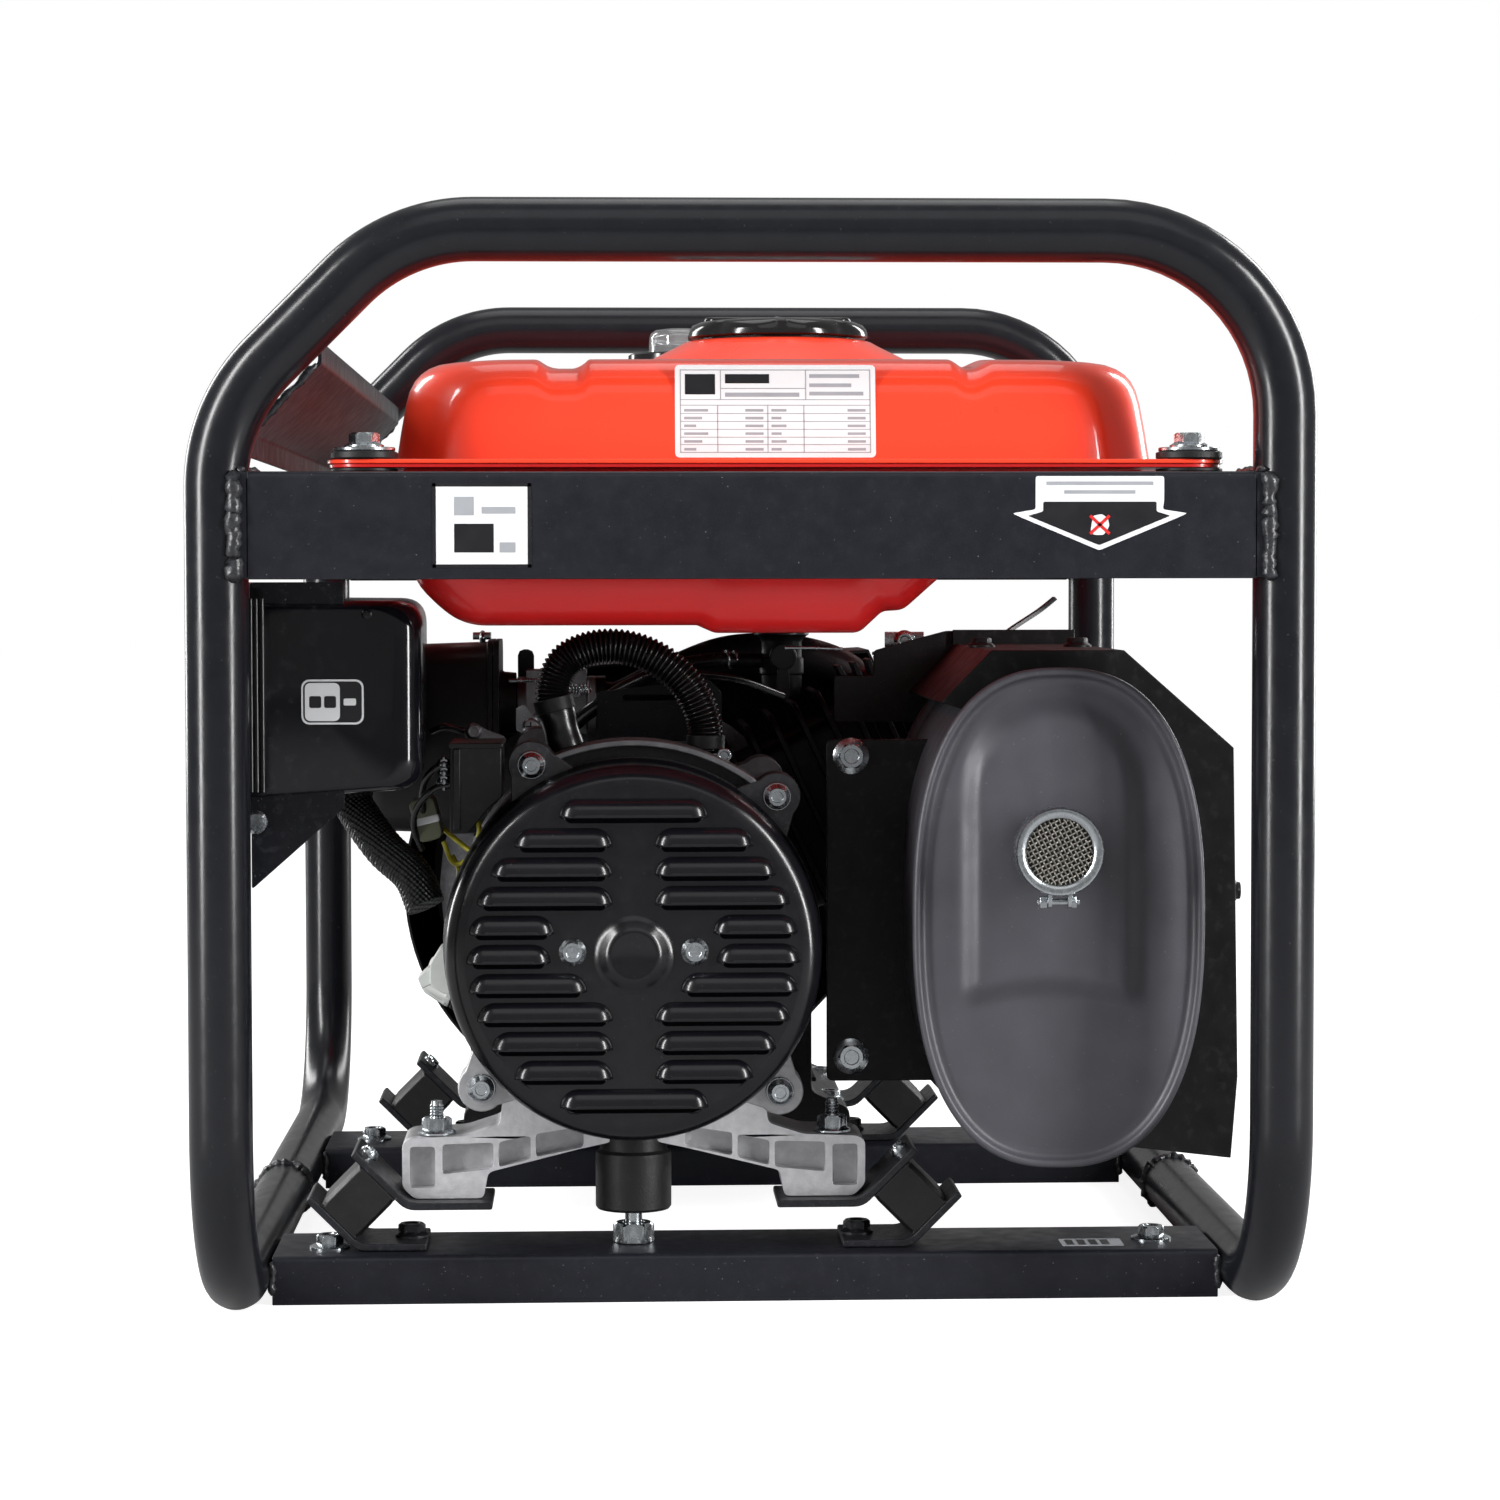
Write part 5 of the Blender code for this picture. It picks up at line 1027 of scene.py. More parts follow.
def end_cover():
    face, back = COVER_FACE_Y, COVER_BACK_Y
    hood, lip, tuck = 0.0072, 0.0026, 0.002
    holes, presses = [], []
    for row in range(LOUVRE_ROWS):
        dz = (LOUVRE_ROWS // 2 - row) * LOUVRE_PITCH
        z = CRANK_Z + dz - 0.003
        for low, high in louvre_spans(row, dz):
            presses.append(pressed_half(low, high, z, hood, 0.0052, 1))
            presses.append(pressed_half(low + tuck, high - tuck, z, lip, -0.0024, -1))
            hole = []
            for quarter, (x, radius, steps, some) in enumerate((
                    (high - hood, hood, 6, range(7)), (low + hood, hood, 6, range(7)),
                    (low + tuck + lip, lip, 4, range(1, 5)),
                    (high - tuck - lip, lip, 4, range(4)))):
                for a in (math.pi / 2 * (quarter + k / steps) for k in some):
                    hole.append((CRANK_X + x + radius * math.cos(a), z + radius * math.sin(a)))
            holes.append(hole)
    plate_r = COVER_R - 0.0085
    centre = (CRANK_X, CRANK_Z)
    plate = prism("y", circle(centre, plate_r, 96), face, face + 0.0012,
        [circle(centre, 0.0164, 48), *holes])
    rim = [(plate_r, face), (COVER_R - 0.006, face + 0.0004), (COVER_R - 0.0036, face + 0.0016),
        (COVER_R - 0.0016, face + 0.0038), (COVER_R - 0.0004, face + 0.0068),
        (COVER_R, face + 0.01), (COVER_R, back - 0.0075), (COVER_R + 0.0012, back - 0.005),
        (COVER_R + 0.0014, back), (COVER_R - 0.0015, back), (COVER_R - 0.0015, face + 0.011),
        (COVER_R - 0.0055, face + 0.003), (plate_r, face + 0.0012)]
    boss = [(0.0164, face), (0.0156, face - 0.0003), (0.014, face - 0.0014),
        (0.0118, face - 0.0032), (0.0104, face - 0.0041), (0.0094, face - 0.0043),
        (0.0086, face - 0.004), (0.0, face - 0.0038), (0.0, face - 0.0026), (0.009, face - 0.0026),
        (0.015, face + 0.0012), (0.0164, face + 0.0012)]
    add("end_cover_face", plate, "cover_black", stands_for=["alternator_end_cover"], crease=30)
    add("end_cover_rim", along_crank(rim, 144, closed=True), "cover_black", crease=50)
    add("end_cover_boss", along_crank(boss, 72), "cover_black", crease=50)
    add("end_cover_louvres", together(presses), "cover_black", crease=60, wall=0.0008)
    bolts = [bolt((CRANK_X + sign * 0.025, face, 0.148), -AXIS_Y, 0.008, 0.0036, flange=0.0056)
        for sign in (-1, 1)]
    add("end_cover_bolts", together(bolts), "zinc_plate")


def lug_shape(angle, y0, y1):
    """A bolt lug that runs out of the round casting."""
    outline = [lug_rim(angle, 90 - 180 * step / 16) for step in range(17)]
    for spread in (-13, -6, 6, 13):
        outline.append(around_crank(CAN_R - 0.004, angle + spread))
    return prism("y", outline, y0, y1)


def lug_rim(angle, turn):
    """A point on a lug's rim; turn is measured from straight outwards."""
    x, z = around_crank(LUG_CIRCLE, angle)
    way = math.radians(angle + turn)
    return x + LUG_R * math.cos(way), z + LUG_R * math.sin(way)


def end_bracket():
    front, back = -0.197, -0.1522
    ring = along_crank([(CAN_R - 0.001, front), (CAN_R, front + 0.001), (CAN_R, back),
        (0.0715, back), (0.0715, front + 0.007), (0.021, front + 0.007), (0.021, front)],
        closed=True)
    # Painted shade on the bracket: the ring and its upper lugs take the darkest copy of the cast
    # metal, the crown a lighter copy, and the lugs below the crankshaft a lighter one still.
    lugs = together(lug_shape(angle, front, -0.178).skin(2 if angle > 180 else 0)
        for angle in LUG_ANGLES)
    foot_face, pocket_floor = -0.1965, -0.19
    crown = crank_arc(0.0866, 52, 116, 28) + crank_arc(0.0838, 116, 52, 28)
    crown = prism("y", crown, foot_face, -0.17)
    # A black arc sunk between the ring and the crown: painted shade in the gap.
    web = crank_arc(0.084, 50, 118, 28) + crank_arc(0.077, 118, 50, 28)
    add("end_bracket_ring", ring + crown.skin(1) + lugs, ["cast_painted_deep_shade", "cast_dull", "cast_painted_half_shade"],
        stands_for=["alternator_end_bracket"], bevel=0.001)
    add("end_bracket_gap_shade", prism("y", web, -0.191, -0.172), "engine_paint", bevel=0.0006)

    left = [(-0.139, BASE_Z), (-0.144, 0.0455), (-0.144, 0.064), (-0.1405, 0.066),
        (-0.118, 0.0668), (-0.103, 0.0716), (-0.1005, 0.096), (-0.093, 0.104), (-0.086, 0.086),
        (-0.064, 0.0725), (-0.056, 0.072), (-0.056, 0.064), (-0.07, 0.061), (-0.09, 0.056),
        (-0.108, 0.0515), (-0.11, BASE_Z)]
    pockets = [[(-0.1408, 0.045), (-0.1408, 0.0625), (-0.1302, 0.0625), (-0.1302, 0.045)],
        [(-0.1272, 0.0508), (-0.1272, 0.0634), (-0.1058, 0.064), (-0.1058, 0.053)],
        [(-0.1036, 0.0536), (-0.1036, 0.0642), (-0.0902, 0.0668), (-0.0902, 0.057)],
        [(-0.088, 0.0578), (-0.088, 0.0676), (-0.068, 0.0706), (-0.068, 0.062)]]

    def mirrored(points):
        return [(2 * CRANK_X + 0.0005 - x, z) for x, z in points]

    for word, side in (("left", list), ("right", mirrored)):
        outline = rounded(side(left), 0.0022, 3)
        holes = [rounded(side(pocket), 0.0016, 3) for pocket in pockets]
        foot = prism("y", outline, foot_face, pocket_floor, holes)
        # The front face takes the lit copy of the cast metal and the back layer, seen at the
        # pocket floors, a darker copy: painted light on the face and painted shade in the pockets.
        foot = foot + prism("y", outline, pocket_floor + 0.0001, -0.16).skin(1)
        add(f"end_bracket_foot_{word}", foot, ["cast_painted_lit", "cast_painted_half_shade"], bevel=0.0006)
    places = [around_crank(LUG_CIRCLE, angle) for angle in LUG_ANGLES]
    heads = [bolt((x, front, z), -AXIS_Y, 0.0074, 0.0046, flange=0.0054, washer=0.006)
        for x, z in places]
    add("through_bolt_heads", together(heads), "zinc_plate")
    bars = [rod((x, -0.178, z), (x, -0.05, z), 0.003) for x, z in places]
    add("through_bolt_shanks", together(bars), "zinc_plate")
    nuts = [bolt((x, MOUNT_Y, 0.0668), AXIS_Z, 0.011, 0.0068, flange=0.008, stud=0.007)
        for x in (-0.1298, 0.037)]
    add("foot_nuts", together(nuts), "zinc_plate")


def alternator_middle():
    stack = [(0.077, -0.1519), (0.0785, -0.1512), (0.0785, -0.0523), (0.077, -0.0516),
        (0.052, -0.0516), (0.052, -0.1519)]
    add("stator_stack", along_crank(stack, 128, closed=True), "lamination_stack",
        stands_for=["stator"])
    ends = []
    for y0, y1 in ((-0.178, -0.1519), (-0.0516, -0.032)):
        ends.append(along_crank([(0.056, y0), (0.064, y0 + 0.002), (0.068, (y0 + y1) / 2),
            (0.066, y1), (0.054, y1)], 72, closed=True))
    add("stator_windings", together(ends), "copper_wire")
    front, back = -0.0513, -0.0202
    ring = along_crank([(CAN_R, front), (CAN_R, back - 0.001), (CAN_R - 0.001, back), (0.03, back),
        (0.03, back - 0.008), (0.071, back - 0.008), (0.071, front)], closed=True)
    lugs = together(lug_shape(angle, -0.051, -0.026) for angle in LUG_ANGLES)
    # The bracket takes a darker copy of the cast metal: painted shade.
    add("engine_side_bracket", ring + lugs, "cast_dull", stands_for=["alternator_engine_bracket"],
        bevel=0.001)
    repaint("rotor", "lamination_stack")


def regulator():
    outline = [(-0.123, 0.1945), (-0.1155, 0.1945), (-0.1065, 0.2055), (-0.1015, 0.2095),
        (-0.1015, 0.231), (-0.123, 0.231)]
    body = prism("y", rounded(outline, 0.0008, 2), -0.205, -0.156)
    rib = block((-0.1216, -0.2062, 0.196), (-0.1185, -0.205, 0.2298))
    cap = prism("y", rectangle((-0.1235, 0.23), (-0.1008, 0.2322), 0.0006), -0.2058, -0.1556)
    add("regulator_block", body + rib + cap, "moulded_black", stands_for=["voltage_regulator"],
        bevel=0.0005)
    nuts = together(bolt((-0.1256, -0.196, z), AXIS_Z, 0.0046, 0.003, flange=0.0033)
        for z in (0.215, 0.2186, 0.2222))
    nuts = nuts + rod((-0.1256, -0.196, 0.212), (-0.1256, -0.196, 0.2262), 0.0011, 16, 0.0002)
    add("regulator_terminals", nuts, "zinc_plate")


# ---------------------------------------------------------------- exhaust
def muffler_panel(x, z):
    """How far the raised centre of the muffler's face stands out, from 0 to 1."""
    left, right = 0.088, 0.158
    bottom = 0.13 + 0.006 * (1 - ((x - 0.123) / 0.035) ** 2)
    top_reach = math.hypot((x - MUFFLER_X + 0.003) / 0.037, max(0.0, z - 0.208) / 0.04)
    arch = 1 - ease(top_reach, 0.8, 1.16)
    sides = ease(x, left - 0.006, left + 0.007) * (1 - ease(x, right - 0.009, right + 0.008))
    return arch * sides * ease(z, bottom - 0.008, bottom + 0.004)


def muffler():
    y0, y1 = MUFFLER_Y
    centre = (MUFFLER_X, MUFFLER_Z)
    count = 192
    rim_x, rim_z = MUFFLER_HALF[0] + 0.0028, MUFFLER_HALF[1] + 0.0028

    def ring(inset, y):
        return [Vector((x, y, z)) for x, z in oval(centre, (rim_x - inset, rim_z - inset), count)]

    def end(face, inward):
        """A pressed end: rolled seam, a step down, and a gently domed face."""
        seam = [(0.004, 0.0066), (0.001, 0.0062), (0.0, 0.005), (0.0, 0.0014), (0.0006, 0.0003),
            (0.0016, 0.0), (0.0026, 0.0003), (0.0033, 0.0014), (0.004, 0.003), (0.0054, 0.0036),
            (0.008, 0.0034), (0.011, 0.003)]
        rings = [ring(inset, face + inward * depth) for inset, depth in seam]
        for level in range(1, 45):
            share = 1 - level / 45
            inset = 0.011 + (rim_x - 0.011) * (1 - share)
            half = (rim_x - inset, (rim_z - 0.011) * share ** 0.92)
            dome = 0.0026 * share ** 3 - 0.0006
            points = []
            for x, z in oval(centre, half, count, 2.5 - 0.3 * (1 - share)):
                raised = 0.0048 * muffler_panel(x, z) if inward > 0 else 0.0
                points.append(Vector((x, face + inward * (dome - raised + 0.001), z)))
            rings.append(points)
        return skinned(rings)

    add("muffler_front", end(y0, 1), "muffler_paint", stands_for=["muffler"], crease=70)
    add("muffler_rear", end(y1, -1), "muffler_paint", crease=70)
    wall = [ring(0.0032, y) for y in (y0 + 0.005, y0 + 0.03, y1 - 0.03, y1 - 0.005)]
    add("muffler_wall", skinned(wall), "muffler_paint", crease=60)
    stays = prism("y", rounded([(0.037, 0.083), (0.037, 0.231), (0.086, 0.231), (0.086, 0.083)],
        0.003, 3), -0.152, -0.149)
    add("muffler_bracket", stays, "shield_black", bevel=0.0005)
    bolts = [bolt((0.0475, -0.152, z), -AXIS_Y, 0.01, 0.005, flange=0.0078)
        for z in (0.2239, 0.0938)]
    add("muffler_bracket_bolts", together(bolts), "zinc_plate")
    head_x, head_z = from_cylinder(0.143, 0.0)
    head_y = CYL_Y - 0.0513
    route = [(0.108, y1 - 0.01, 0.2), (0.108, y1 + 0.012, 0.2), (0.098, -0.048, 0.204),
        (head_x, -0.026, head_z), (head_x, head_y - 0.001, head_z)]
    pipe = sweep(smooth_route(route, 40), 0.013, 36)
    flange = prism("y", rounded([(head_x - 0.029, head_z - 0.01), (head_x - 0.016, head_z - 0.018),
        (head_x + 0.016, head_z - 0.018), (head_x + 0.029, head_z - 0.01),
        (head_x + 0.029, head_z + 0.01), (head_x + 0.016, head_z + 0.018),
        (head_x - 0.016, head_z + 0.018), (head_x - 0.029, head_z + 0.01)], 0.004, 3),
        head_y - 0.006, head_y)
    add("exhaust_pipe", pipe + flange, "muffler_paint", bevel=0.0006)
    nuts = [bolt((head_x + sign * 0.0225, head_y - 0.006, head_z), -AXIS_Y, 0.01, 0.0065,
        stud=0.006) for sign in (-1, 1)]
    add("exhaust_nuts", together(nuts), "zinc_plate")


def spark_arrestor():
    place = (OUTLET_X, 0.0, OUTLET_Z)
    stub = lathe([(0.0138, -0.235), (0.0138, -0.2735), (0.0142, -0.274), (0.015, -0.2735),
        (0.015, -0.245), (0.016, -0.2425), (0.0185, -0.241), (0.0185, -0.235)], place, AXIS_Y, 64,
        closed=True)
    add("outlet_stub", stub, "muffler_paint", crease=50)
    clamp = lathe([(0.0152, -0.264), (0.0175, -0.2642), (0.0178, -0.2655), (0.0178, -0.2755),
        (0.0172, -0.2768), (0.0158, -0.277), (0.0138, -0.2764), (0.0132, -0.2752),
        (0.0132, -0.272), (0.0152, -0.272)], place, AXIS_Y, 72, closed=True)
    add("arrestor_clamp", clamp, "zinc_plate", stands_for=["spark_arrestor"], crease=50)
    # A dark disc behind the wires stands for the shaded inside of the outlet: painted shade.
    back = lathe([(0.0, -0.2742), (0.0134, -0.2742), (0.0134, -0.2738), (0.0, -0.2738)], place,
        AXIS_Y, 48)
    wires = []
    pitch, wire_r, reach = 0.0019, 0.00034, 0.0132
    for k in range(-6, 7):
        offset = k * pitch
        half = math.sqrt(reach ** 2 - offset ** 2)
        steps = 36
        for flip in (0, 1):
            path = []
            for step in range(steps + 1):
                along = -half + 2 * half * step / steps
                lift = wire_r * 1.1 * math.cos(math.pi * along / pitch + math.pi * (k + flip))
                x, z = (along, offset) if flip else (offset, along)
                turn = math.radians(28)
                path.append((OUTLET_X + x * math.cos(turn) - z * math.sin(turn), -0.275 + lift,
                    OUTLET_Z + x * math.sin(turn) + z * math.cos(turn)))
            wires.append(sweep(path, wire_r, 6))
    add("arrestor_gauze", back.skin(1) + together(wires), ["arrestor_mesh", "arrestor_backing_painted_shade"],
        crease=60)
    z = OUTLET_Z - 0.0178
    ears = [prism("x", rounded([(-0.275, z + 0.001), (-0.275, z - 0.005), (-0.266, z - 0.005),
        (-0.266, z + 0.001)], [0.0, 0.003, 0.003, 0.0], 4), OUTLET_X + x, OUTLET_X + x + 0.0016)
        for x in (-0.0045, 0.0035)]
    pin = rod((OUTLET_X - 0.0085, -0.2705, z - 0.0026), (OUTLET_X + 0.0085, -0.2705, z - 0.0026),
        0.0013, 20)
    head = bolt((OUTLET_X - 0.0046, -0.2705, z - 0.0026), -AXIS_X, 0.0046, 0.003)
    nut = bolt((OUTLET_X + 0.0052, -0.2705, z - 0.0026), AXIS_X, 0.0046, 0.0022)
    add("arrestor_screw", together(ears) + pin + head + nut, "zinc_plate", bevel=0.0002)


def heat_shield():
    outside = [(0.08, 0.249), (0.101, 0.2705), (0.156, 0.2705), (0.2018, 0.23), (0.204, 0.093),
        (0.2013, 0.059)]
    inside = [(0.1998, 0.0592), (0.2025, 0.0931), (0.2003, 0.2293), (0.1554, 0.269),
        (0.1016, 0.269), (0.0811, 0.2479)]
    wrap = oval((MUFFLER_X, MUFFLER_Z), (MUFFLER_HALF[0] + 0.0008, MUFFLER_HALF[1] + 0.0008), 120)
    rim = [wrap[k % 120] for k in range(-24, 43)]
    strip = prism("y", outside + inside, -0.2205, -0.06)
    front = prism("y", outside + rim, -0.2208, -0.2192)
    upstand = block((0.1, -0.0615, 0.2695), (0.156, -0.06, 0.277))
    add("shield_sheet", strip + upstand, "shield_black", stands_for=["heat_shield"], bevel=0.0005)
    add("shield_flange", front, "shield_black", bevel=0.0004)
    add("shield_screws", together(bolt((0.2045, y, 0.169), AXIS_X, 0.007, 0.0036, flange=0.0055)
        for y in (-0.2, -0.08)), "shield_black")


# ---------------------------------------------------------------- mounts
def bonded_mount(name, centre_x, centre_y, side):
    """A rubber block at 45 degrees between two folded steel plates, with its bolts."""
    half, plate_half, thick = 0.01175, 0.016, 0.003
    root = math.sqrt(2.0)
    shelf, floor = BASE_Z - 0.0003, CROSS_Z + 0.0003

    def out(x, z):
        return centre_x - side * x, z

    def at(u, v):
        return out((u + v) / root, BASE_Z + (u - v) / root)

    def at_height(u, z):
        v = u - (z - BASE_Z) * root
        return out((u + v) / root, z)

    rings = []
    for share in (-1.0, -0.94, -0.8, -0.4, 0.0, 0.4, 0.8, 0.94, 1.0):
        waist = 0.0012 if abs(share) < 0.9 else 0.0026 * abs(share)
        ring = []
        for u, v in rounded([(half, half), (-half, half), (-half, -half), (half, -half)], 0.003,
                3):
            pinch = 1 - (abs(u) < half * 0.97) * waist / half
            x, z = at(u, v * pinch)
            ring.append(Vector((x, centre_y + share * 0.0192, z)))
        rings.append(ring)
    add(f"{name}_block", skinned(rings), "rubber_black", stands_for=[name], bevel=0.0008)

    upper = [at(half + thick, -plate_half), at_height(half + thick, shelf), out(0.056, shelf),
        out(0.056, shelf - thick), at_height(half, shelf - thick), at(half, -plate_half)]
    lower = [at(-half, -plate_half), at_height(-half, floor + thick), out(0.0285, floor + thick),
        out(0.0285, floor), at_height(-half - thick, floor), at(-half - thick, -plate_half)]
    cuts = [0.001, 0.004, 0.001, 0.001, 0.004, 0.001]
    plates = prism("y", rounded(upper, cuts, 4), centre_y - 0.0195, centre_y + 0.0195)
    plates = plates + prism("y", rounded(lower, cuts, 4), centre_y - 0.0195, centre_y + 0.0195)
    add(f"{name}_plates", plates, "worn_black", bevel=0.0006)
    along_u = Vector((-side, 0.0, 1.0)).normalized()
    x, z = at(half + thick, -plate_half + 0.006)
    nuts = bolt((x, centre_y, z), along_u, 0.0064, 0.003, flange=0.0042)
    add(f"{name}_nut", nuts, "zinc_plate")
    x, z = out(0.0215, floor + thick)
    add(f"{name}_bolt", bolt((x, centre_y, z), AXIS_Z, 0.01, 0.0055, flange=0.007), "worn_black")


def mounts():
    bonded_mount("mount_alternator_left", -0.162, MOUNT_Y, -1)
    bonded_mount("mount_alternator_right", 0.069, MOUNT_Y, 1)
    bonded_mount("mount_engine_left", -0.1496, 0.108, -1)
    bonded_mount("mount_engine_right", 0.086, 0.108, 1)
    place = (CRANK_X, MOUNT_Y, 0.0)
    buffer = [(0.0, 0.0656), (0.0138, 0.0656), (0.0142, 0.06), (0.0158, 0.0588), (0.016, 0.0575),
        (0.016, 0.0358), (0.0152, 0.0347), (0.0, 0.034)]
    add("centre_buffer", lathe(buffer, place, sides=64), "rubber_black",
        stands_for=["central_mount"], crease=30)
    nuts = bolt((CRANK_X, MOUNT_Y, 0.0204), AXIS_Z, 0.015, 0.0082, flange=0.008)
    nuts = nuts + rod((CRANK_X, MOUNT_Y, 0.027), (CRANK_X, MOUNT_Y, 0.04), 0.0036, 28)
    add("centre_buffer_nuts", nuts, "zinc_plate")


# ---------------------------------------------------------------- cords and hoses
def ribbed(places, count, radius, depth, pitch_points):
    """A corrugated tube: its radius rises and falls along a smooth route."""
    route = smooth_route(places, count)
    radii = [radius - depth * (0.5 - 0.5 * math.cos(math.tau * k / pitch_points)) ** 2
        for k in range(len(route))]
    return sweep(route, radii, 28)


def conduit():
    arch = [(-0.074, 0.2245), (-0.078, 0.24), (-0.0805, 0.253), (-0.0745, 0.266),
        (-0.059, 0.2715), (-0.041, 0.2685), (-0.025, 0.257), (-0.0165, 0.241), (-0.0155, 0.2245)]
    route = smooth_route([(x, -0.166, z) for x, z in arch], 420)
    smooth_end = 82      # the first points are a plain sleeve
    radii = []
    for k in range(len(route)):
        wave = (0.5 - 0.5 * math.cos(math.tau * k / 6)) ** 0.7
        rib = 0.0064 + 0.0013 * wave
        radii.append(rib if k > smooth_end else 0.0078 + 0.0003 * math.sin(k * 0.12))
    add("conduit_tube", sweep(route, radii, 28), "hose_black", stands_for=["conduit"], crease=75)
    rings = []
    for k, reach in ((5, 0.0087), (80, 0.0086), (400, 0.0082)):
        ahead = (route[k + 1] - route[k - 1]).normalized()
        rings.append(lathe([(0.007, -0.003), (reach, -0.003), (reach, 0.003), (0.007, 0.003)],
            route[k], ahead, 40, closed=True))
    add("conduit_collars", together(rings), "rubber_black", bevel=0.0005)
    strap = block((-0.0255, -0.1745, 0.2245), (-0.0055, -0.158, 0.2262))
    head = bolt((-0.008, -0.1745, 0.2253), -AXIS_Y, 0.006, 0.003)
    add("conduit_clip", strap + head, "zinc_plate", bevel=0.0003)


def harness():
    places = [(-0.1665, -0.15, 0.2098), (-0.166, -0.151, 0.203), (-0.153, -0.164, 0.186),
        (-0.1405, -0.172, 0.175), (-0.1345, -0.176, 0.162)]
    add("harness_sleeve", ribbed(places, 90, 0.0086, 0.0004, 3), "braid_black",
        stands_for=["harness"], crease=75)


def wires():
    yellow = [
        [(-0.129, -0.162, 0.195), (-0.1215, -0.166, 0.189), (-0.115, -0.17, 0.185),
            (-0.112, -0.172, 0.193), (-0.113, -0.174, 0.201)],
        [(-0.124, -0.158, 0.182), (-0.121, -0.16, 0.176), (-0.1215, -0.162, 0.17),
            (-0.119, -0.164, 0.164)],
        [(-0.1275, -0.16, 0.188), (-0.124, -0.163, 0.18), (-0.12, -0.165, 0.179),
            (-0.1165, -0.168, 0.182)]]
    add("loose_wires_light", together(sweep(smooth_route(path, 30), 0.0011, 10)
        for path in yellow), "wire_yellow", crease=75)
    dark = [
        [(-0.1225, -0.196, 0.2145), (-0.13, -0.195, 0.2125), (-0.137, -0.19, 0.205),
            (-0.139, -0.184, 0.196), (-0.136, -0.178, 0.186)],
        [(-0.1225, -0.196, 0.2225), (-0.129, -0.196, 0.2215), (-0.1345, -0.19, 0.214),
            (-0.135, -0.18, 0.201), (-0.132, -0.174, 0.19)],
        [(-0.133, -0.15, 0.235), (-0.127, -0.154, 0.237), (-0.118, -0.156, 0.235)],
        [(-0.025, -0.142, 0.26), (0.0, -0.12, 0.256), (0.021, -0.09, 0.248)]]
    add("loose_wires_dark", together(sweep(smooth_route(path, 30), 0.0015, 12) for path in dark),
        "hose_black", crease=75)
    capacitor = prism("y", rectangle((-0.1345, 0.188), (-0.1235, 0.2065), 0.003), -0.182, -0.164)
    band = prism("y", rectangle((-0.1347, 0.195), (-0.1233, 0.1985), 0.001), -0.1823,
        -0.1638).skin(1)
    lean = Matrix.Rotation(math.radians(-14), 4, "Y")
    lean = (Matrix.Translation((-0.134, 0.0, 0.199)) @ lean
        @ Matrix.Translation((0.129, 0.0, -0.1972)))
    add("capacitor", (capacitor + band).moved(lean), ["capacitor_olive", "label_white"],
        bevel=0.0008)
    arm = prism("y", rounded([(-0.1172, 0.2305), (-0.119, 0.2345), (-0.115, 0.2395),
        (-0.1095, 0.236), (-0.101, 0.233), (-0.101, 0.229)], 0.0022, 4), -0.158, -0.156)
    # The stay takes a darker copy of the cast metal: painted shade.
    add("regulator_stay", arm + bolt((-0.1145, -0.158, 0.2352), -AXIS_Y, 0.005, 0.0026,
        flange=0.0036), "cast_dull", bevel=0.0004)
    plug = prism("y", rounded([(-0.134, 0.135), (-0.129, 0.143), (-0.123, 0.14), (-0.12, 0.126),
        (-0.1265, 0.1215), (-0.134, 0.126)], 0.002, 3), -0.156, -0.138)
    plug = plug + prism("y", rounded([(-0.1395, 0.129), (-0.134, 0.134), (-0.1325, 0.1265),
        (-0.1375, 0.124)], 0.001, 2), -0.153, -0.14)
    add("wire_connector", plug, "moulded_grey", bevel=0.0006)


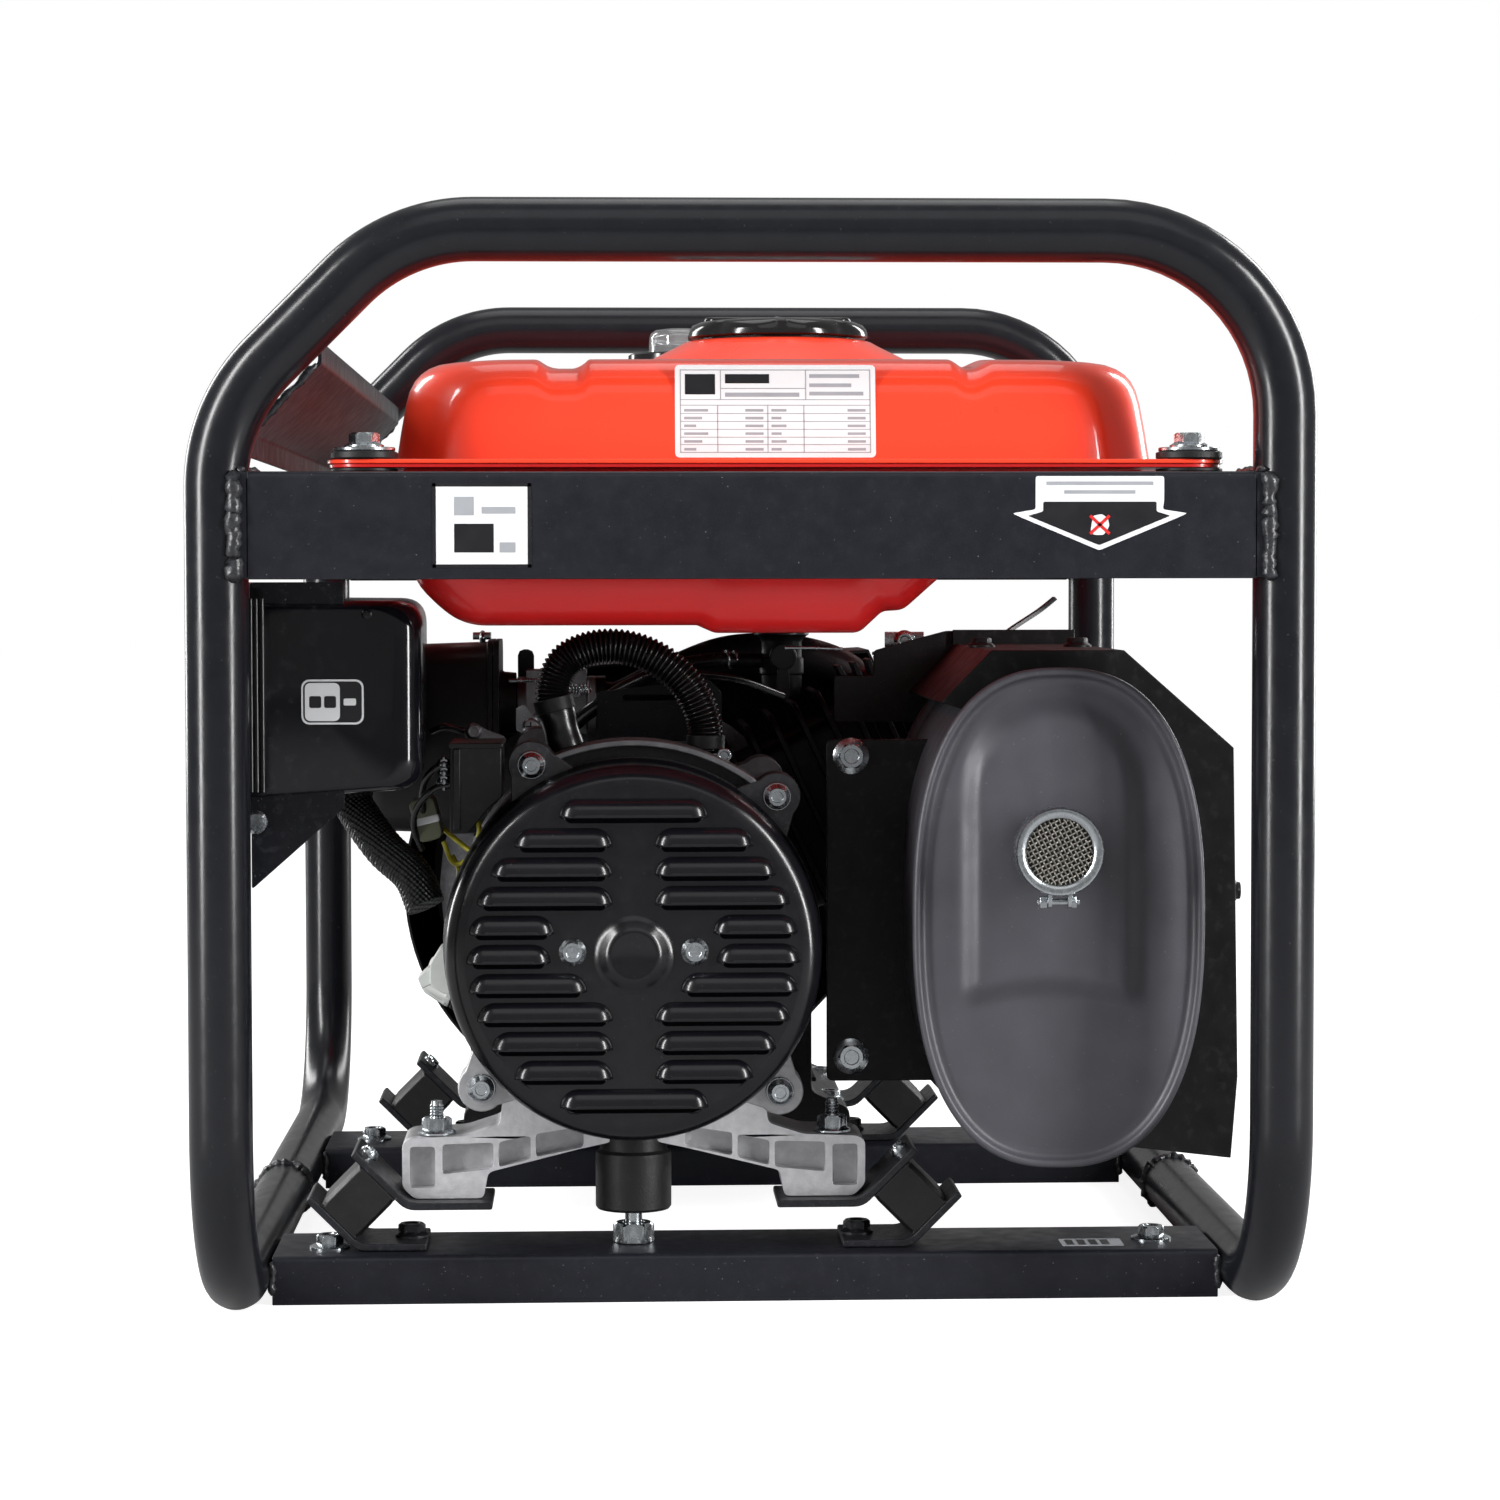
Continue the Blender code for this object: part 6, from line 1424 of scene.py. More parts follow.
# ---------------------------------------------------------------- fuel line
def fuel_line():
    x, y = 0.025, 0.0
    top, spout_z, lever_z = 0.2777, 0.262, 0.264
    body = [(0.0, top), (0.0125, top), (0.0128, top - 0.001), (0.0128, top - 0.0035),
        (0.0105, top - 0.0052), (0.0095, top - 0.007), (0.0095, top - 0.014),
        (0.0104, top - 0.015), (0.0104, 0.256), (0.0095, 0.255), (0.0095, 0.25), (0.0084, 0.2462),
        (0.006, 0.2442), (0.0, 0.244)]
    valve = lathe(body, (x, y, 0.0), sides=48)
    valve = valve + rod((x, y, spout_z), (x - 0.021, y, spout_z), 0.0034, 24, 0.0004)
    valve = valve + rod((x, y, lever_z), (x, y - 0.013, lever_z), 0.0058, 32, 0.0004)
    add("fuel_valve_body", valve, "moulded_black", stands_for=["fuel_valve"], crease=35)
    face = y - 0.0133
    hub = rod((x, face, lever_z), (x, face - 0.0048, lever_z), 0.0064, 40, 0.0006)
    grip = prism("y", rounded([(x - 0.0024, 0.263), (x - 0.0032, 0.245), (x, 0.244),
        (x + 0.0032, 0.245), (x + 0.0024, 0.263)], 0.0012, 3), face - 0.0044, face - 0.001)
    add("fuel_valve_knob", hub + grip, "moulded_black", "fuel_valve_lever",
        stands_for=["fuel_valve_lever"], bevel=0.0004)
    places = [(x - 0.0214, y, spout_z), (-0.006, y, spout_z), (-0.024, 0.004, 0.259),
        (-0.046, 0.012, 0.25), (-0.066, 0.022, 0.237), (-0.079, 0.033, 0.225),
        (-0.082, 0.04, 0.222), (-0.082, 0.0462, 0.222)]
    route = smooth_route(places, 80)
    add("fuel_line_hose", sweep(route, 0.0036, 24), "hose_black", stands_for=["fuel_hose"],
        crease=75)
    springs = []
    for k in (4, 76):
        ahead = (route[k + 1] - route[k - 1]).normalized()
        turn = aimed(route[k], ahead)
        coil = [turn @ Vector((0.0044 * math.cos(t), 0.0044 * math.sin(t), 0.0006 * t - 0.003))
            for t in (math.tau * 1.6 * j / 48 for j in range(49))]
        springs.append(sweep(coil, 0.0006, 8))
    add("fuel_line_clips", together(springs), "zinc_plate", crease=70)


# ---------------------------------------------------------------- engine
def tilted(along, y, side):
    x, z = from_cylinder(along, side)
    return Vector((x, y, z))


def slab(s0, s1, y0, y1, n0, n1, radius=0.0):
    """A block in the tilted cylinder's frame: along it, along Y, and square to both."""
    outline = rectangle((y0, n0), (y1, n1), radius, 4)
    rings = [[tilted(s, y, n) for y, n in outline] for s in (s0, s1)]
    return skinned(rings)


def engine():
    y0, y1 = -0.0198, 0.108
    deck = 0.0655
    outline = [(-0.125, BASE_Z), (-0.125, 0.052), (-0.113, 0.06), (-0.115, 0.125), (-0.106, 0.17),
        (-0.093, 0.189), (-0.064, 0.201), (-0.048, 0.219), from_cylinder(deck, 0.042),
        from_cylinder(deck, -0.04), (0.038, 0.115), (0.038, 0.06), (0.056, 0.052), (0.056, BASE_Z)]
    casing = prism("y", rounded(outline, 0.0035, 3), y0 + 0.0005, y1 - 0.0005)
    boss = rod((-0.1, 0.03, 0.096), (-0.1298, 0.03, 0.1068), 0.0125, 48, 0.0008)
    ribs = []
    for k in range(5):
        z = 0.06 + k * 0.012
        ribs.append(block((-0.1165, y0 + 0.004, z), (-0.1125, 0.016, z + 0.0025)))
    ribs.append(block((0.0375, y0 + 0.006, 0.064), (0.0405, 0.1, 0.066)))
    add("crankcase_body", casing + boss + together(ribs), "engine_paint", stands_for=["crankcase"],
        bevel=0.0009)
    cover = [around_crank(0.064, 360 * k / 72) for k in range(72)]
    add("crankcase_side_cover", prism("y", cover, y1 - 0.001, y1 + 0.003), "engine_paint",
        bevel=0.0008)
    rim = [around_crank(0.0585, angle) for angle in range(30, 360, 60)]
    heads = [bolt((x, y1 + 0.003, z), AXIS_Y, 0.008, 0.0036, flange=0.0056) for x, z in rim]
    heads.append(bolt((-0.113, -0.002, 0.07), -AXIS_X, 0.011, 0.006, flange=0.008))
    heads += [bolt((x, y, 0.0521), AXIS_Z, 0.01, 0.005, flange=0.0075)
        for x, y in ((-0.119, 0.008), (-0.119, 0.09), (0.0475, 0.008), (0.0475, 0.09))]
    add("engine_bolts", together(heads), "zinc_plate")

    core = slab(0.0655, 0.176, CYL_Y - 0.04, CYL_Y + 0.04, -0.04, 0.04, 0.006)
    fins = [slab(0.072 + k * 0.0124, 0.0746 + k * 0.0124, CYL_Y - 0.0508, CYL_Y + 0.0508, -0.0536,
        0.0536, 0.01) for k in range(8)]
    between = [slab(0.134 + k * 0.0062, 0.1356 + k * 0.0062, CYL_Y - 0.047, CYL_Y + 0.047, -0.048,
        0.05, 0.008) for k in range(5)]
    add("cylinder_fins", core + together(fins) + together(between), "engine_paint",
        stands_for=["cylinder"], bevel=0.0006)
    inlet = [(-0.06, 0.0625, 0.24), (-0.051, 0.0625, 0.24), (-0.03, 0.06, 0.25),
        (0.0, 0.052, 0.262), (0.03, 0.047, 0.263), (0.055, CYL_Y, 0.256), (0.07, CYL_Y, 0.242)]
    pipe = sweep(smooth_route(inlet, 48), 0.0106, 32)
    pipe = pipe + prism("x", rectangle((0.0415, 0.227), (0.0835, 0.253), 0.008), -0.0624, -0.058)
    add("inlet_pipe", pipe, "engine_paint", bevel=0.0006)

    rings = []
    for s, inset in ((0.1763, 0.0), (0.1785, 0.0), (0.179, 0.004), (0.193, 0.0052),
            (0.1975, 0.007), (0.1995, 0.0105), (0.2, 0.015)):
        ring = rectangle((CYL_Y - 0.0338 + inset, -0.0318 + inset), (CYL_Y + 0.0338 - inset,
            0.0398 - inset), 0.008 - inset * 0.2, 5)
        rings.append([tilted(s, y, n) for y, n in ring])
    add("valve_cover_pressing", skinned(rings), "engine_paint", stands_for=["valve_cover"],
        crease=32)
    c, s = math.cos(CYL_TILT), math.sin(CYL_TILT)
    axis = Vector((c, 0.0, s))
    studs = [bolt(tilted(0.1785, CYL_Y + dy, 0.004), axis, 0.008, 0.004, flange=0.0058)
        for dy in (-0.0305, 0.0305)]
    add("valve_cover_bolts", together(studs), "zinc_plate")

    start = tilted(0.156, CYL_Y, -0.044)
    direction = Vector((c + s, 0.0, s - c)).normalized()
    plug = [(0.0, 0.048), (0.003, 0.048), (0.003, 0.042), (0.0052, 0.0412), (0.0056, 0.027),
        (0.0098, 0.0265, hexed), (0.0098, 0.019, hexed), (0.0, 0.019)]
    add("spark_plug_body", lathe(plug, start, direction, 48), "zinc_plate",
        stands_for=["spark_plug"])
    boot = [(0.0, 0.056), (0.0085, 0.0558), (0.0098, 0.0545), (0.011, 0.052), (0.0104, 0.05),
        (0.011, 0.048), (0.0104, 0.046), (0.011, 0.044), (0.011, 0.03), (0.008, 0.0278),
        (0.0062, 0.0278), (0.0062, 0.05), (0.0, 0.05)]
    elbow = start + direction * 0.054
    lead = [elbow, elbow + Vector((0.002, 0.022, -0.004)), (0.15, 0.093, 0.129),
        (0.118, 0.104, 0.122), (0.088, 0.1045, 0.124), (0.072, 0.106, 0.132),
        (0.064, 0.118, 0.137)]
    add("plug_boot_and_lead", lathe(boot, start, direction, 48) + sweep(smooth_route(lead, 70),
        0.0035, 20), "hose_black", stands_for=["spark_plug_cap"], crease=40)
    repaint("crankshaft", "steel_turned")
    # The flywheel takes a darker copy of the cast metal: painted shade.
    repaint("flywheel", "cast_dull")


def filler_plug():
    direction = Vector((-0.03, 0.0, 0.0109)).normalized()
    mouth = Vector((-0.13, 0.03, 0.1069)) + direction * 0.0003
    knurl = lobed(12, 0.06)
    profile = [(0.0, 0.015), (0.0065, 0.015), (0.008, 0.0144), (0.0095, 0.0125, knurl),
        (0.0112, 0.006, knurl), (0.0118, 0.003, knurl), (0.0122, 0.0022), (0.0122, 0.0),
        (0.005, 0.0), (0.005, -0.014), (0.0022, -0.015), (0.0022, -0.044), (0.0, -0.044)]
    add("oil_plug", lathe(profile, mouth, direction, 96), "moulded_grey", "oil_dipstick",
        stands_for=["oil_dipstick"], crease=40)


# ---------------------------------------------------------------- starter end
def shroud():
    reach, half, radius = 0.16, 0.056, 0.112
    tilt = math.degrees(CYL_TILT)

    def outline(wall):
        points = [from_cylinder(reach - wall, half - wall)]
        for step in range(55):
            points.append(around_crank(radius - wall, tilt + 72 + step * 4))
        points.append(from_cylinder(reach - wall, -half + wall))
        return [Vector((x, 0.0, z)) for x, z in points]

    def level(wall, y):
        return [Vector((point.x, y, point.z)) for point in outline(wall)]

    y0, y1 = 0.112, 0.2
    sheet = 0.0012
    outer = [level(0.0, y0), level(0.0, y0 + 0.003), level(0.0, y0 + 0.0034),
        level(0.0, y1 - 0.01), level(0.0007, y1 - 0.0064), level(0.0028, y1 - 0.003),
        level(0.0062, y1 - 0.0008), level(0.01, y1)]
    inner = [level(sheet, y0), level(sheet, y1 - 0.01), level(0.01 + sheet, y1 - sheet)]
    cup = skinned(outer, caps=False) + skinned(inner, caps=False)
    face = [(point.x, point.z) for point in outline(0.01)]
    hole = circle((CRANK_X, CRANK_Z), 0.072, 72)
    end = prism("y", face, y1 - sheet, y1, [hole])
    hem = skinned([level(0.0, y0), level(sheet, y0)], caps=False)
    add("shroud_pressing", cup + end + hem, "engine_paint", stands_for=["fan_shroud"], crease=40)
    spots = [around_crank(0.0965, angle) for angle in (118, 205, 292)]
    spots += [from_cylinder(0.145, n) for n in (0.04, -0.04)]
    heads = [bolt((x, y1, z), AXIS_Y, 0.008, 0.0038, flange=0.0058) for x, z in spots]
    add("shroud_bolts", together(heads), "zinc_plate")
    bars = []
    for k in range(6):
        s = 0.088 + k * 0.0085
        a, b = from_cylinder(s, -0.03), from_cylinder(s, 0.03)
        bars.append(sweep([(a[0], y1 + 0.0002, a[1]), (b[0], y1 + 0.0002, b[1])], 0.0014, 12))
    add("shroud_ribs", together(bars), "engine_paint", crease=60)


def recoil():
    y0, y1 = 0.2003, 0.262
    slots = []
    for index in range(12):
        if index in (3, 9, 10):
            continue
        angle = math.radians(30 * (index + 0.5) - 10)
        c, s = math.cos(angle), math.sin(angle)
        slot = [(CRANK_X + u * c - v * s, CRANK_Z + u * s + v * c)
            for u, v in rectangle((0.0475, -0.0038), (0.069, 0.0038), 0.0036, 4)]
        if min(math.hypot(x - ROPE_X, z - ROPE_Z) for x, z in slot) > 0.0115:
            slots.append(slot)
    rope_hole = circle((ROPE_X, ROPE_Z), 0.0035, 20)
    face = prism("y", circle((CRANK_X, CRANK_Z), 0.0745, 96), y1 - 0.003, y1 - 0.0014,
        [rope_hole, *slots])
    rim = [(0.0745, y1 - 0.0014), (0.0762, y1 - 0.0006), (0.0785, y1 - 0.0014),
        (0.0815, y1 - 0.0048), (0.0838, y1 - 0.009), (0.0848, y1 - 0.015), (0.085, y0 + 0.005),
        (0.0852, y0 + 0.003), (0.0852, y0), (0.0835, y0), (0.0832, y1 - 0.011),
        (0.0765, y1 - 0.003), (0.0745, y1 - 0.003)]
    add("recoil_face", face, "moulded_black", stands_for=["recoil_housing"], bevel=0.0005)
    add("recoil_rim", along_crank(rim, 144, closed=True), "moulded_black", crease=50)
    hub = [(0.0, y1 + 0.0002), (0.02, y1 + 0.0002), (0.0225, y1 - 0.0003), (0.024, y1 - 0.0014),
        (0.0, y1 - 0.0014)]
    ring = [(0.04, y1 - 0.0014), (0.041, y1 - 0.0004), (0.0425, y1 - 0.0004),
        (0.0435, y1 - 0.0014)]
    post = [(0.0, y0 + 0.012), (0.011, y0 + 0.012), (0.011, y1 - 0.003), (0.0, y1 - 0.003)]
    add("recoil_hub", along_crank(hub, 72) + along_crank(ring, 96, closed=True)
        + along_crank(post, 48), "moulded_black", crease=40)
    spout = lathe([(0.0036, y1 - 0.003), (0.0115, y1 - 0.003), (0.0105, y1 - 0.0012),
        (0.0092, y1 + 0.001), (0.0086, y1 + 0.005), (0.0078, y1 + 0.006), (0.0048, y1 + 0.006),
        (0.0036, y1 + 0.0048)], (ROPE_X, 0.0, ROPE_Z), AXIS_Y, 48, closed=True)
    add("rope_outlet", spout, "moulded_black", crease=45)
    spots = [around_crank(0.08, angle) for angle in (35, 145, 270)]
    feet = [bolt((x, y1 - 0.006, z), AXIS_Y, 0.008, 0.0038, flange=0.0056) for x, z in spots]
    add("recoil_bolts", together(feet), "zinc_plate")
    repaint("starter_pulley", "moulded_grey")

    y = y1 + 0.0063
    place = (ROPE_X, y, ROPE_Z)
    grip_y, grip_half = y + 0.0195, 0.044
    stem = lathe([(0.0, 0.0), (0.0072, 0.0), (0.0077, 0.001), (0.008, 0.006), (0.0092, 0.011),
        (0.01, 0.014), (0.0, 0.015)], place, AXIS_Y, 40)
    rings = []
    for k in range(25):
        x = grip_half * (k / 12 - 1)
        share = abs(x) / grip_half
        wide = 0.0104 * (1 - 0.12 * math.cos(math.pi * share))
        wide = min(wide * (1 - max(0.0, share - 0.9) ** 2 * 40), 0.0105)
        rings.append([Vector((ROPE_X + x, v, w))
            for v, w in oval((grip_y, ROPE_Z), (wide, wide * 0.94), 32, 2)])
    ribs = [lathe([(0.0086, -0.0006), (0.0106, -0.0006), (0.0106, 0.0006), (0.0086, 0.0006)],
        (ROPE_X + dx, grip_y, ROPE_Z), AXIS_X, 32, closed=True)
        for dx in (-0.032, -0.028, -0.024, 0.024, 0.028, 0.032)]
    add("pull_handle", stem + skinned(rings) + together(ribs), "moulded_black", "starter_handle",
        stands_for=["starter_handle"], crease=40)
    rope_path = straight((ROPE_X, y1 - 0.03, ROPE_Z), (ROPE_X, y + 0.002, ROPE_Z), 24)
    rope = add("starter_rope", sweep(rope_path, 0.0022, 16), "label_grey", body=None, crease=75)
    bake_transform(rope)


# ---------------------------------------------------------------- intake
def intake():
    cy, cz = 0.0625, 0.24
    x0, x1 = -0.101, -0.0625
    body = block((x0 + 0.0045, cy - 0.0155, cz - 0.0145), (x1 - 0.0045, cy + 0.0155, cz + 0.0165))
    barrel = lathe([(0.0086, 0.0), (0.0126, 0.0), (0.013, 0.0006), (0.013, 0.0379),
        (0.0126, 0.0385), (0.0086, 0.0385)], (x0, cy, cz), AXIS_X, 48, closed=True)
    bowl = lathe([(0.0, cz - 0.0332), (0.011, cz - 0.033), (0.0142, cz - 0.031),
        (0.0152, cz - 0.027), (0.0158, cz - 0.014), (0.0168, cz - 0.0138), (0.0168, cz - 0.012),
        (0.0, cz - 0.012)], (-0.082, cy, 0.0), AXIS_Z, 56)
    flange = prism("x", centred((cy, cz), 0.021, 0.013, 0.008), x1 - 0.004, x1)
    add("carburettor_casting", body + barrel + bowl + flange, "zinc_cast",
        stands_for=["carburetor"], bevel=0.0008)
    screws = bolt((-0.082, cy, cz - 0.0332), -AXIS_Z, 0.008, 0.004)
    screws = screws + bolt((-0.072, cy - 0.0155, cz + 0.006), -AXIS_Y, 0.005, 0.006)
    screws = screws + screw((-0.09, cy - 0.0155, cz - 0.006), -AXIS_Y, 0.003, 0.002)
    add("carburettor_screws", screws, "zinc_plate")
    repaint("choke_lever", "moulded_black")
    repaint("throttle_arm", "zinc_plate")

    ay, az = (0.034, 0.11), (0.176, 0.271)
    rings = []
    for x, inset in ((-0.1123, 0.0), (-0.1145, 0.0), (-0.115, 0.0014), (-0.164, 0.003),
            (-0.1755, 0.0046), (-0.18, 0.0074), (-0.183, 0.012), (-0.1842, 0.017)):
        ring = rectangle((ay[0] + inset, az[0] + inset), (ay[1] - inset, az[1] - inset), 0.01, 6)
        rings.append([Vector((x, y, z)) for y, z in ring])
    shell = skinned(rings, caps=False)
    cap = Shape(rings[-1], [tuple(range(len(rings[-1])))])
    add("filter_cover_shell", shell + cap, "moulded_black", "air_filter_cover",
        stands_for=["air_filter_cover"], crease=32)
    ridges = [prism("y", rounded([(-0.1838, z - 0.0016), (-0.1852, z - 0.001),
        (-0.1852, z + 0.001), (-0.1838, z + 0.0016)], 0.0004, 2), ay[0] + 0.02, ay[1] - 0.02)
        for z in (0.2035, 0.2135, 0.2235, 0.2335, 0.2435)]
    add("filter_cover_ridges", together(ridges), "moulded_black", "air_filter_cover", bevel=0.0004)
    clips = []
    for z, sign in ((az[1], 1), (az[0], -1)):
        path = [(-0.118, y, z + sign * lift) for y, lift in ((0.06, -0.002), (0.06, 0.0022),
            (0.072, 0.0034), (0.084, 0.0022), (0.084, -0.002))]
        clips.append(sweep(smooth_route(path, 30), 0.0011, 10))
        clips.append(prism("x", rectangle((0.064, min(z, z + sign * 0.0035)),
            (0.08, max(z, z + sign * 0.0035)), 0.001), -0.1225, -0.114))
    add("filter_cover_clips", together(clips), "zinc_plate", "air_filter_cover", bevel=0.0003)
    base = prism("x", rectangle((ay[0], az[0]), (ay[1], az[1]), 0.01, 6), -0.112, -0.109,
        [circle((cy, cz), 0.0112, 32)])
    collar = lathe([(0.0112, -0.1095), (0.017, -0.1095), (0.0155, -0.107), (0.015, -0.1013),
        (0.0112, -0.1013)], (0.0, cy, cz), AXIS_X, 48, closed=True)
    add("filter_base_plate", base + collar, "moulded_black", stands_for=["air_filter_base"],
        bevel=0.0006)
    repaint("air_filter_element", "filter_foam")


# ---------------------------------------------------------------- linkage over the engine
def linkage():
    thin = sweep([(0.0205, -0.12, 0.27), (0.033, -0.12, 0.27), (0.046, -0.12, 0.2695)], 0.0007, 10)
    long_rod = sweep(smooth_route([(-0.104, 0.025, 0.252), (-0.09, 0.025, 0.2522),
        (-0.078, 0.026, 0.2525), (-0.071, 0.04, 0.26)], 40), 0.001, 12)
    coil = []
    for k in range(241):
        t = math.tau * 15 * k / 240
        coil.append((-0.087 + 0.022 * k / 240, 0.02 + 0.0022 * math.cos(t),
            0.248 + 0.0022 * math.sin(t)))
    add("throttle_rods", thin + long_rod + sweep(coil, 0.0004, 7), "zinc_plate", crease=70)
    arm = prism("y", rounded([(-0.1, 0.23), (-0.088, 0.224), (-0.086, 0.229), (-0.09, 0.233),
        (-0.096, 0.242), (-0.1, 0.24)], 0.0015, 3), -0.011, -0.0095)
    arm = arm + screw((-0.093, -0.011, 0.2315), -AXIS_Y, 0.004, 0.0024)
    # The screw's cross is black on the steel: painted shade in the recess.
    add("governor_arm", arm, ["steel_turned", "label_black"], bevel=0.0003)
    plate = prism("y", rounded([(-0.062, 0.248), (-0.01, 0.254), (-0.004, 0.248), (-0.004, 0.225),
        (-0.062, 0.225)], 0.002, 3), -0.024, -0.0225, [rectangle((-0.05, 0.244), (-0.022, 0.2465),
        0.0012, 4)])
    add("linkage_plate", plate, "sheet_black", bevel=0.0004)
    angle = prism("x", rounded([(-0.05, 0.267), (-0.05, 0.276), (-0.0484, 0.276),
        (-0.0484, 0.2686), (-0.038, 0.2686), (-0.038, 0.267)], 0.0004, 2), 0.07, 0.088)
    angle = angle + bolt((0.079, -0.05, 0.2718), -AXIS_Y, 0.007, 0.0032, flange=0.005)
    add("zinc_angle", angle, "zinc_plate", bevel=0.0002)
    folded = [(0.0461, 0.235), (0.0461, 0.256), (0.0643, 0.256), (0.0643, 0.2676),
        (0.0858, 0.2735), (0.0972, 0.2765), (0.115, 0.2765), (0.12, 0.27), (0.12, 0.235)]
    deflector = prism("y", rounded(folded, 0.0012, 2), -0.059, -0.0574)
    deflector = deflector + prism("y", [(0.0655, 0.2664), (0.0858, 0.272), (0.0972, 0.275),
        (0.114, 0.275), (0.114, 0.2735), (0.0972, 0.2735), (0.0858, 0.2705), (0.0655, 0.2649)],
        -0.0574, -0.03)
    tips = [prism("y", [(x, 0.256), (x - 0.0022, z), (x - 0.0002, z + 0.0004), (x + 0.003, 0.256)],
        -0.0585, -0.03) for x, z in ((0.0492, 0.2606), (0.0566, 0.262), (0.0632, 0.2634))]
    add("air_deflector", deflector + together(tips), "engine_paint", bevel=0.0004)
    stay = [(0.1215, -0.048, 0.2725), (0.129, -0.044, 0.278), (0.142, -0.038, 0.286),
        (0.15, -0.035, 0.292)]
    strip = []
    for x, y, z in smooth_route(stay, 16):
        strip.append([Vector((x + dx, y + dy, z + dz)) for dx, dy, dz in (
            (-0.0004, -0.0042, 0.0), (-0.0004, 0.0042, 0.0), (0.0008, 0.0042, -0.0014),
            (0.0008, -0.0042, -0.0014))])
    add("tank_stay", skinned(strip), "sheet_black", bevel=0.0003)
    heads = [bolt((0.101 + dx, -0.14, 0.2705), AXIS_Z, 0.008, 0.004, flange=0.006)
        for dx in (0.004, 0.046)]
    add("shield_top_bolts", together(heads), "shield_black")


# ---------------------------------------------------------------- control box and panel
def control_box():
    y0, y1 = -0.24, 0.025
    x0, x1, z0, z1 = -0.2017, -0.133, 0.212, 0.2915
    rings = []
    sweep_in = [(y0 - 0.0022 + 0.01 * (1 - math.cos(a)), 0.01 * (1 - math.sin(a)))
        for a in (math.pi / 2 * k / 8 for k in range(9))]
    for y, inset in [*sweep_in, (y0 + 0.03, 0.0), (y1, 0.01)]:
        edge = min(inset, 0.01) * 0.35 if y < y0 + 0.03 else 0.0
        corners = [(x0, z0 - 0.0015 + edge), (x1 - inset, z0 + 0.003 + edge),
            (x1 - inset, z1 - edge), (x0, z1 + 0.0005 - edge)]
        rings.append([Vector((x, y, z)) for x, z in rounded(corners, [0.0, 0.011, 0.012, 0.0], 8)])
    add("control_box_sheet", skinned(rings), "box_black", stands_for=["control_box"], crease=32)
    gusset = [(x0, 0.299), (-0.164, 0.299), (-0.164, 0.208), (-0.166, 0.206), (x0, 0.1745)]
    web = prism("y", rounded(gusset, 0.0015, 3), y0 - 0.0004, y0 + 0.0012)
    add("control_box_gusset", web, "sheet_black", bevel=0.0004)
    folds = [rod((x, y0 - 0.003, z0 + 0.002), (x, y0 - 0.003, z1 + 0.001), 0.001, 24, 0.0003)
        for x in (-0.2012, -0.199, -0.1966)]
    add("control_box_folds", together(folds), "gloss_black")
    add("gusset_bolt", bolt((-0.2, y0 - 0.0004, 0.202), -AXIS_Y, 0.007, 0.0034, flange=0.0048),
        "zinc_plate")
    face = y0 - 0.0022
    layers = [      # corners, corner radius, depth of its back and front, skin
        ((-0.181, 0.2415), (-0.1559, 0.2597), 0.0032, 0.0, 0.0002, 0),
        ((-0.1802, 0.2423), (-0.1567, 0.2589), 0.0026, 0.0002, 0.0003, 1),
        ((-0.1796, 0.2429), (-0.1655, 0.2583), 0.0022, 0.0003, 0.0004, 0),
        ((-0.1778, 0.2482), (-0.173, 0.253), 0.0008, 0.0004, 0.0005, 1),
        ((-0.1718, 0.2482), (-0.167, 0.253), 0.0008, 0.0004, 0.0005, 1),
        ((-0.164, 0.2492), (-0.159, 0.252), 0.0006, 0.0003, 0.0004, 0)]
    card = together(prism("y", rectangle(low, high, radius), face - front, face - back).skin(skin)
        for low, high, radius, back, front, skin in layers)
    add("box_panel", card, ["label_white", "label_black"])
    dot = screw((-0.1545, y0 - 0.0022, 0.2862), -AXIS_Y, 0.0022, 0.001)
    # The screw's cross is in label black: painted shade in the recess.
    add("box_screws", dot, ["sheet_black", "label_black"])


def control_panel():
    px = PANEL_X
    holes = [rectangle((SOCKET_YS[0] - 0.0265, 0.2265), (SOCKET_YS[1] + 0.0265, 0.2735), 0.002),
        circle(VOLTMETER, 0.0184, 48), centred(BREAKER, 0.006, 0.011, 0.001),
        centred(SWITCH, 0.008, 0.012, 0.001), circle(BUTTON, 0.0055, 24),
        circle(GROUND, 0.0045, 20)]
    sheet = prism("x", rectangle((-0.276, 0.2), (0.03, 0.299), 0.006, 6), px, px + 0.0015, holes)
    add("panel_sheet", sheet, "panel_black", stands_for=["control_panel"], bevel=0.0004)
    corner = [screw((px, y, z), -AXIS_X, 0.0036, 0.002) for y in (-0.268, -0.123, 0.022)
        for z in (0.208, 0.291)]
    # The screws' crosses are black on the zinc: painted shade in the recesses.
    add("panel_screws", together(corner), ["zinc_plate", "label_black"])
    bars = []
    for y, z, wide in ((-0.183, 0.287, 0.04), (-0.056, 0.24, 0.018), (-0.1, 0.279, 0.016),
            (-0.008, 0.248, 0.014), (-0.068, 0.222, 0.014), (0.006, 0.206, 0.014)):
        bars.append(block((px - 0.00015, y - wide / 2, z - 0.0012),
            (px, y + wide / 2, z + 0.0012)))
    for y, z in ((-0.008, 0.2845), (-0.008, 0.2505)):
        bars.append(prism("x", circle((y, z), 0.0018, 20), px - 0.0001, px))
    stripe = block((px - 0.00015, -0.27, 0.2145), (px, -0.1, 0.2155))
    add("panel_print", together(bars) + stripe, "label_grey")


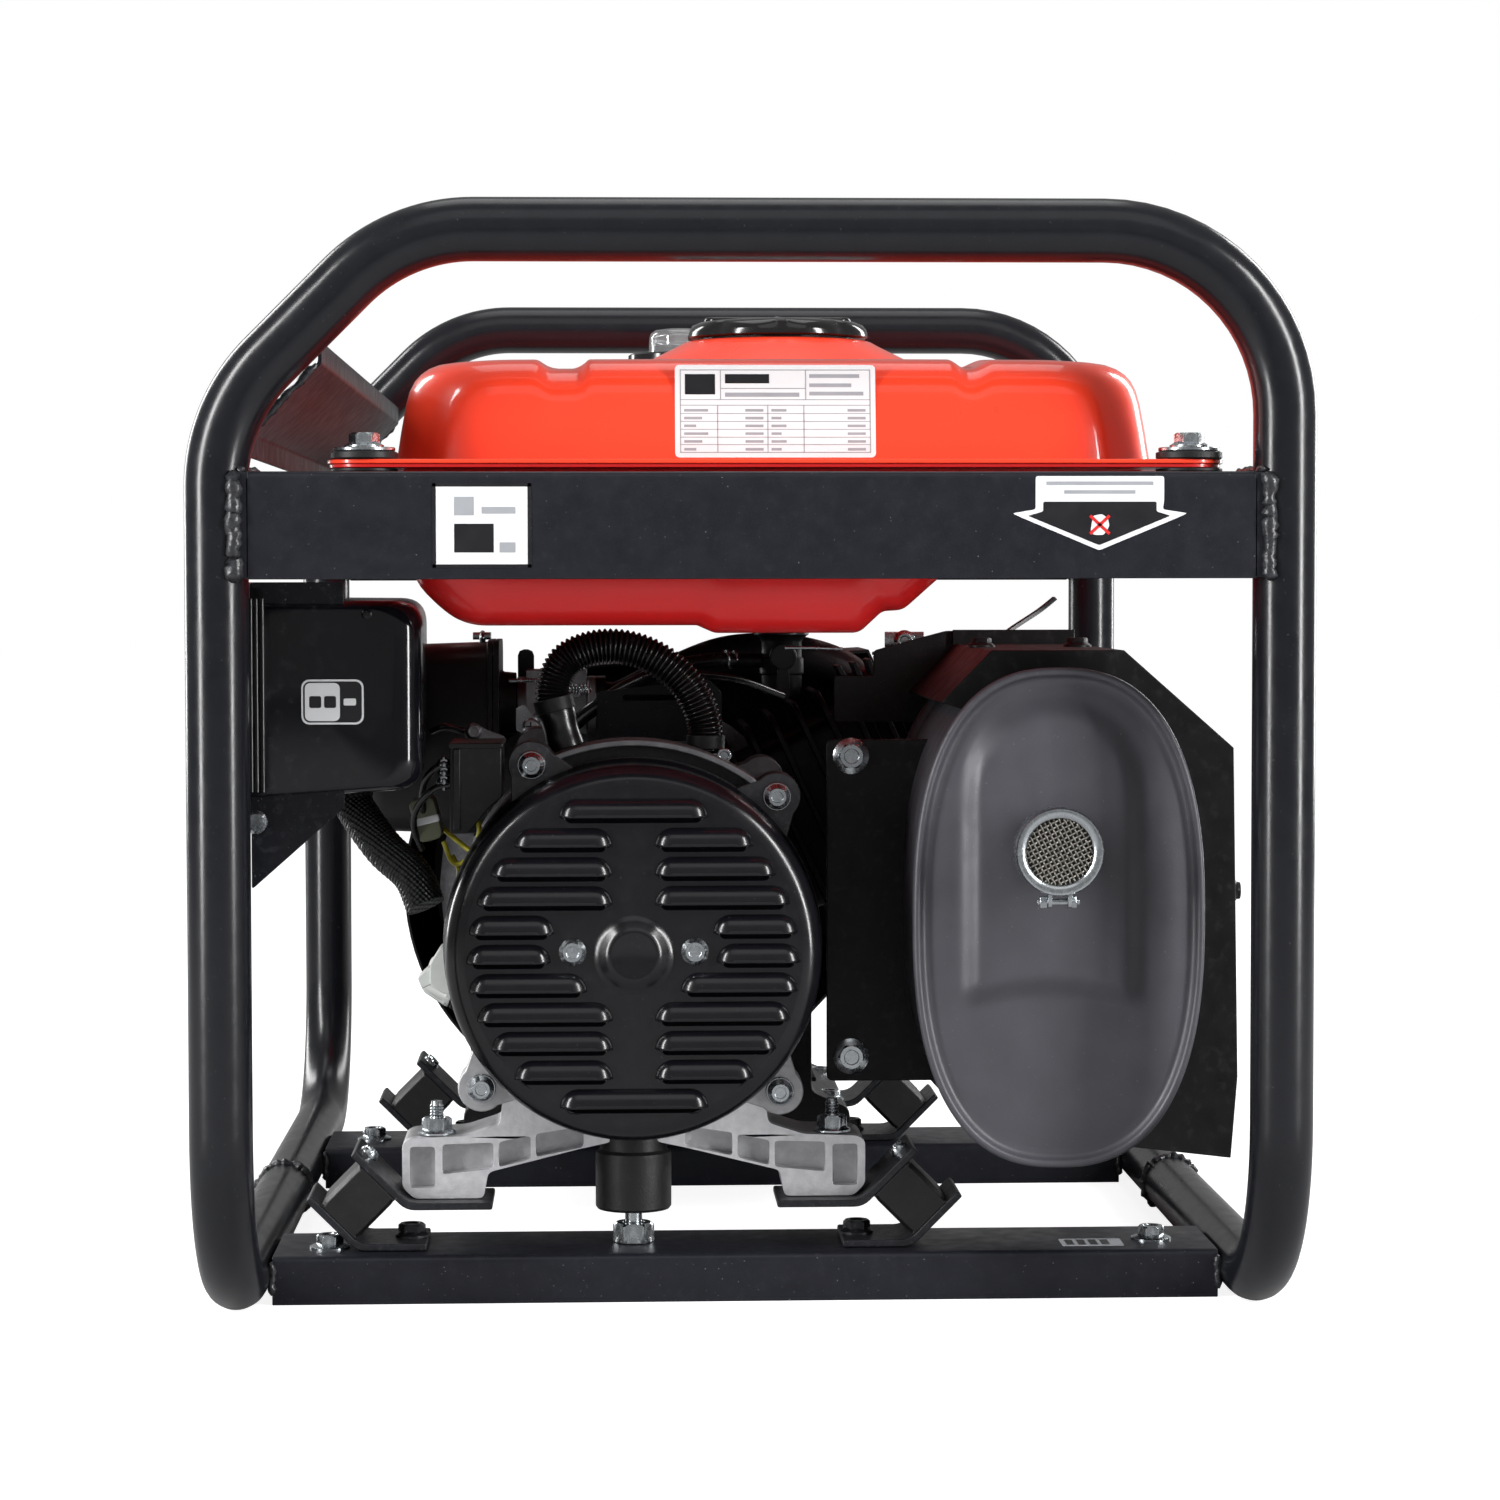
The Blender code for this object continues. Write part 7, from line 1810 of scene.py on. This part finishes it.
def panel_voltmeter():
    px = PANEL_X
    y, z = VOLTMETER
    case = [(0.0, 0.0012), (0.0178, 0.0012), (0.0183, 0.005), (0.019, 0.0057), (0.0207, 0.005),
        (0.0215, 0.0036), (0.0216, 0.0), (0.018, 0.0), (0.018, -0.02), (0.0, -0.02)]
    add("voltmeter_case", lathe(case, (px - 0.0003, y, z), -AXIS_X, 80), "gloss_black",
        stands_for=["voltmeter"])
    dial = prism("x", circle((y, z), 0.0177, 64), px - 0.0022, px - 0.0016)
    ticks = []
    for k in range(13):
        angle = math.radians(30 + 10 * k)
        long = 0.0032 if k % 3 == 0 else 0.002
        ring = [(y + r * math.cos(angle) + w * math.sin(angle), z - 0.004 + r * math.sin(angle)
            - w * math.cos(angle)) for r, w in ((0.015 - long, -0.0003), (0.015, -0.0003),
            (0.015, 0.0003), (0.015 - long, 0.0003))]
        ticks.append(prism("x", ring, px - 0.0024, px - 0.0022).skin(1))
    hand = prism("x", [(y - 0.0005, z - 0.006), (y + 0.0004, z - 0.006), (y - 0.0092, z + 0.0072)],
        px - 0.0028, px - 0.0025).skin(2)
    boss = prism("x", circle((y, z - 0.006), 0.0028, 24), px - 0.0034, px - 0.0022).skin(1)
    add("voltmeter_dial", dial + together(ticks) + hand + boss, ["label_white", "label_black",
        "label_red"])
    glass = lathe([(0.0, 0.0046), (0.01, 0.0045), (0.018, 0.004), (0.018, 0.0034), (0.0, 0.0036)],
        (px - 0.0003, y, z), -AXIS_X, 64)
    add("voltmeter_glass", glass, "clear_lens")


def panel_sockets():
    px = PANEL_X
    low, high = SOCKET_YS[0] - 0.028, SOCKET_YS[1] + 0.028
    wells = [circle((y, 0.25), 0.0195, 48) for y in SOCKET_YS]
    flange = prism("x", rectangle((low, 0.224), (high, 0.276), 0.004, 5), px - 0.0043, px - 0.0003,
        wells)
    back = prism("x", rectangle((SOCKET_YS[0] - 0.0262, 0.2268), (SOCKET_YS[1] + 0.0262, 0.2732),
        0.001), px, px + 0.0237)
    floors = []
    for y in SOCKET_YS:
        floors.append(lathe([(0.0195, -0.0037), (0.0195, 0.0001), (0.0215, 0.0001),
            (0.0215, -0.0037)], (px - 0.0003, y, 0.25), -AXIS_X, 48, closed=True))
        for dy in (-0.0095, 0.0095):
            # Black discs on the socket floors stand for the pin holes: painted shade in the holes.
            floors.append(prism("x", circle((y + dy, 0.25), 0.0025, 20), px - 0.0003,
                px + 0.0002).skin(1))
        floors += [block((px - 0.0034, y - 0.003, 0.25 + s * 0.0182 - 0.001),
            (px - 0.0002, y + 0.003, 0.25 + s * 0.0182 + 0.001)).skin(2) for s in (-1, 1)]
    add("socket_moulding", flange + back + together(floors), ["moulded_black", "label_black",
        "zinc_plate"], stands_for=["socket_pair"], bevel=0.0004)
    for y, word in zip(SOCKET_YS, ("outer", "inner")):
        x = px - 0.0046
        outline = rectangle((y - 0.0252, 0.2258), (y + 0.0252, 0.2712), 0.005, 6)
        rings = [[Vector((x - depth, y + (a - y) * k, FLAP_Z + (b - FLAP_Z) * k))
            for a, b in outline] for depth, k in ((0.0, 1.0), (0.0024, 1.0), (0.0034, 0.975),
            (0.0039, 0.93), (0.004, 0.8))]
        disc = [(0.0, 0.0042), (0.015, 0.0042), (0.0158, 0.0036), (0.0158, 0.003), (0.0, 0.003)]
        flap = skinned(rings) + lathe(disc, (x, y, FLAP_Z), -AXIS_X, 56)
        flap = flap + block((x - 0.0058, y - 0.01, 0.2262), (x - 0.003, y + 0.01, 0.2282))
        hinge = rod((x - 0.0032, y - 0.018, HINGE_Z), (x - 0.0032, y + 0.018, HINGE_Z), 0.003, 24,
            0.0004)
        add(f"socket_flap_{word}", flap + hinge, "moulded_black", f"socket_cover_{word}",
            stands_for=[f"socket_cover_{word}"], bevel=0.0003)
        pin = rod((x - 0.0032, y - 0.021, HINGE_Z), (x - 0.0032, y + 0.021, HINGE_Z), 0.0012, 16)
        knuckles = [block((x - 0.005, y + s * 0.0198 - 0.0014, 0.2712),
            (x, y + s * 0.0198 + 0.0014, 0.2752)) for s in (-1, 1)]
        add(f"socket_hinge_{word}", pin + together(knuckles), "moulded_black", bevel=0.0003)


def panel_switches():
    px = PANEL_X
    y, z = SWITCH
    x = px - 0.0005
    outline = [(x - 0.0075, z + 0.0112), (x - 0.0025, z + 0.0004), (x - 0.0042, z - 0.0112),
        (x + 0.006, z - 0.009), (x + 0.006, z + 0.009)]
    add("engine_rocker", prism("y", rounded(outline, 0.0006, 2), y - 0.0072, y + 0.0072),
        "moulded_red", "engine_switch", stands_for=["engine_switch"], bevel=0.0004)
    switch_ring = prism("x", centred(SWITCH, 0.0105, 0.0165, 0.0015), px - 0.0022, px,
        [centred(SWITCH, 0.008, 0.0142, 0.0008)])
    breaker_ring = prism("x", centred(BREAKER, 0.009, 0.0145, 0.0015), px - 0.0018, px,
        [centred(BREAKER, 0.0062, 0.0112, 0.0008)])
    collar = lathe([(0.0056, 0.0), (0.0082, 0.0), (0.008, 0.0024), (0.0072, 0.0032),
        (0.0056, 0.0032)], (px, *BUTTON), -AXIS_X, 40, closed=True)
    add("control_surrounds", switch_ring + breaker_ring + collar, "moulded_black", bevel=0.0003)
    y, z = BREAKER
    hub = rod((px + 0.003, y - 0.005, z), (px + 0.003, y + 0.005, z), 0.006, 40, 0.0004)
    lever = prism("y", rounded([(-0.0145, -0.002), (-0.0138, 0.0022), (0.0, 0.0026),
        (0.0, -0.0026)], 0.0006, 2), -0.004, 0.004)
    lean = Matrix.Rotation(math.radians(20), 4, "Y")
    lever = lever.moved(Matrix.Translation((px + 0.003, y, z)) @ lean)
    add("breaker_toggle", hub + lever, "moulded_black", "circuit_breaker",
        stands_for=["circuit_breaker"], bevel=0.0004)
    knob = [(0.0, 0.006), (0.0036, 0.006), (0.0046, 0.0052), (0.0048, 0.0044), (0.0048, -0.008),
        (0.0, -0.008)]
    add("breaker_button", lathe(knob, (px, *BUTTON), -AXIS_X, 40), "moulded_grey",
        "dc_breaker_button", stands_for=["dc_breaker_button"])
    gy, gz = GROUND
    nut = lathe([(0.0, 0.0), (0.0068, 0.0, hexed), (0.0068, 0.0054, hexed), (0.006, 0.006),
        (0.003, 0.006), (0.003, 0.0072), (0.0, 0.0072)], (px - 0.0003, gy, gz), -AXIS_X, 48)
    wing = prism("x", rounded([(gy - 0.013, gz + 0.0016), (gy - 0.011, gz - 0.0018),
        (gy + 0.011, gz - 0.0018), (gy + 0.013, gz + 0.0016)], 0.001, 3), px - 0.012, px - 0.004)
    add("ground_wing_nut", nut + wing, "zinc_plate", "ground_nut", stands_for=["ground_nut"],
        bevel=0.0005)
    washer = lathe([(0.0046, 0.0), (0.0095, 0.0), (0.0095, 0.0003), (0.0046, 0.0003)],
        (px, gy, gz), -AXIS_X, 32, closed=True)
    add("ground_washer", washer, "zinc_plate")


# ---------------------------------------------------------------- stage
def looking(place, ahead):
    """A matrix for a lamp or camera at the place, with its -Z ahead."""
    return Matrix.Translation(place) @ ahead.to_track_quat("-Z", "Y").to_matrix().to_4x4()


def stage():
    floor = bpy.data.objects.new("studio_floor", bpy.data.meshes.new("studio_floor"))
    reach = 14.0
    floor.data.from_pydata([(-reach, -reach, 0), (reach, -reach, 0), (reach, reach, 0),
        (-reach, reach, 0)], [], [(0, 1, 2, 3)])
    paper = Looks("studio_paper")
    shade = paper.mixed(paper.noise(0.5, 2.0), (0.42, 0.42, 0.425, 1.0), (0.44, 0.44, 0.445, 1.0))
    paper.wire(shade, paper.shader.inputs["Base Color"])
    paper.shader.inputs["Roughness"].default_value = 0.9
    paper.shader.inputs["Specular IOR Level"].default_value = 0.1
    paper.shader.inputs["Emission Color"].default_value = (1.0, 1.0, 1.0, 1.0)
    seen = paper.tree.nodes.new("ShaderNodeLightPath").outputs["Is Camera Ray"]
    paper.wire(paper.maths("MULTIPLY", seen, 0.88), paper.shader.inputs["Emission Strength"])
    floor.data.materials.append(paper.material)
    bpy.context.scene.collection.objects.link(floor)

    world = bpy.data.worlds.new("studio_air")
    world.use_nodes = True
    nodes, links = world.node_tree.nodes, world.node_tree.links
    seen = nodes.new("ShaderNodeLightPath")
    level = nodes.new("ShaderNodeMapRange")
    level.inputs["To Min"].default_value = 0.3
    level.inputs["To Max"].default_value = 1.0
    links.new(seen.outputs["Is Camera Ray"], level.inputs["Value"])
    links.new(level.outputs["Result"], nodes["Background"].inputs["Strength"])
    nodes["Background"].inputs["Color"].default_value = (1.0, 1.0, 1.0, 1.0)
    bpy.context.scene.world = world

    softboxes = [      # name, place, size, watts
        ("key_left", (-1.5, -1.1, 0.75), (0.26, 1.7), 44.0),
        ("key_right", (1.55, -1.25, 0.75), (0.26, 1.6), 46.0),
        ("front", (0.2, -1.7, 2.3), (2.0, 1.4), 6.0),
        ("overhead", (0.0, 0.4, 1.9), (1.0, 1.0), 5.0),
        ("rear_left", (-1.4, 1.3, 0.85), (0.4, 1.6), 20.0),
        ("rear_right", (1.4, 1.3, 0.85), (0.4, 1.6), 20.0)]
    for name, place, size, power in softboxes:
        light = bpy.data.lights.new(name, "AREA")
        light.shape = "RECTANGLE"
        light.size, light.size_y = size
        light.energy = power
        lamp = bpy.data.objects.new(name, light)
        lamp.matrix_world = looking(place, Vector((0.0, 0.0, 0.2)) - Vector(place))
        bpy.context.scene.collection.objects.link(lamp)


def camera():
    """The photograph's view: low, straight on to the alternator end, through a long lens."""
    yaw, pitch, roll = math.radians(2.3), math.radians(2.594), math.radians(-0.079)
    ahead = Vector((math.sin(yaw) * math.cos(pitch), math.cos(yaw) * math.cos(pitch),
        -math.sin(pitch)))
    data = bpy.data.cameras.new("photo_camera")
    data.lens = 88.33
    data.sensor_width = 36.0
    eye = bpy.data.objects.new("photo_camera", data)
    eye.matrix_world = looking((-0.0596, -1.7344, 0.2983), ahead) @ Matrix.Rotation(roll, 4, "Z")
    bpy.context.scene.collection.objects.link(eye)
    bpy.context.scene.camera = eye
    bpy.context.scene.view_settings.view_transform = "Standard"


for build in (camera, stage, hoops, upper_rails, cross_rails, inclined_panel, tank_upper,
        tank_lower, tank_bolts, fuel_cap, fuel_gauge, labels, end_cover, end_bracket,
        alternator_middle, regulator, muffler, spark_arrestor, heat_shield, mounts, conduit,
        harness, wires, fuel_line, engine, filler_plug, shroud, recoil, intake, linkage,
        control_box, control_panel, panel_voltmeter, panel_sockets, panel_switches):
    build()
